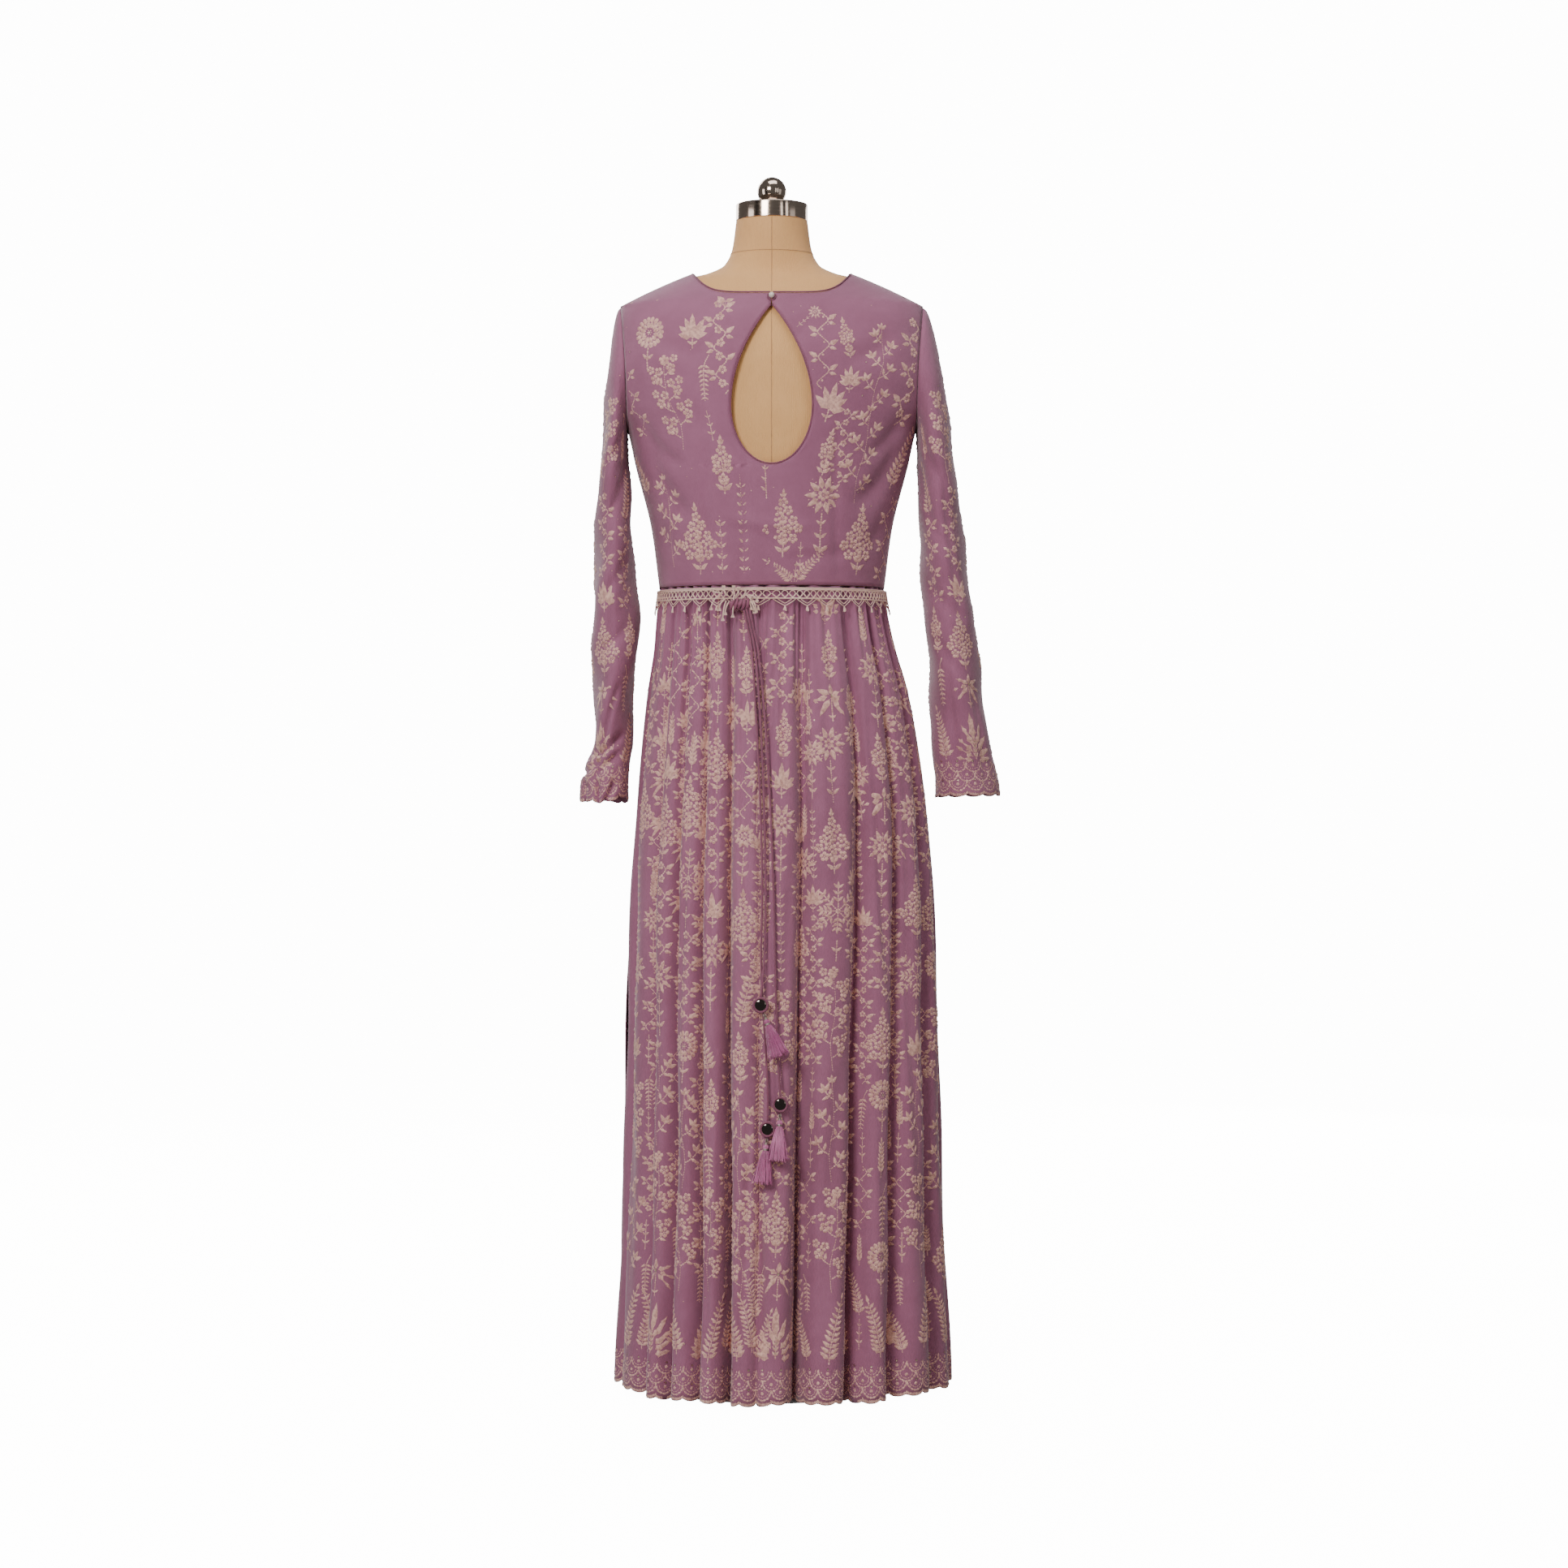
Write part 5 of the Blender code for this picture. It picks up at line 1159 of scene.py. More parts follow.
# %% Tie cords
TIES = {
    "a": {
        "route": [(-0.03, 0.9479), (-0.0252, 0.925), (-0.0196, 0.8955), (-0.0147, 0.84), (-0.0107, 0.763),
                  (-0.008, 0.686), (-0.0068, 0.609), (-0.0078, 0.545), (-0.01, 0.51)],
        "charm": (-0.0125, 0.4765), "charm rest": 0.0066, "tip": (0.01, 0.416), "tip rest": 0.015,
    },
    "b": {
        "route": [(-0.0266, 0.9501), (-0.0218, 0.925), (-0.0157, 0.8955), (-0.0088, 0.829), (-0.0037, 0.753),
                  (0.0002, 0.677), (0.003, 0.59), (0.0048, 0.513), (0.0066, 0.436), (0.0088, 0.395)],
        "charm": (0.0108, 0.3595), "charm rest": 0.001, "tip": (0.008, 0.293), "tip rest": 0.0125,
    },
    "c": {
        "route": [(-0.0334, 0.9468), (-0.0286, 0.925), (-0.0235, 0.8955), (-0.019, 0.828), (-0.0148, 0.75),
                  (-0.0118, 0.668), (-0.0108, 0.6), (-0.0122, 0.535), (-0.0088, 0.455), (-0.005, 0.395),
                  (-0.0042, 0.365)],
        "charm": (-0.0045, 0.3305), "charm rest": 0.001, "tip": (-0.01, 0.266), "tip rest": 0.008,
    },
}
CORD_DIAMETER, CORD_REST = 0.0028, 0.001
CHARM_RADIUS, CHARM_THICK, MIRROR_RADIUS = 0.0098, 0.0046, 0.0066
KNOT, KNOT_REST = (-0.0385, 0.954), 0.0076


def resting_y(x, z, clearance):
    """How far back a thing lies that rests on the fold tops."""
    across = float(SKIRT["left" if x < 0 else "right"](z))
    power = 2 + (SQUARENESS - 2) * float(soft_step(WAIST_Z - 0.16, WAIST_Z, z))
    return -float(SKIRT["back"](z)) * (1 - (abs(x) / across) ** power) ** (1 / power) - clearance


def cord_route(tie):
    points = []
    end_z = tie["charm"][1] + CHARM_RADIUS + SEAM_GAP
    on_skirt = CORD_DIAMETER / 2 + CORD_REST
    at_charm = tie["charm rest"] + CHARM_THICK / 2
    for x, z in tie["route"] + [(tie["charm"][0], end_z)]:
        rest = on_skirt + (at_charm - on_skirt) * (1 - float(soft_step(end_z + 0.005, end_z + 0.075, z)))
        rest += (KNOT_REST - on_skirt) * float(soft_step(0.915, 0.944, z))
        points.append((x, resting_y(x, z, rest), z))
    points[-1] = (points[-1][0], resting_y(*tie["charm"], at_charm), points[-1][2])
    return rounded(points, 0.0022)


def through_charm(tie):
    """The cord's inner thread runs on behind the mirror and into the tassel's head."""
    x, z = tie["charm"]
    y = resting_y(x, z, tie["charm rest"])
    top, down, length = tassel_line(tie)[:3]
    points = [(x, y - 0.001, z + share * CHARM_RADIUS) for share in (0.75, 0.3, -0.3, -0.75)]
    points += [tuple(top + down * (share * length)) for share in (0.06, 0.18, 0.3)]
    return rounded(points, 0.0022)


def tassel_line(tie):
    """Where a tassel starts, which way it hangs, its length, and its two directions across."""
    x, z = tie["charm"]
    centre = Vector((x, resting_y(x, z, tie["charm rest"] + CHARM_THICK / 2), z))
    tip = Vector((tie["tip"][0], resting_y(*tie["tip"], tie["tip rest"]), tie["tip"][1]))
    flat = Vector((tip.x - centre.x, 0, tip.z - centre.z)).normalized()
    top = centre + flat * (CHARM_RADIUS + SEAM_GAP)
    down = (tip - top).normalized()
    side = down.cross(Vector((0, 1, 0))).normalized()
    return top, down, (tip - top).length, side, side.cross(down).normalized()


def twisted_tube(name, route, radius, material, lobes=3, depth=0.1, turn_length=0.016, sides=12):
    """A tube round a route, of one radius or of one for each point, with low ridges that wind round it."""
    route = np.array(route)
    along = unit(np.gradient(route, axis=0))
    side = unit(np.cross(along, np.array([0.0, 1.0, 0.0])))
    out = np.cross(side, along)
    travelled = np.concatenate([[0], np.cumsum(np.linalg.norm(np.diff(route, axis=0), axis=1))])
    angle = 2 * np.pi * np.arange(sides) / sides
    lump = 1 + depth * (np.cos(lobes * angle[None, :] + 2 * np.pi * travelled[:, None] / turn_length) - 0.3)
    lump *= 1 + 0.05 * np.sin(travelled[:, None] * 210) * np.sin(travelled[:, None] * 77)
    rings = side[:, None, :] * np.cos(angle)[None, :, None] + out[:, None, :] * np.sin(angle)[None, :, None]
    reach = np.broadcast_to(np.asarray(radius, float), (len(route),))[:, None] * lump
    points = (route[:, None, :] + rings * reach[..., None]).reshape(-1, 3)
    faces = [tuple(q) for q in grid_faces(len(route), sides, closed=True)]
    last = (len(route) - 1) * sides
    faces += [tuple(range(sides))[::-1], tuple(last + k for k in range(sides))]
    return build(name, points, faces, material)


cords, routes = {}, {}
for name, tie in TIES.items():
    outside, inside = cord_route(tie), through_charm(tie)
    routes[name] = outside + inside
    thick = np.array([CORD_DIAMETER / 2] * len(outside) + [0.0005] * len(inside))
    cords[name] = twisted_tube("tie cord cloth " + name, routes[name], thick, CORD)
    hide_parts("tie_cord_" + name)
print("cord points:", {name: len(route) for name, route in routes.items()})

# %% [markdown]
# ## Charms, tassels and links
# A charm is a small round mirror in a padded cloth ring. A silk tassel hangs from it by a few
# loops of silver thread. The strands start in the bound neck and spread as they fall, each a
# little different, so the tassel looks combed but not stiff.


# %% Charms, tassels and links
def charm(name, tie):
    x, z = tie["charm"]
    y = resting_y(x, z, tie["charm rest"])
    middle = (CHARM_RADIUS + MIRROR_RADIUS) / 2
    roll = (CHARM_RADIUS - MIRROR_RADIUS) / 2
    profile = [(0.0, 0.0003), (middle - 0.001, 0.0003)]
    for k in range(13):
        turn = math.radians(-80 + 250 * k / 12)
        lift = CHARM_THICK / 2 + CHARM_THICK / 2 * math.sin(turn)
        profile.append((middle + roll * math.cos(turn), lift))
    profile += [(MIRROR_RADIUS + 0.0002, 0.003), (MIRROR_RADIUS + 0.0002, 0.0017), (0.0, 0.0017)]
    ring = lathe("charm ring " + name, profile, 40, CORD, (x, y, z), "-Y")
    low = CHARM_THICK * 0.36 + SEAM_GAP
    glass_profile = [(0.0, low), (MIRROR_RADIUS, low), (MIRROR_RADIUS, low + 0.0008),
        (MIRROR_RADIUS - 0.0004, low + 0.0011), (0.0, low + 0.0011)]
    glass = lathe("charm mirror " + name, glass_profile, 40, MIRROR, (x, y, z), "-Y")
    stitches = []
    for k in range(26):
        turn = 2 * math.pi * k / 26
        path = []
        for reach, lift in ((MIRROR_RADIUS + 0.0001, 0.0028), (middle, CHARM_THICK + 0.0002),
            (CHARM_RADIUS - 0.0001, 0.0026)):
            path.append((x + math.cos(turn) * reach, y - lift, z + math.sin(turn) * reach))
        stitches.append(rounded(path, 0.0012))
    binding = threads("charm stitches " + name, stitches, 0.00022, SHADED_BINDING, 4)
    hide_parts("charm_ring_" + name)
    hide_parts("charm_mirror_" + name)
    return [ring, glass, binding]


def tassel(name, tie, strands=108):
    top, down, length, side, out = tassel_line(tie)

    def place(share, angle, radius, sag=0.0):
        off = side * math.cos(angle) * radius + out * max(math.sin(angle) * radius, -0.0042)
        return tuple(top + down * (share * length + sag) + off)

    fall = []
    for k in range(strands):
        angle = 2.399963 * k + random.uniform(-0.1, 0.1)
        spread = math.sqrt((k + 0.5) / strands)
        end = 0.97 + random.uniform(-0.05, 0.035)
        swell = random.uniform(0.85, 1.12)
        radii = [(0.13, 0.0016), (0.18, 0.003), (0.215, 0.0034), (0.255, 0.0024), (0.33, 0.0044), (0.55, 0.0078),
            (end, 0.0128 * swell)]
        path = [place(share, angle + 0.25 * share, reach * spread) for share, reach in radii]
        fall.append(rounded(path, 0.0075))
    silk = threads("tassel silk " + name, fall, 0.0004, SILK, 4)
    winding = [place(0.235 + 0.035 * k / 60, 2 * math.pi * k / 10, 0.003) for k in range(61)]
    head = [place(0.1 + 0.05 * k / 50, 2 * math.pi * k / 10, 0.0014 + 0.0008 * k / 50) for k in range(51)]
    bound = threads("tassel binding " + name, [winding, head], 0.00042, SILVER, 5)
    links = []
    for k in range(4):
        turn = math.pi * (k + 0.5) / 4
        reach = 0.0013 + 0.0004 * (k % 2)
        path = []
        for step in range(13):
            a = 2 * math.pi * step / 12
            off = (side * math.cos(turn) + out * math.sin(turn)) * reach * math.sin(a)
            path.append(tuple(top + down * (0.04 * length * (1 - math.cos(a)) + 0.0008) + off))
        path[-1] = path[0]
        links.append(path)
    link = threads("tassel links " + name, links, 0.0003, SILVER, 4)
    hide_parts("tassel_" + name)
    return [silk, bound, link]


hangings = {}
for name, tie in TIES.items():
    hangings[name] = charm(name, tie) + tassel(name, tie)
    route = np.array(routes[name])
    length = float(np.linalg.norm(np.diff(route, axis=0), axis=1).sum())
    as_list(hangings[name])
    print("cord", name, "is", round(length, 3), "m long")

# %% [markdown]
# ## Knot of the waist tie
# The tie's three cords are wound twice round each other and pulled tight, and the lace's loose
# end and its drops are caught in the same knot.


# %% Knot
def knot_point(across, out, up):
    x, z = KNOT
    return (x + across, resting_y(x, z, KNOT_REST) - out, z + up)


def knot_wrap(tilt, offset, wide, high, phase):
    path = []
    for k in range(15):
        a = 2 * math.pi * k / 14 + phase
        across = offset + wide * math.sin(a + tilt) * 0.35
        path.append(knot_point(across, 0.0043 * math.cos(a), high * math.sin(a)))
    path[-1] = path[0]
    return path


wraps = [knot_wrap(0.3 * k, -0.0085 + 0.0042 * k, 0.006, 0.006 + 0.0009 * math.sin(2.2 * k), 0.6 * k)
    for k in range(5)]
knot_core = [rounded([knot_point(-0.0125, 0.0, 0.001), knot_point(-0.006, 0.001, -0.001),
    knot_point(0.004, 0.001, 0.001), knot_point(0.0122, -0.0005, -0.003)], 0.003)]
knot = threads("knot wraps", wraps, 0.0019, CORD, 10)
threads("knot core", knot_core, 0.0036, CORD, 12)
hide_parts("tie_knot")
caught = []
for across, up, lean, drop in (
    (-0.018, 0.006, -0.006, 0.01), (-0.015, 0.01, -0.004, -0.008), (-0.012, 0.003, -0.005, 0.012),
    (-0.009, 0.011, 0.002, -0.007), (-0.004, 0.0105, 0.003, -0.006), (0.002, 0.008, 0.005, -0.006),
    (-0.024, 0.011, -0.01, 0.014), (-0.02, 0.013, -0.012, -0.002), (-0.006, 0.014, -0.002, 0.026),
    (0.006, 0.013, 0.012, 0.018), (-0.016, 0.004, -0.004, 0.02), (0.011, 0.011, 0.01, 0.004),
    (0.008, 0.006, 0.006, 0.009), (0.012, 0.004, 0.006, 0.011), (0.016, 0.004, 0.004, 0.01),
):
    start, middle = knot_point(across, 0.002, up), knot_point(across + lean * 0.6, 0.004, up - drop * 0.4)
    end = knot_point(across + lean, 0.003, up - drop)
    caught.append(rounded([start, middle, end], 0.0015))
    for k in range(4):
        tip = knot_point(across + lean + (k - 1.5) * 0.0011, 0.003, up - drop - math.copysign(0.0042, drop))
        caught.append([end, tip])
threads("lace caught in the knot", caught, 0.00085, LACE, 5)
print("knot wraps:", len(wraps), "lace ends:", len(caught))

# %% [markdown]
# ## Canvas form, chrome and stand
# The form is a lofted torso in tight canvas with a seam down its back and another round its neck.
# Its chrome band and ball are turned, and so are the pole and the heavy plate that the skirt hides.

# %% Form and stand
FORM = profiles(
    [
        (0.664, 0.108, 0.078, 0.074), (0.672, 0.125, 0.09, 0.085), (0.7, 0.136, 0.099, 0.093),
        (0.79, 0.141, 0.103, 0.097), (0.88, 0.136, 0.098, 0.093), (0.978, 0.125, 0.089, 0.091),
        (1.05, 0.135, 0.095, 0.106), (1.13, 0.154, 0.102, 0.127), (1.175, 0.16, 0.105, 0.122),
        (1.25, 0.166, 0.103, 0.099), (1.3, 0.165, 0.092, 0.083), (1.3225, 0.158, 0.0795, 0.071),
        (1.3366, 0.15, 0.07, 0.063), (1.3454, 0.139, 0.063, 0.057), (1.3542, 0.1195, 0.056, 0.051),
        (1.3598, 0.104, 0.051, 0.047), (1.3635, 0.086, 0.048, 0.045), (1.376, 0.059, 0.046, 0.045),
        (1.396, 0.049, 0.045, 0.0455), (1.431, 0.044, 0.044, 0.044),
    ],
    "width",
    "back",
    "front",
)
NECK_TOP_Z, NECK_SEAM_Z = 1.431, 1.39


def form_points(angle, z, lift=0.0):
    c, s = np.cos(angle), np.sin(angle)
    power = 2 / (SQUARENESS + (2 - SQUARENESS) * soft_step(1.33, 1.39, z))
    deep = np.where(s > 0, FORM["front"](z), FORM["back"](z)) + lift
    wide = FORM["width"](z) + lift
    return stack(wide * np.sign(c) * np.abs(c) ** power, deep * np.sign(s) * np.abs(s) ** power, z)


def torso(sides=96):
    heights = np.concatenate([np.linspace(0.664, 0.7, 8), np.linspace(0.72, 1.29, 34),
        np.linspace(1.3, NECK_TOP_Z, 44)])
    angle, z = np.meshgrid(2 * np.pi * np.arange(sides) / sides, heights)
    points = form_points(angle, z)
    faces = [tuple(q) for q in grid_faces(len(heights), sides, closed=True)]
    last = (len(heights) - 1) * sides
    points = np.concatenate([points.reshape(-1, 3), [[0, 0, heights[0]], [0, 0, NECK_TOP_Z]]])
    low, high = len(points) - 2, len(points) - 1
    faces += [(low, (k + 1) % sides, k) for k in range(sides)]
    faces += [(high, last + k, last + (k + 1) % sides) for k in range(sides)]
    thing = build("canvas torso", points, faces, CANVAS)
    thing.data.set_sharp_from_angle(angle=math.radians(60))
    return thing


form_torso = torso()
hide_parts("form_torso")
seam_z = np.linspace(0.7, NECK_TOP_Z - 0.001, 90)
seams = [form_points(np.full(90, -np.pi / 2), seam_z, 0.0001), form_points(np.full(90, np.pi / 2), seam_z, 0.0001)]
ring_angle = np.append(np.linspace(0, 2 * np.pi, 60, endpoint=False), 0.0)
seams.append(form_points(ring_angle, np.full(61, NECK_SEAM_Z), 0.0001))
CANVAS_SEAM = cloth_material("canvas seam", (0.5, 0.27, 0.12), (0.58, 0.32, 0.15), 0.0009, 0.6, 0.85, 0.1,
    map_name=None)
threads("form seams", seams, 0.00045, CANVAS_SEAM, 6)

band_low = NECK_TOP_Z + SEAM_GAP
band_radius, band_height = 0.0442, 0.0205
band_profile = [(0.0, 0.0), (band_radius - 0.0006, 0.0), (band_radius, 0.0006), (band_radius, band_height - 0.0016)]
band_profile += [(band_radius - 0.0016 + 0.0016 * math.cos(math.radians(a)),
    band_height - 0.0016 + 0.0016 * math.sin(math.radians(a))) for a in (25, 50, 75)]
band_profile += [(band_radius - 0.003, band_height - 0.0002), (0.0, band_height)]
neck_band = lathe("neck band", band_profile, 96, CHROME, (0, 0, band_low))
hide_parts("form_neck_band")
KNOB_RADIUS = 0.0178
knob_low = KNOB_RADIUS * 0.88
ball = [(0.0, -knob_low)] + [(KNOB_RADIUS * math.cos(math.radians(a)), KNOB_RADIUS * math.sin(math.radians(a)))
    for a in range(-61, 90, 5)] + [(0.0, KNOB_RADIUS)]
knob = lathe("neck knob", ball, 64, CHROME, (0, 0, band_low + band_height + SEAM_GAP + knob_low))
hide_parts("form_knob")
plate_profile = [(0.0, 0.0), (0.1488, 0.0), (0.15, 0.0012), (0.15, 0.0055), (0.1488, 0.0072), (0.146, 0.008),
    (0.0, 0.008)]
plate = lathe("stand plate", plate_profile, 96, STEEL)
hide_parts("stand_plate")
pole_low, pole_high = 0.008 + SEAM_GAP, 0.664 - SEAM_GAP
pole_profile = [(0.0, pole_low), (0.0245, pole_low), (0.025, pole_low + 0.0006), (0.025, pole_low + 0.0055),
    (0.024, pole_low + 0.007)]
pole_profile += [(0.0175, pole_low + 0.0135), (0.015, pole_low + 0.019), (0.013, pole_low + 0.03),
    (0.013, pole_high - 0.012)]
pole_profile += [(0.0145, pole_high - 0.01), (0.024, pole_high - 0.0062), (0.025, pole_high - 0.005),
    (0.025, pole_high - 0.0004), (0.0, pole_high)]
pole = lathe("stand pole", pole_profile, 48, STEEL)
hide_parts("stand_pole")
print("form and stand are in place")

# %% [markdown]
# ## Thread-work: shapes and drawings
# All motifs are worked from four small raised shapes: a pointed leaf, a round petal, a short stitch
# and a bead, with flat sequins scattered between. A motif is drawn flat in millimetres and laid on
# the cloth through its arc table, then lifted a little along the cloth's own normal. Painting the
# motifs into the colour would be lighter, but they would not stand up at the folds' edges.


# %% Raised shapes and flat drawings
LEAF_FACES = [(0, 1, 6), (1, 2, 7), (1, 7, 6), (2, 3, 7), (3, 4, 7), (4, 5, 6), (4, 6, 7), (5, 0, 6)]
HEX_FACES = [(k, (k + 1) % 6, 6) for k in range(6)]
HEX_RIM = [(math.cos(math.radians(60 * k)), math.sin(math.radians(60 * k))) for k in range(6)]
SHAPES = {
    # Along, across and height shares of each point, then the faces and the lift of a high point in metres.
    "leaf": ([(0, 0, 0), (0.33, -1, 0), (0.72, -0.62, 0), (1, 0, 0), (0.72, 0.62, 0), (0.33, 1, 0), (0.3, 0, 1),
        (0.7, 0, 0.8)], LEAF_FACES, 0.001),
    "petal": ([(0, 0, 0), (0.4, -1.0, 0), (0.85, -0.85, 0), (1, 0, 0), (0.85, 0.85, 0), (0.4, 1.0, 0), (0.4, 0, 1),
        (0.8, 0, 0.9)], LEAF_FACES, 0.0009),
    "stitch": ([(0, 0, 0.1), (0.5, -1, 0), (1, 0, 0.1), (0.5, 1, 0), (0.5, 0, 1)],
        [(0, 1, 4), (1, 2, 4), (2, 3, 4), (3, 0, 4)], 0.0007),
    "bead": ([(x, y, 0) for x, y in HEX_RIM] + [(0, 0, 1)], HEX_FACES, 0.001),
    "sequin": ([(x, y, 1) for x, y in HEX_RIM] + [(0, 0, 0.6)], HEX_FACES, 0.0011),
}


class Drawing:
    """A flat motif in millimetres: x to the right, y up, angles in degrees from +X."""

    def __init__(self):
        self.rows = []

    def add(self, kind, x, y, angle, length, width):
        self.rows.append((kind, x, y, angle, length, width))

    def leaf(self, x, y, angle, length, width=None):
        self.add("leaf", x, y, angle, length * 1.14, (width or 0.42 * length) * 1.22)

    def bead(self, x, y, radius=1.2):
        self.add("bead", x, y, 0, radius, 2 * radius)

    def sequin(self, x, y, radius=1.1):
        self.add("sequin", x, y, 30, radius, 2 * radius)

    def stem(self, points, width=2.9):
        """A line of short overlapping stitches on a smooth curve through the points."""
        route = rounded([(x, y, 0) for x, y in points], 3.0)
        for (ax, ay, _), (bx, by, _) in zip(route, route[1:]):
            reach = math.hypot(bx - ax, by - ay)
            if reach > 0.1:
                self.add("stitch", ax, ay, math.degrees(math.atan2(by - ay, bx - ax)), reach * 1.6, width)

    def rosette(self, x, y, radius=4.6, petals=5, turn=90):
        for k in range(petals):
            a = turn + 360 * k / petals
            ax, ay = x + 0.18 * radius * math.cos(math.radians(a)), y + 0.18 * radius * math.sin(math.radians(a))
            self.add("petal", ax, ay, a, 0.84 * radius, 1.02 * radius * 5 / (petals + 1))
        self.bead(x, y, 0.2 * radius)

    def pair(self, x, y, length=8, spread=48, up=90):
        self.leaf(x, y, up + spread, length)
        self.leaf(x, y, up - spread, length)


def stalk(d, height=60, pairs=3, lean=0, leaf=8):
    d.stem([(0, 0), (lean * 0.6, height * 0.5), (lean, height)])
    for k in range(pairs):
        share = (k + 0.8) / (pairs + 0.6)
        d.pair(lean * share, height * share, leaf * (1 - 0.15 * k))
    return height


def cluster(d, rows=(3, 4, 3, 2, 1), radius=6.0, foot=18):
    """Rosettes piled in a pyramid over a leafy foot."""
    d.stem([(0, 0), (0.6, foot), (0, foot + 8 * len(rows) - 6)])
    d.pair(0.3, foot * 0.35, 11, 52)
    d.pair(0.4, foot * 0.8, 9, 42)
    for j, count in enumerate(rows):
        y = foot + 5 + j * radius * 1.72
        for k in range(count):
            x = (k - (count - 1) / 2) * radius * 1.98
            d.rosette(x, y + (0.8 if k % 2 else -0.4), radius, 5, 90 + 31 * j + 17 * k)
    top = foot + 5 + len(rows) * radius * 1.72
    d.leaf(0, top - 4, 90, 9)
    d.pair(0, top - 5, 6, 38)
    return top + 6


def starburst(d, radius=20, stem=52):
    """A starry flower of pointed petals round a beaded middle, on a stalk with leaf pairs."""
    y = stem + radius
    stalk(d, stem, 3, 0, 10)
    for k in range(10):
        a = 36 * k
        inner = 0.3 * radius
        d.leaf(inner * math.cos(math.radians(a)), y + inner * math.sin(math.radians(a)), a, 0.7 * radius, 6.0)
        b = a + 18
        d.add("stitch", inner * math.cos(math.radians(b)), y + inner * math.sin(math.radians(b)), b, 0.45 * radius,
            1.2)
        d.bead(0.83 * radius * math.cos(math.radians(b)), y + 0.83 * radius * math.sin(math.radians(b)), 1.0)
    d.rosette(0, y, 0.34 * radius, 6)
    return y + radius + 2


def dahlia(d, radius=19, stem=26):
    """A full round flower: two rings of petals round a beaded middle."""
    y = stem + radius
    stalk(d, stem, 1, 0, 9)
    for ring, (inner, reach, count) in enumerate(((0.52, 0.48, 18), (0.24, 0.4, 12))):
        for k in range(count):
            a = 360 * (k + 0.5 * ring) / count
            c, s = math.cos(math.radians(a)), math.sin(math.radians(a))
            d.add("petal", inner * radius * c, y + inner * radius * s, a, reach * radius, 0.3 * radius)
    for k in range(6):
        d.bead(0.14 * radius * math.cos(k * 1.047), y + 0.14 * radius * math.sin(k * 1.047), 1.1)
    d.sequin(0, y, 1.3)
    return y + radius + 2


def crown(d, height=64, width=42):
    """A flame of long leaves that stands on the border, like a lotus seen from the side."""
    d.leaf(0, height * 0.36, 90, height * 0.56, 12)
    for k, (share, angle, reach) in enumerate(((0.26, 66, 0.5), (0.14, 48, 0.46), (0.06, 30, 0.4), (0.0, 10, 0.34))):
        for half in (1, -1):
            a = 90 - half * (90 - angle)
            d.leaf(half * width * (0.03 + 0.02 * k), height * share, a, height * reach, 8.5)
    d.stem([(0, 0), (0, height * 0.42)], 3.0)
    for k in range(4):
        d.pair(0, height * (0.06 + 0.09 * k), 7, 30)
        d.sequin(0, height * (0.12 + 0.09 * k), 1.0)
    return height


def lotus(d, size=44, stem=14):
    """A fan of herringbone leaves on a short stem."""
    d.stem([(0, 0), (0, stem)])
    for angle, reach in ((90, 1.0), (62, 0.86), (118, 0.86), (36, 0.74), (144, 0.74), (10, 0.6), (170, 0.6)):
        d.leaf(0, stem, angle, size * 0.62 * reach, size * 0.19)
    d.pair(0, stem * 0.4, 7, 60)
    for k in range(3):
        d.bead((k - 1) * 3.0, stem + 2.5, 1.3)
    return stem + size * 0.64


def droop(d, size=44, stem=10):
    """Broad leaves that hang from one point like a palm, with a bud above."""
    y = stem + size * 0.5
    d.stem([(0, 0), (0, y)])
    for angle, reach in ((-20, 0.62), (200, 0.62), (-52, 0.66), (232, 0.66), (20, 0.44), (160, 0.44)):
        d.leaf(0, y, angle, size * reach, size * 0.145)
    d.leaf(0, y, 90, size * 0.3, size * 0.14)
    d.pair(0, stem * 0.5, 6, 55)
    d.sequin(0, y, 1.6)
    return y + size * 0.32


def fern(d, length=74, lean=20, side=1, leaflet=12):
    """A leaning frond: leaflets in pairs that shorten towards its tip."""
    points = [(side * lean * (k / 6) ** 1.5, length * k / 6) for k in range(7)]
    d.stem(points)
    for k in range(1, 11):
        share = k / 11
        x, y = side * lean * share**1.5, length * share
        tilt = 90 - side * math.degrees(math.atan2(1.5 * lean * share**0.5, length))
        d.pair(x, y, leaflet * (1.15 - 0.55 * share), 56, tilt)
    d.leaf(side * lean, length, 90 - side * 24, leaflet * 0.8)
    return length + 6


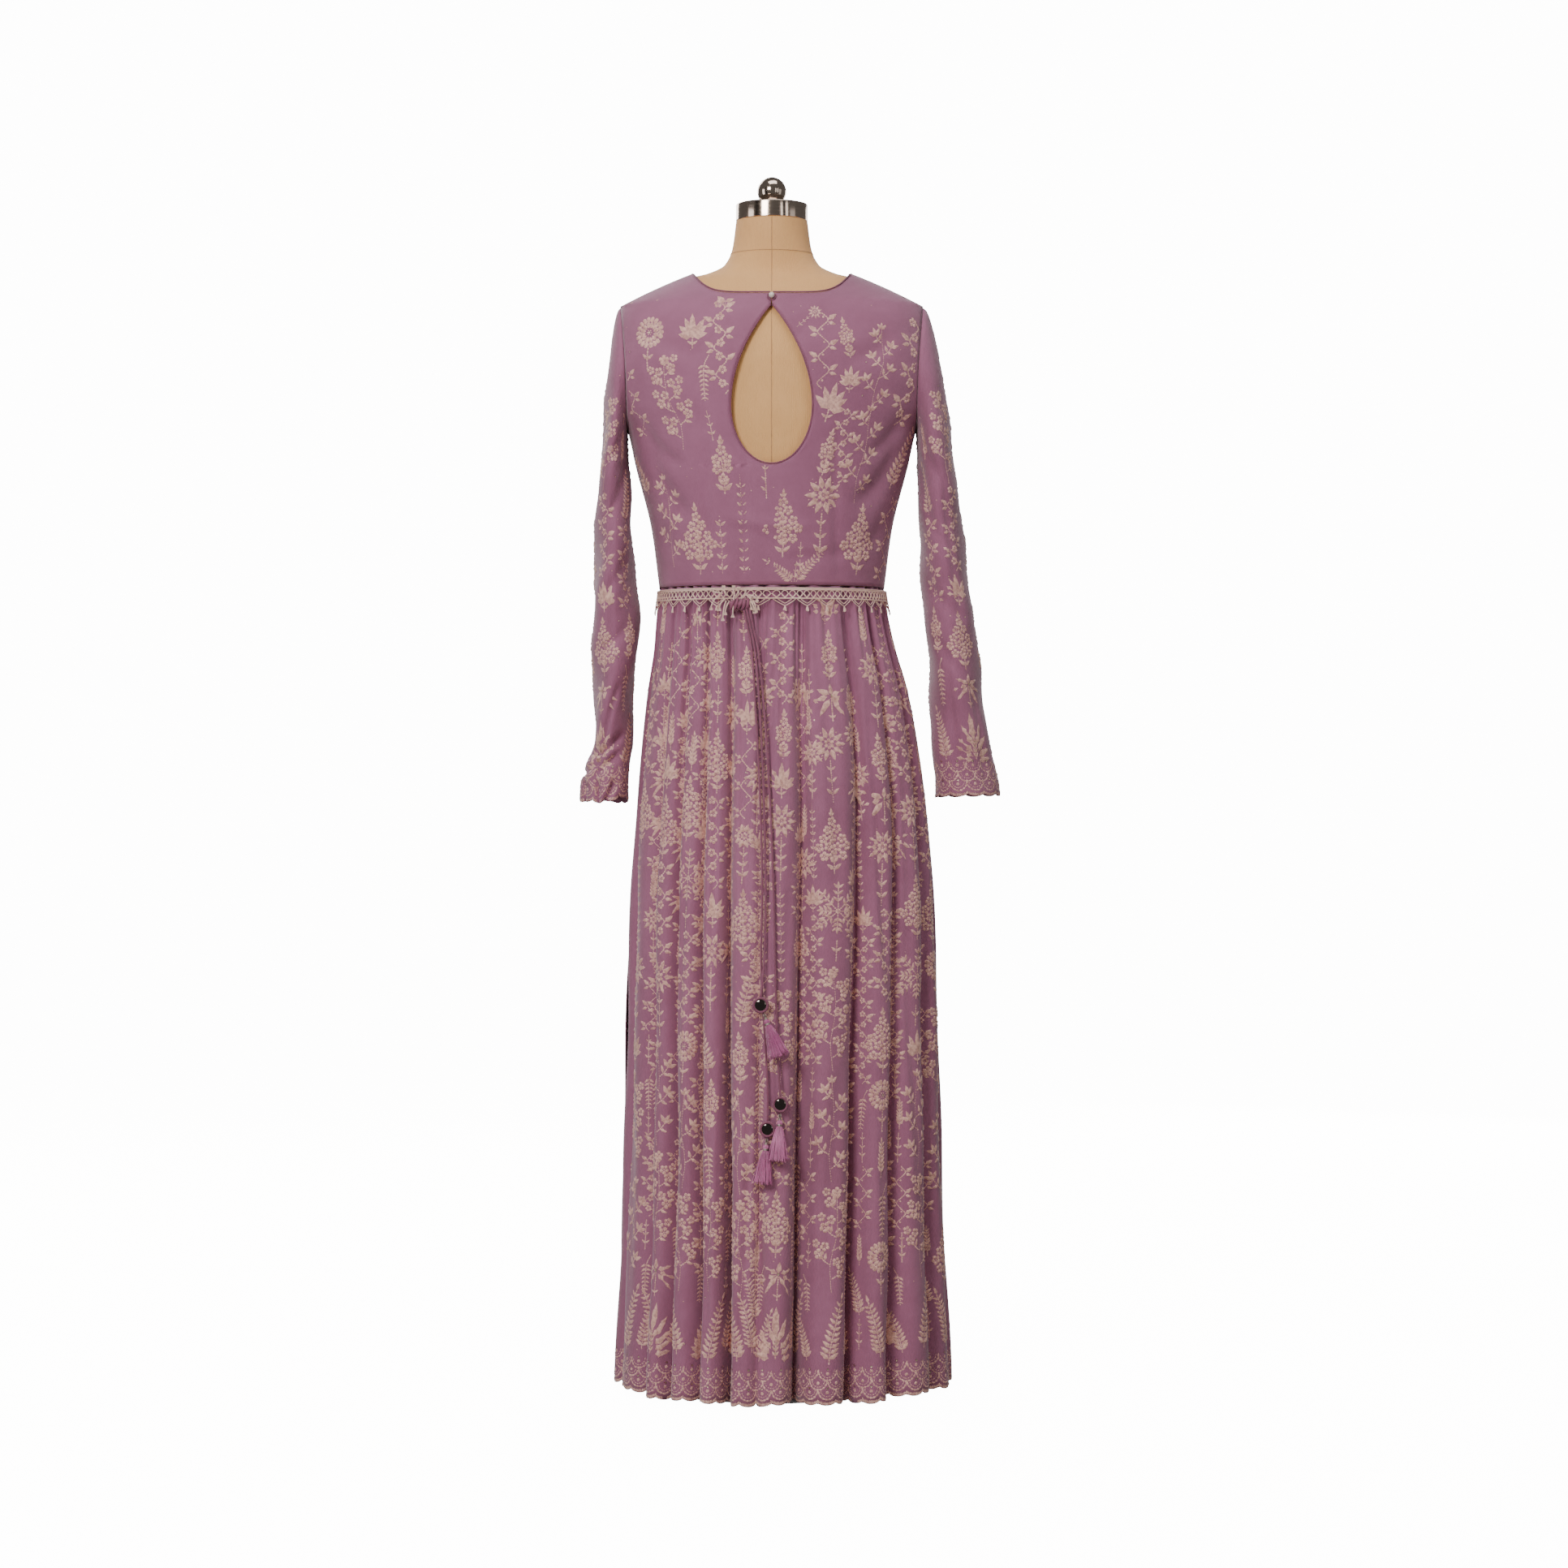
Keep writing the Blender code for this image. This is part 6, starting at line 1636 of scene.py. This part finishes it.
def tree(d, height=118, side=1, buds="leaf"):
    """A branching stem with leaves or rosettes at the ends of its branches."""
    d.stem([(0, 0), (-3 * side, height * 0.3), (3 * side, height * 0.62), (0, height)], 1.6)
    for k, (share, reach, angle) in enumerate(((0.14, 17, 42), (0.28, 20, 140), (0.42, 21, 38), (0.56, 19, 142),
        (0.7, 17, 44), (0.84, 13, 138))):
        x = (-3 if share < 0.45 else 3) * side * math.sin(math.pi * share)
        y = height * share
        a = angle if side > 0 else 180 - angle
        c, s = math.cos(math.radians(a)), math.sin(math.radians(a))
        tip = (x + reach * c, y + reach * s)
        d.stem([(x, y), (x + reach * 0.6 * c, y + reach * 0.45 * s), tip])
        if buds == "leaf":
            for turn in (-50, 0, 50):
                d.leaf(tip[0], tip[1], a * 0.5 + 45 + turn, 11, 5.4)
            d.pair(x + reach * 0.5 * c, y + reach * 0.42 * s, 9.5, 62, a)
        else:
            d.rosette(tip[0], tip[1], 6.6, 5, 20 * k)
            d.rosette(tip[0] - 9 * c, tip[1] + 9, 5.8, 5, 50 * k)
            d.rosette(tip[0] + 6 * c, tip[1] + 12, 5.4, 5, 80 * k)
            d.leaf(x + reach * 0.5 * c, y + reach * 0.4 * s, a - 60, 9)
    if buds == "leaf":
        for turn in (-45, 0, 45):
            d.leaf(0, height, 90 + turn, 9, 4.4)
    else:
        d.rosette(0, height + 2, 6.6)
    return height + 9


def snowflake(d, size=70, stem=26):
    """Leafy sprays that start from one point in eight directions."""
    y = stem + size / 2
    stalk(d, stem, 1, 0, 8)
    for angle, reach in ((90, 1.0), (45, 0.92), (135, 0.92), (0, 0.66), (180, 0.66), (-40, 0.92), (220, 0.92),
        (270, 0.7)):
        c, s = math.cos(math.radians(angle)), math.sin(math.radians(angle))
        length = size * 0.5 * reach
        d.stem([(0, y), (length * 0.8 * c, y + length * 0.8 * s)])
        for share in (0.34, 0.56, 0.78):
            d.pair(length * share * c, y + length * share * s, 8.0, 50, angle)
        d.leaf(length * 0.78 * c, y + length * 0.78 * s, angle, 8)
    return y + size / 2 + 4


def vine(d, height=110, swing=7, side=1, berries=True):
    """A winding stem with a leaf outside each bend and berries inside."""
    steps = max(3, round(height / 15))
    points = [(side * swing * math.sin(math.pi * k / 2), height * k / (2 * steps)) for k in range(2 * steps + 1)]
    d.stem(points)
    for k in range(1, 2 * steps, 2):
        x, y = points[k]
        way = 1 if x > 0 else -1
        d.leaf(x, y, 90 - way * 58, 12, 6)
        d.leaf(x, y - 3, 90 - way * 105, 9, 4.6)
        if berries:
            d.rosette(x - way * 8, y + 5, 5.2, 5, 40 * k)
        else:
            d.bead(x - way * 6, y + 3, 1.8)
    return height


def wisteria(d, length=60, side=1):
    """A chain of small leaves that hangs from a curved stem and thins downwards."""
    d.stem([(0, 0), (2 * side, length * 0.7), (9 * side, length)])
    count = int(length / 7)
    for k in range(count):
        share = (k + 0.5) / count
        d.pair(2.2 * side * share, length * 0.82 * share, 5.5 + 3.6 * share, 60, 270)
    d.bead(0, -1, 1.2)
    return length + 3


def wheat(d, height=44):
    d.stem([(0, 0), (0, height)])
    for k in range(7):
        d.pair(0, height * (0.18 + 0.115 * k), 9.5 - 0.45 * k, 34)
    d.leaf(0, height * 0.95, 90, 7)
    return height + 6


def chain(d, height=120):
    """A thin upright chain of small leaf pairs and beads."""
    d.stem([(0, 0), (0.8, height / 2), (0, height)], 1.1)
    for k in range(int(height / 11)):
        d.pair(0.4, 5 + 11 * k, 7.0, 48)
        d.bead(0, 10 + 11 * k, 1.4)
    return height


MOTIFS = {
    "stalk": lambda d: stalk(d, 46, 3),
    "cluster": cluster,
    "small cluster": lambda d: cluster(d, (1, 2, 2, 1), 5.8, 12),
    "starburst": starburst,
    "small starburst": lambda d: starburst(d, 14, 44),
    "dahlia": dahlia,
    "crown": crown,
    "small crown": lambda d: crown(d, 48, 32),
    "lotus": lotus,
    "droop": droop,
    "fern": fern,
    "left fern": lambda d: fern(d, 64, 20, -1),
    "leafy tree": tree,
    "left tree": lambda d: tree(d, 112, -1),
    "rosette tree": lambda d: tree(d, 116, 1, "rosette"),
    "left rosette tree": lambda d: tree(d, 108, -1, "rosette"),
    "snowflake": snowflake,
    "vine": vine,
    "left vine": lambda d: vine(d, 96, 7, -1, False),
    "wisteria": wisteria,
    "left wisteria": lambda d: wisteria(d, 54, -1),
    "wheat": wheat,
    "chain": chain,
    "short chain": lambda d: chain(d, 55),
}


def drawn(name):
    motif = Drawing()
    height = MOTIFS[name](motif)
    return motif.rows, height


LIBRARY = {name: drawn(name) for name in MOTIFS}
print("motifs:", {name: (len(rows), round(height)) for name, (rows, height) in LIBRARY.items()})

# %% [markdown]
# ## Laying the thread-work
# Every shape of every motif on a piece of cloth is gathered first, and then all of one kind are
# laid at once. Faces that would cross a seam, the neckline or the keyhole are left out, as an
# embroiderer stops at the edge.


# %% Laying shapes on cloth
# What follows in a column once its own list has run out.
FILLING = ("small cluster", "vine", "lotus", "chain", "starburst", "wheat", "left vine", "droop", "stalk")


class Stitching:
    """All thread-work on one piece of cloth."""

    def __init__(self, cloth):
        self.cloth = cloth
        self.laid = {kind: [] for kind in SHAPES}

    def motif(self, name, across, z, dx=0.0, scale=1.0, lean=0.0):
        """Draws a motif with its foot at a place on the cloth, moved sideways by dx metres and leaned in degrees."""
        rows, height = LIBRARY[name]
        self.shapes(rows, across, z, dx, scale, lean)
        return height * scale * 0.001

    def shapes(self, rows, across, z, dx=0.0, scale=1.0, lean=0.0):
        c, s = math.cos(math.radians(lean)), math.sin(math.radians(lean))
        for kind, x, y, angle, length, width in rows:
            unit_scale = 0.001 * scale
            wobble = random.uniform(-5, 5)
            self.laid[kind].append(
                (across, z, dx + (x * c - y * s) * unit_scale, (x * s + y * c) * unit_scale,
                 math.radians(angle + lean + wobble), length * unit_scale, width * unit_scale)
            )

    def column(self, names, across, z, top, dx=0.0, scale=1.0, gap=0.004):
        """Motifs one above another, until the next would pass the top."""
        k = 0
        while True:
            name = names[k] if k < len(names) else FILLING[(k + round(100 * abs(across))) % len(FILLING)]
            height = LIBRARY[name][1] * scale * 0.001
            if z + height > top and height > 0.07:
                name, height = "stalk", LIBRARY["stalk"][1] * scale * 0.001
            if z + height > top:
                return
            self.motif(name, across, z, dx + random.uniform(-0.002, 0.002), scale, random.uniform(-3, 3))
            z += height + gap
            k += 1

    def border(self, low, rows_of_scales=3, tall=12.0):
        """The scalloped edge: a bound rim, and rows of scales with a dot in each."""
        cloth = self.cloth
        first, _, pitch, count = edge_of(cloth, low)
        drop = lambda along: hem_drop(along / pitch * SCALLOP_PITCH)
        row = cloth.row_of(low + 0.004)
        start = float(cloth.arc_at(np.array(first), np.array(low + 0.004)))
        for k in range(count):
            middle = float(cloth.read(cloth.inverse, np.array((start + (k + 0.5) * pitch) / cloth.step),
                np.array(row)))
            if math.isnan(middle):
                continue
            unit_pitch = pitch * 1000
            sway = float(hem_sway(cloth, np.array(middle)))
            d = Drawing()
            for j in range(13):
                x = (j + 0.5) / 13 - 0.5
                rise = (float(drop((x + 0.5) * pitch)) + sway) * 1000
                d.add("stitch", x * unit_pitch, rise - 0.5, 90 - 24 * x, 5.6, 2.6)
            for j in range(rows_of_scales):
                foot = 7.5 + tall * j + 1000 * sway * (1 - j / rows_of_scales)
                for shift in ((0.0,) if j % 2 == 0 else (0.5,)):
                    arc = [((shift + 0.5 * math.sin(a)) * unit_pitch, foot + tall * (1 - math.cos(a)))
                        for a in np.linspace(-1.5, 1.5, 9)]
                    d.stem(arc, 3.2)
                    inner = [(x * 0.72 + shift * unit_pitch * 0.28, foot + 3.4 + (y - foot) * 0.72) for x, y in arc]
                    d.stem(inner, 1.6)
                    d.bead(shift * unit_pitch, foot + 8.0, 2.4)
                    if j != 1:
                        d.sequin(shift * unit_pitch, foot + tall + 1.0, 1.3)
            self.shapes(d.rows, middle, low)

    def sprinkle(self, count, z_low, z_high):
        """Loose sequins and beads on the open ground."""
        low, high = self.cloth.across[0], self.cloth.across[-1]
        for _ in range(count):
            across, z = random.uniform(low, high), random.uniform(z_low, z_high)
            kind = random.choice(("bead", "bead", "sequin"))
            self.laid[kind].append((across, z, 0.0, 0.0, random.uniform(0, 1), 0.0009, 0.0018))

    def finish(self, name):
        points, faces, places, parts = [], [], [], []
        base = 0
        for kind, rows in self.laid.items():
            if not rows:
                continue
            shape, shape_faces, lift = SHAPES[kind]
            shape, shape_faces = np.array(shape, float), np.array(shape_faces)
            row = np.array(rows)[:, :, None]
            along, across = shape[:, 0] * row[:, 5], shape[:, 1] * row[:, 6] / 2
            c, s = np.cos(row[:, 4]), np.sin(row[:, 4])
            dx, dz = row[:, 2] + along * c - across * s, row[:, 3] + along * s + across * c
            start = np.broadcast_to(row[:, 0], dx.shape)
            height = np.broadcast_to(row[:, 1], dx.shape)
            place, z, good = self.cloth.lay(start, height, dx, dz)
            size = np.clip(row[:, 6] / 0.004, 0.5, 1.3)
            raised = -0.00015 + shape[:, 2] * lift * size
            laid, _ = self.cloth.points(place, z, raised)
            whole = good.all(axis=1)
            count = int(whole.sum())
            points.append(laid[whole].reshape(-1, 3))
            places.append(np.stack([along, across], axis=-1)[whole].reshape(-1, 2))
            offsets = base + np.arange(count)[:, None, None] * len(shape)
            turned = shape_faces if self.cloth.turn > 0 else shape_faces[:, ::-1]
            faces.append((turned[None] + offsets).reshape(-1, 3))
            parts.append(np.full(len(faces[-1]), 1 if kind == "sequin" else 0))
            base += count * len(shape)
        points, faces = np.concatenate(points), np.concatenate(faces)
        thing = build(
            name, points, faces, None, np.concatenate(places), np.concatenate(parts),
                [THREAD, SEQUIN],
            smooth=True,
        )
        print(name, "has", len(faces), "triangles")
        return thing


# %% [markdown]
# ## Where the motifs stand
# Columns rise from the border to the waist. A column runs up the crest of each fold, where it
# shows, and a narrower one up each valley. Crowns, ferns and broad leaves stand lowest; trees,
# clusters, starry flowers and palms follow. The sequences differ from fold to fold.

# %% Skirt thread-work
# One list for each fold behind, from the left side to the right, as the photograph shows them.
CREST_PLANS = [
    ["fern", "leafy tree", "rosette tree", "lotus", "starburst", "chain", "cluster", "vine", "stalk"],
    ["crown", "droop", "rosette tree", "leafy tree", "starburst", "vine", "cluster", "lotus"],
    ["left fern", "left rosette tree", "left tree", "dahlia", "vine", "snowflake", "cluster", "wheat"],
    ["fern", "rosette tree", "left wisteria", "small cluster", "left fern", "starburst", "lotus", "vine", "cluster"],
    ["left fern", "left rosette tree", "leafy tree", "small cluster", "fern", "cluster", "small starburst",
        "left vine", "lotus"],
    ["crown", "droop", "cluster", "vine", "left rosette tree", "chain", "starburst", "lotus", "small cluster"],
    ["fern", "rosette tree", "leafy tree", "rosette tree", "snowflake", "cluster", "starburst", "droop",
        "small cluster"],
    ["left fern", "dahlia", "wisteria", "wheat", "dahlia", "cluster", "vine", "starburst", "droop", "small cluster"],
    ["fern", "rosette tree", "left tree", "lotus", "snowflake", "cluster", "starburst", "vine"],
    ["left fern", "cluster", "leafy tree", "rosette tree", "dahlia", "cluster", "vine", "wheat"],
]
VALLEY_PLANS = [
    ["small crown", "wisteria", "vine", "wheat", "left vine", "stalk", "vine", "stalk"],
    ["left fern", "left wisteria", "stalk", "left vine", "wisteria", "stalk", "vine"],
    ["fern", "vine", "left wisteria", "stalk", "wheat", "vine", "small cluster"],
    ["small crown", "stalk", "left vine", "wheat", "vine", "stalk", "left vine"],
]
# Narrow motifs that fill the ground beside a fold's own column.
SIDE_PLANS = [
    ["left fern", "left wisteria", "stalk", "left vine", "stalk", "wheat", "stalk", "vine"],
    ["fern", "wisteria", "stalk", "vine", "stalk", "wisteria", "stalk", "left vine"],
    ["stalk", "left fern", "wheat", "left vine", "stalk", "wisteria", "vine"],
    ["fern", "stalk", "wisteria", "vine", "stalk", "left vine", "wheat", "stalk"],
]
STITCHED = {}


def skirt_threads(key, first, last, shift):
    work = Stitching(GOWN[key])
    work.border(HEM_Z)
    base = HEM_Z + 0.05
    for k in range(math.ceil(first - 0.5), math.floor(last - 0.5) + 1):
        fold = k + 0.5
        if first + 0.15 < fold < last - 0.15:
            plan = CREST_PLANS[(k + shift) % len(CREST_PLANS)]
            work.column(plan, fold, base + 0.004 * (k % 3), WAIST_Z - 0.004)
            for side in (-0.029, 0.029):
                plan = SIDE_PLANS[(2 * k + shift + (side > 0)) % len(SIDE_PLANS)]
                work.column(plan, fold, base + 0.004 + 0.009 * (k % 2), WAIST_Z - 0.1, side, 0.78)
    for k in range(math.ceil(first), math.floor(last) + 1):
        plan = VALLEY_PLANS[(k + shift) % len(VALLEY_PLANS)]
        work.column(plan, float(k), base + 0.004 + 0.006 * (k % 3), WAIST_Z - 0.06, 0.005 * (-1) ** k, 0.95)
    work.sprinkle(260, HEM_Z + 0.05, WAIST_Z - 0.02)
    return work.finish("embroidery on the " + key)


for key, first, last, shift in (("skirt back", -0.5, 10.5, 0), ("skirt front", 10.5, 20.5, 3)):
    STITCHED[key] = [skirt_threads(key, first, last, shift)]

# %% [markdown]
# ## Thread-work on the bodice and sleeves
# The bodice's motifs stand where the photograph shows them; the parts it hides carry the same
# kinds. A sleeve has a vine high up, then broad leaves and clusters, and a border like the hem's.

# %% Bodice and sleeve thread-work
BODICE_BACK_MOTIFS = [
    # Motif, place across and height of its foot in metres, scale and lean.
    ("cluster", 0.013, 1.01, 1.04, 0),
    ("starburst", 0.057, 1.005, 1.12, 0),
    ("stalk", -0.006, 1.08, 1.0, 2),
    ("chain", -0.033, 0.99, 1.0, 0),
    ("stalk", 0.027, 0.981, 0.55, -6),
    ("left fern", 0.025, 0.981, 0.6, 34),
    ("fern", 0.029, 0.981, 0.66, -26),
    ("small cluster", -0.056, 1.086, 1.15, 0),
    ("small cluster", 0.06, 1.108, 0.95, -10),
    ("lotus", 0.064, 1.172, 1.15, -8),
    ("left vine", 0.061, 1.212, 0.98, 0),
    ("starburst", 0.03, 1.288, 0.42, -50),
    ("stalk", -0.07, 1.15, 0.8, 6),
    ("vine", -0.056, 1.206, 1.05, 4),
    ("lotus", -0.096, 1.262, 1.05, 0),
    ("left rosette tree", -0.106, 1.14, 1.0, 4),
    ("dahlia", -0.15, 1.238, 1.05, 0),
    ("left vine", -0.154, 1.16, 0.85, 3),
    ("left fern", -0.15, 1.09, 1.0, 8),
    ("vine", 0.15, 1.172, 1.2, -6),
    ("leafy tree", 0.118, 1.182, 0.9, -4),
    ("leafy tree", 0.1, 1.076, 0.95, 0),
    ("small cluster", 0.096, 1.25, 0.85, 10),
    ("fern", 0.144, 1.096, 1.1, -6),
    ("lotus", 0.093, 1.208, 0.8, 0),
    ("lotus", -0.056, 1.312, 0.62, 6),
    ("cluster", -0.086, 0.99, 1.1, 0),
    ("leafy tree", -0.118, 1.0, 0.9, 0),
    ("cluster", 0.102, 0.99, 1.1, 0),
    ("left vine", 0.132, 0.986, 1.05, 0),
    ("short chain", -0.059, 0.99, 1.2, 0),
    ("stalk", 0.034, 0.992, 0.8, 0),
    ("vine", 0.08, 1.1, 0.8, 0),
    ("wisteria", -0.08, 1.2, 0.9, 0),
]
BODICE_FRONT_MOTIFS = [
    ("cluster", 0.0, 0.99, 1.12, 0),
    ("snowflake", 0.0, 1.075, 1.08, 0),
    ("rosette tree", 0.0, 1.165, 0.9, 0),
    ("starburst", -0.048, 0.99, 1.12, 0),
    ("starburst", 0.048, 0.99, 1.12, 0),
    ("leafy tree", -0.048, 1.095, 1.08, 0),
    ("left tree", 0.048, 1.095, 1.08, 0),
    ("lotus", -0.05, 1.21, 1.08, 0),
    ("lotus", 0.05, 1.21, 1.08, 0),
    ("vine", -0.096, 0.99, 1.12, 0),
    ("left vine", 0.096, 0.99, 1.12, 0),
    ("cluster", -0.1, 1.1, 1.12, 0),
    ("cluster", 0.1, 1.1, 1.12, 0),
    ("rosette tree", -0.108, 1.19, 1.08, 0),
    ("left rosette tree", 0.108, 1.19, 1.08, 0),
    ("fern", -0.146, 1.13, 1.1, 0),
    ("left fern", 0.146, 1.13, 1.1, 0),
    ("dahlia", -0.154, 1.236, 0.85, 0),
    ("dahlia", 0.154, 1.236, 0.85, 0),
    ("starburst", -0.133, 0.99, 0.85, 0),
    ("starburst", 0.133, 0.99, 0.85, 0),
]
for key, side, plan in (("bodice back", -1, BODICE_BACK_MOTIFS), ("bodice front", 1, BODICE_FRONT_MOTIFS)):
    work = Stitching(GOWN[key])
    for name, x, z, scale, lean in plan:
        share = min(abs(x) / float(bodice_half_width(z)), 1.0)
        work.motif(name, math.copysign(math.asin(share) * 2 / math.pi, x), z, 0.0, scale, lean)
    work.sprinkle(90, 0.99, 1.34)
    STITCHED[key] = [work.finish("embroidery on the " + key)]

SLEEVE_PLANS = [
    # Angle round the sleeve in degrees (behind is -90), sideways step, and the motifs from the border up.
    (-90, 0.014, ["crown", "droop", "cluster", "lotus", "vine", "rosette tree", "starburst"]),
    (-90, -0.024, ["left fern", "wisteria", "small cluster", "vine", "left fern", "wheat", "vine", "wheat"]),
    (0, 0.0, ["fern", "rosette tree", "leafy tree", "cluster", "starburst"]),
    (90, 0.0, ["crown", "cluster", "lotus", "left vine", "snowflake", "rosette tree"]),
    (90, 0.046, ["left fern", "vine", "wheat", "chain", "left vine"]),
    (180, -0.012, ["small crown", "vine", "chain", "wheat"]),
]
for key, half in (("left sleeve", -1), ("right sleeve", 1)):
    work = Stitching(GOWN[key])
    work.border(CUFF_Z[half])
    for angle, dx, plan in SLEEVE_PLANS:
        place = math.radians(angle)
        top = float(sleeve_start_z(place)) - 0.01
        start = 0.046
        work.column(plan, place, CUFF_Z[half] + start, top, dx, 0.92)
    work.sprinkle(70, CUFF_Z[half] + 0.04, 1.3)
    STITCHED[key] = [work.finish("embroidery on the " + key)]

# %% [markdown]
# ## Floor, backdrop and light
# One pale round room stands about the form, so that no horizon shows from any side. Large soft
# lights stand left and right of the camera, behind and overhead, and two dark cards give the chrome
# something to reflect. None of them shows in the picture.

# %% Floor, backdrop and light
PAPER_GLOW = 14.0
AIR_GLOW = 0.13


def pale_paper():
    material, tree, shader = new_material("pale paper", 0.9)
    place = add_node(tree, "ShaderNodeTexCoord").outputs["Object"]
    grain = add_node(tree, "ShaderNodeTexNoise", {"Vector": place, "Scale": 3.0, "Detail": 3.0}).outputs[0]
    tree.links.new(blend_colours(tree, grain, (0.9, 0.9, 0.89, 1), (0.94, 0.94, 0.93, 1)),
        shader.inputs["Base Color"])
    shader.inputs["Emission Color"].default_value = (1.0, 0.995, 0.985, 1)
    shader.inputs["Emission Strength"].default_value = PAPER_GLOW
    return material


def pale_room(radius=9.0, bend=2.0, tall=9.0, sides=96):
    """A round room without corners: its floor bends up into the wall, so it is plain from every side."""
    profile = [(0.01, 0.0), (radius - bend, 0.0)]
    profile += [(radius - bend + bend * math.sin(a), bend - bend * math.cos(a))
        for a in np.linspace(0.1, math.pi / 2, 12)]
    profile += [(radius, tall), (0.01, tall)]
    points = [(r * math.cos(a), r * math.sin(a), z) for r, z in profile
        for a in np.linspace(0, 2 * math.pi, sides, endpoint=False)]
    mesh = bpy.data.meshes.new("pale room")
    faces = [tuple(int(v) for v in q) for q in grid_faces(len(profile), sides, closed=True)]
    faces += [tuple(range(sides)), tuple(range((len(profile) - 1) * sides, len(profile) * sides))]
    mesh.from_pydata(points, [], faces)
    mesh.materials.append(pale_paper())
    thing = bpy.data.objects.new("pale room", mesh)
    bpy.context.scene.collection.objects.link(thing)
    thing.visible_diffuse = False
    thing.visible_glossy = False
    thing.visible_shadow = False
    return thing


def soft_light(name, place, target, size, power, colour):
    data = bpy.data.lights.new(name, "AREA")
    data.shape, data.size, data.size_y = "RECTANGLE", size[0], size[1]
    data.energy, data.color = power, colour
    light = bpy.data.objects.new(name, data)
    light.location = place
    light.rotation_euler = (Vector(target) - Vector(place)).to_track_quat("-Z", "Y").to_euler()
    light.visible_camera = False
    bpy.context.scene.collection.objects.link(light)
    return light


def dark_card(name, place, size):
    wide, tall = size
    mesh = bpy.data.meshes.new(name)
    mesh.from_pydata([(-wide, 0, -tall), (wide, 0, -tall), (wide, 0, tall), (-wide, 0, tall)], [], [(0, 1, 2, 3)])
    material, tree, shader = new_material("dark card", 0.9)
    where = add_node(tree, "ShaderNodeTexCoord").outputs["Object"]
    nap = add_node(tree, "ShaderNodeTexNoise", {"Vector": where, "Scale": 20.0}).outputs[0]
    tree.links.new(blend_colours(tree, nap, (0.01, 0.008, 0.007, 1), (0.03, 0.024, 0.02, 1)),
        shader.inputs["Base Color"])
    mesh.materials.append(material)
    thing = bpy.data.objects.new(name, mesh)
    thing.location = place
    thing.rotation_euler = (0, 0, math.atan2(-place[0], place[1]) + math.pi)
    thing.visible_diffuse = False
    thing.visible_camera = False
    bpy.context.scene.collection.objects.link(thing)
    return thing


backdrop = pale_room()
cards = [dark_card("dark card left", (-2.6, -2.4, 1.6), (0.5, 1.6)),
    dark_card("dark card right", (2.4, -2.8, 1.6), (0.35, 1.6))]
lights = [
    soft_light("key light", (-1.5, -3.6, 2.7), (0, 0, 0.8), (1.3, 1.3), 116, (1.0, 0.965, 0.93)),
    soft_light("fill light", (2.6, -3.0, 1.7), (0, 0, 0.8), (1.6, 2.2), 26, (1.0, 0.97, 0.94)),
    soft_light("top light", (0.2, -0.6, 3.6), (0, 0, 0.9), (2.0, 1.2), 30, (1.0, 0.97, 0.95)),
    soft_light("back light", (-1.2, 2.6, 2.6), (0, 0, 0.9), (2.0, 2.0), 70, (1.0, 0.98, 0.96)),
    soft_light("low back light", (1.6, 3.4, 1.2), (0, 0, 0.7), (1.6, 2.0), 34, (1.0, 0.98, 0.96)),
    soft_light("warm floor light", (0.2, -1.9, 0.12), (0, 0, 0.16), (2.6, 0.3), 4.0, (1.0, 0.72, 0.45)),
    soft_light("left side light", (-3.4, -1.2, 1.2), (0, 0, 0.9), (1.2, 2.2), 22, (1.0, 0.97, 0.95)),
    soft_light("right side light", (3.4, -1.2, 1.2), (0, 0, 0.9), (1.2, 2.2), 5, (1.0, 0.97, 0.95)),
]
bpy.data.objects["warm floor light"].visible_glossy = False
world = bpy.data.worlds.new("studio air")
world.use_nodes = True
world.node_tree.nodes["Background"].inputs["Color"].default_value = (1.0, 0.97, 0.94, 1)
world.node_tree.nodes["Background"].inputs["Strength"].default_value = AIR_GLOW
bpy.context.scene.world = world
print("lights:", len(lights), "cards:", len(cards))

# %% [markdown]
# ## Cloth areas
# Each piece of cloth prints its area and the share of its flat cut that it covers; the pieces
# that go with it are passed along but not used.

# %% Cloth areas
def declare(thing, flat, pieces=()):
    area = flat_area(thing)
    share = area / (flat[0] * flat[1])
    list(pieces)
    print(thing.name, "covers", round(area, 3), "m2, share of its cut", round(share, 2))


declare(skirt_back, (1.0, 0.97), STITCHED["skirt back"] + lace_back)
declare(skirt_front, (0.98, 0.97), STITCHED["skirt front"] + lace_front)
declare(bodice_back, (0.42, 0.4), STITCHED["bodice back"] + [keyhole_roll, pearl, button_loop])
declare(bodice_front, (0.44, 0.4), STITCHED["bodice front"] + [neck_roll])
declare(sleeve_left, (0.27, 0.6), STITCHED["left sleeve"])
declare(sleeve_right, (0.28, 0.6), STITCHED["right sleeve"])
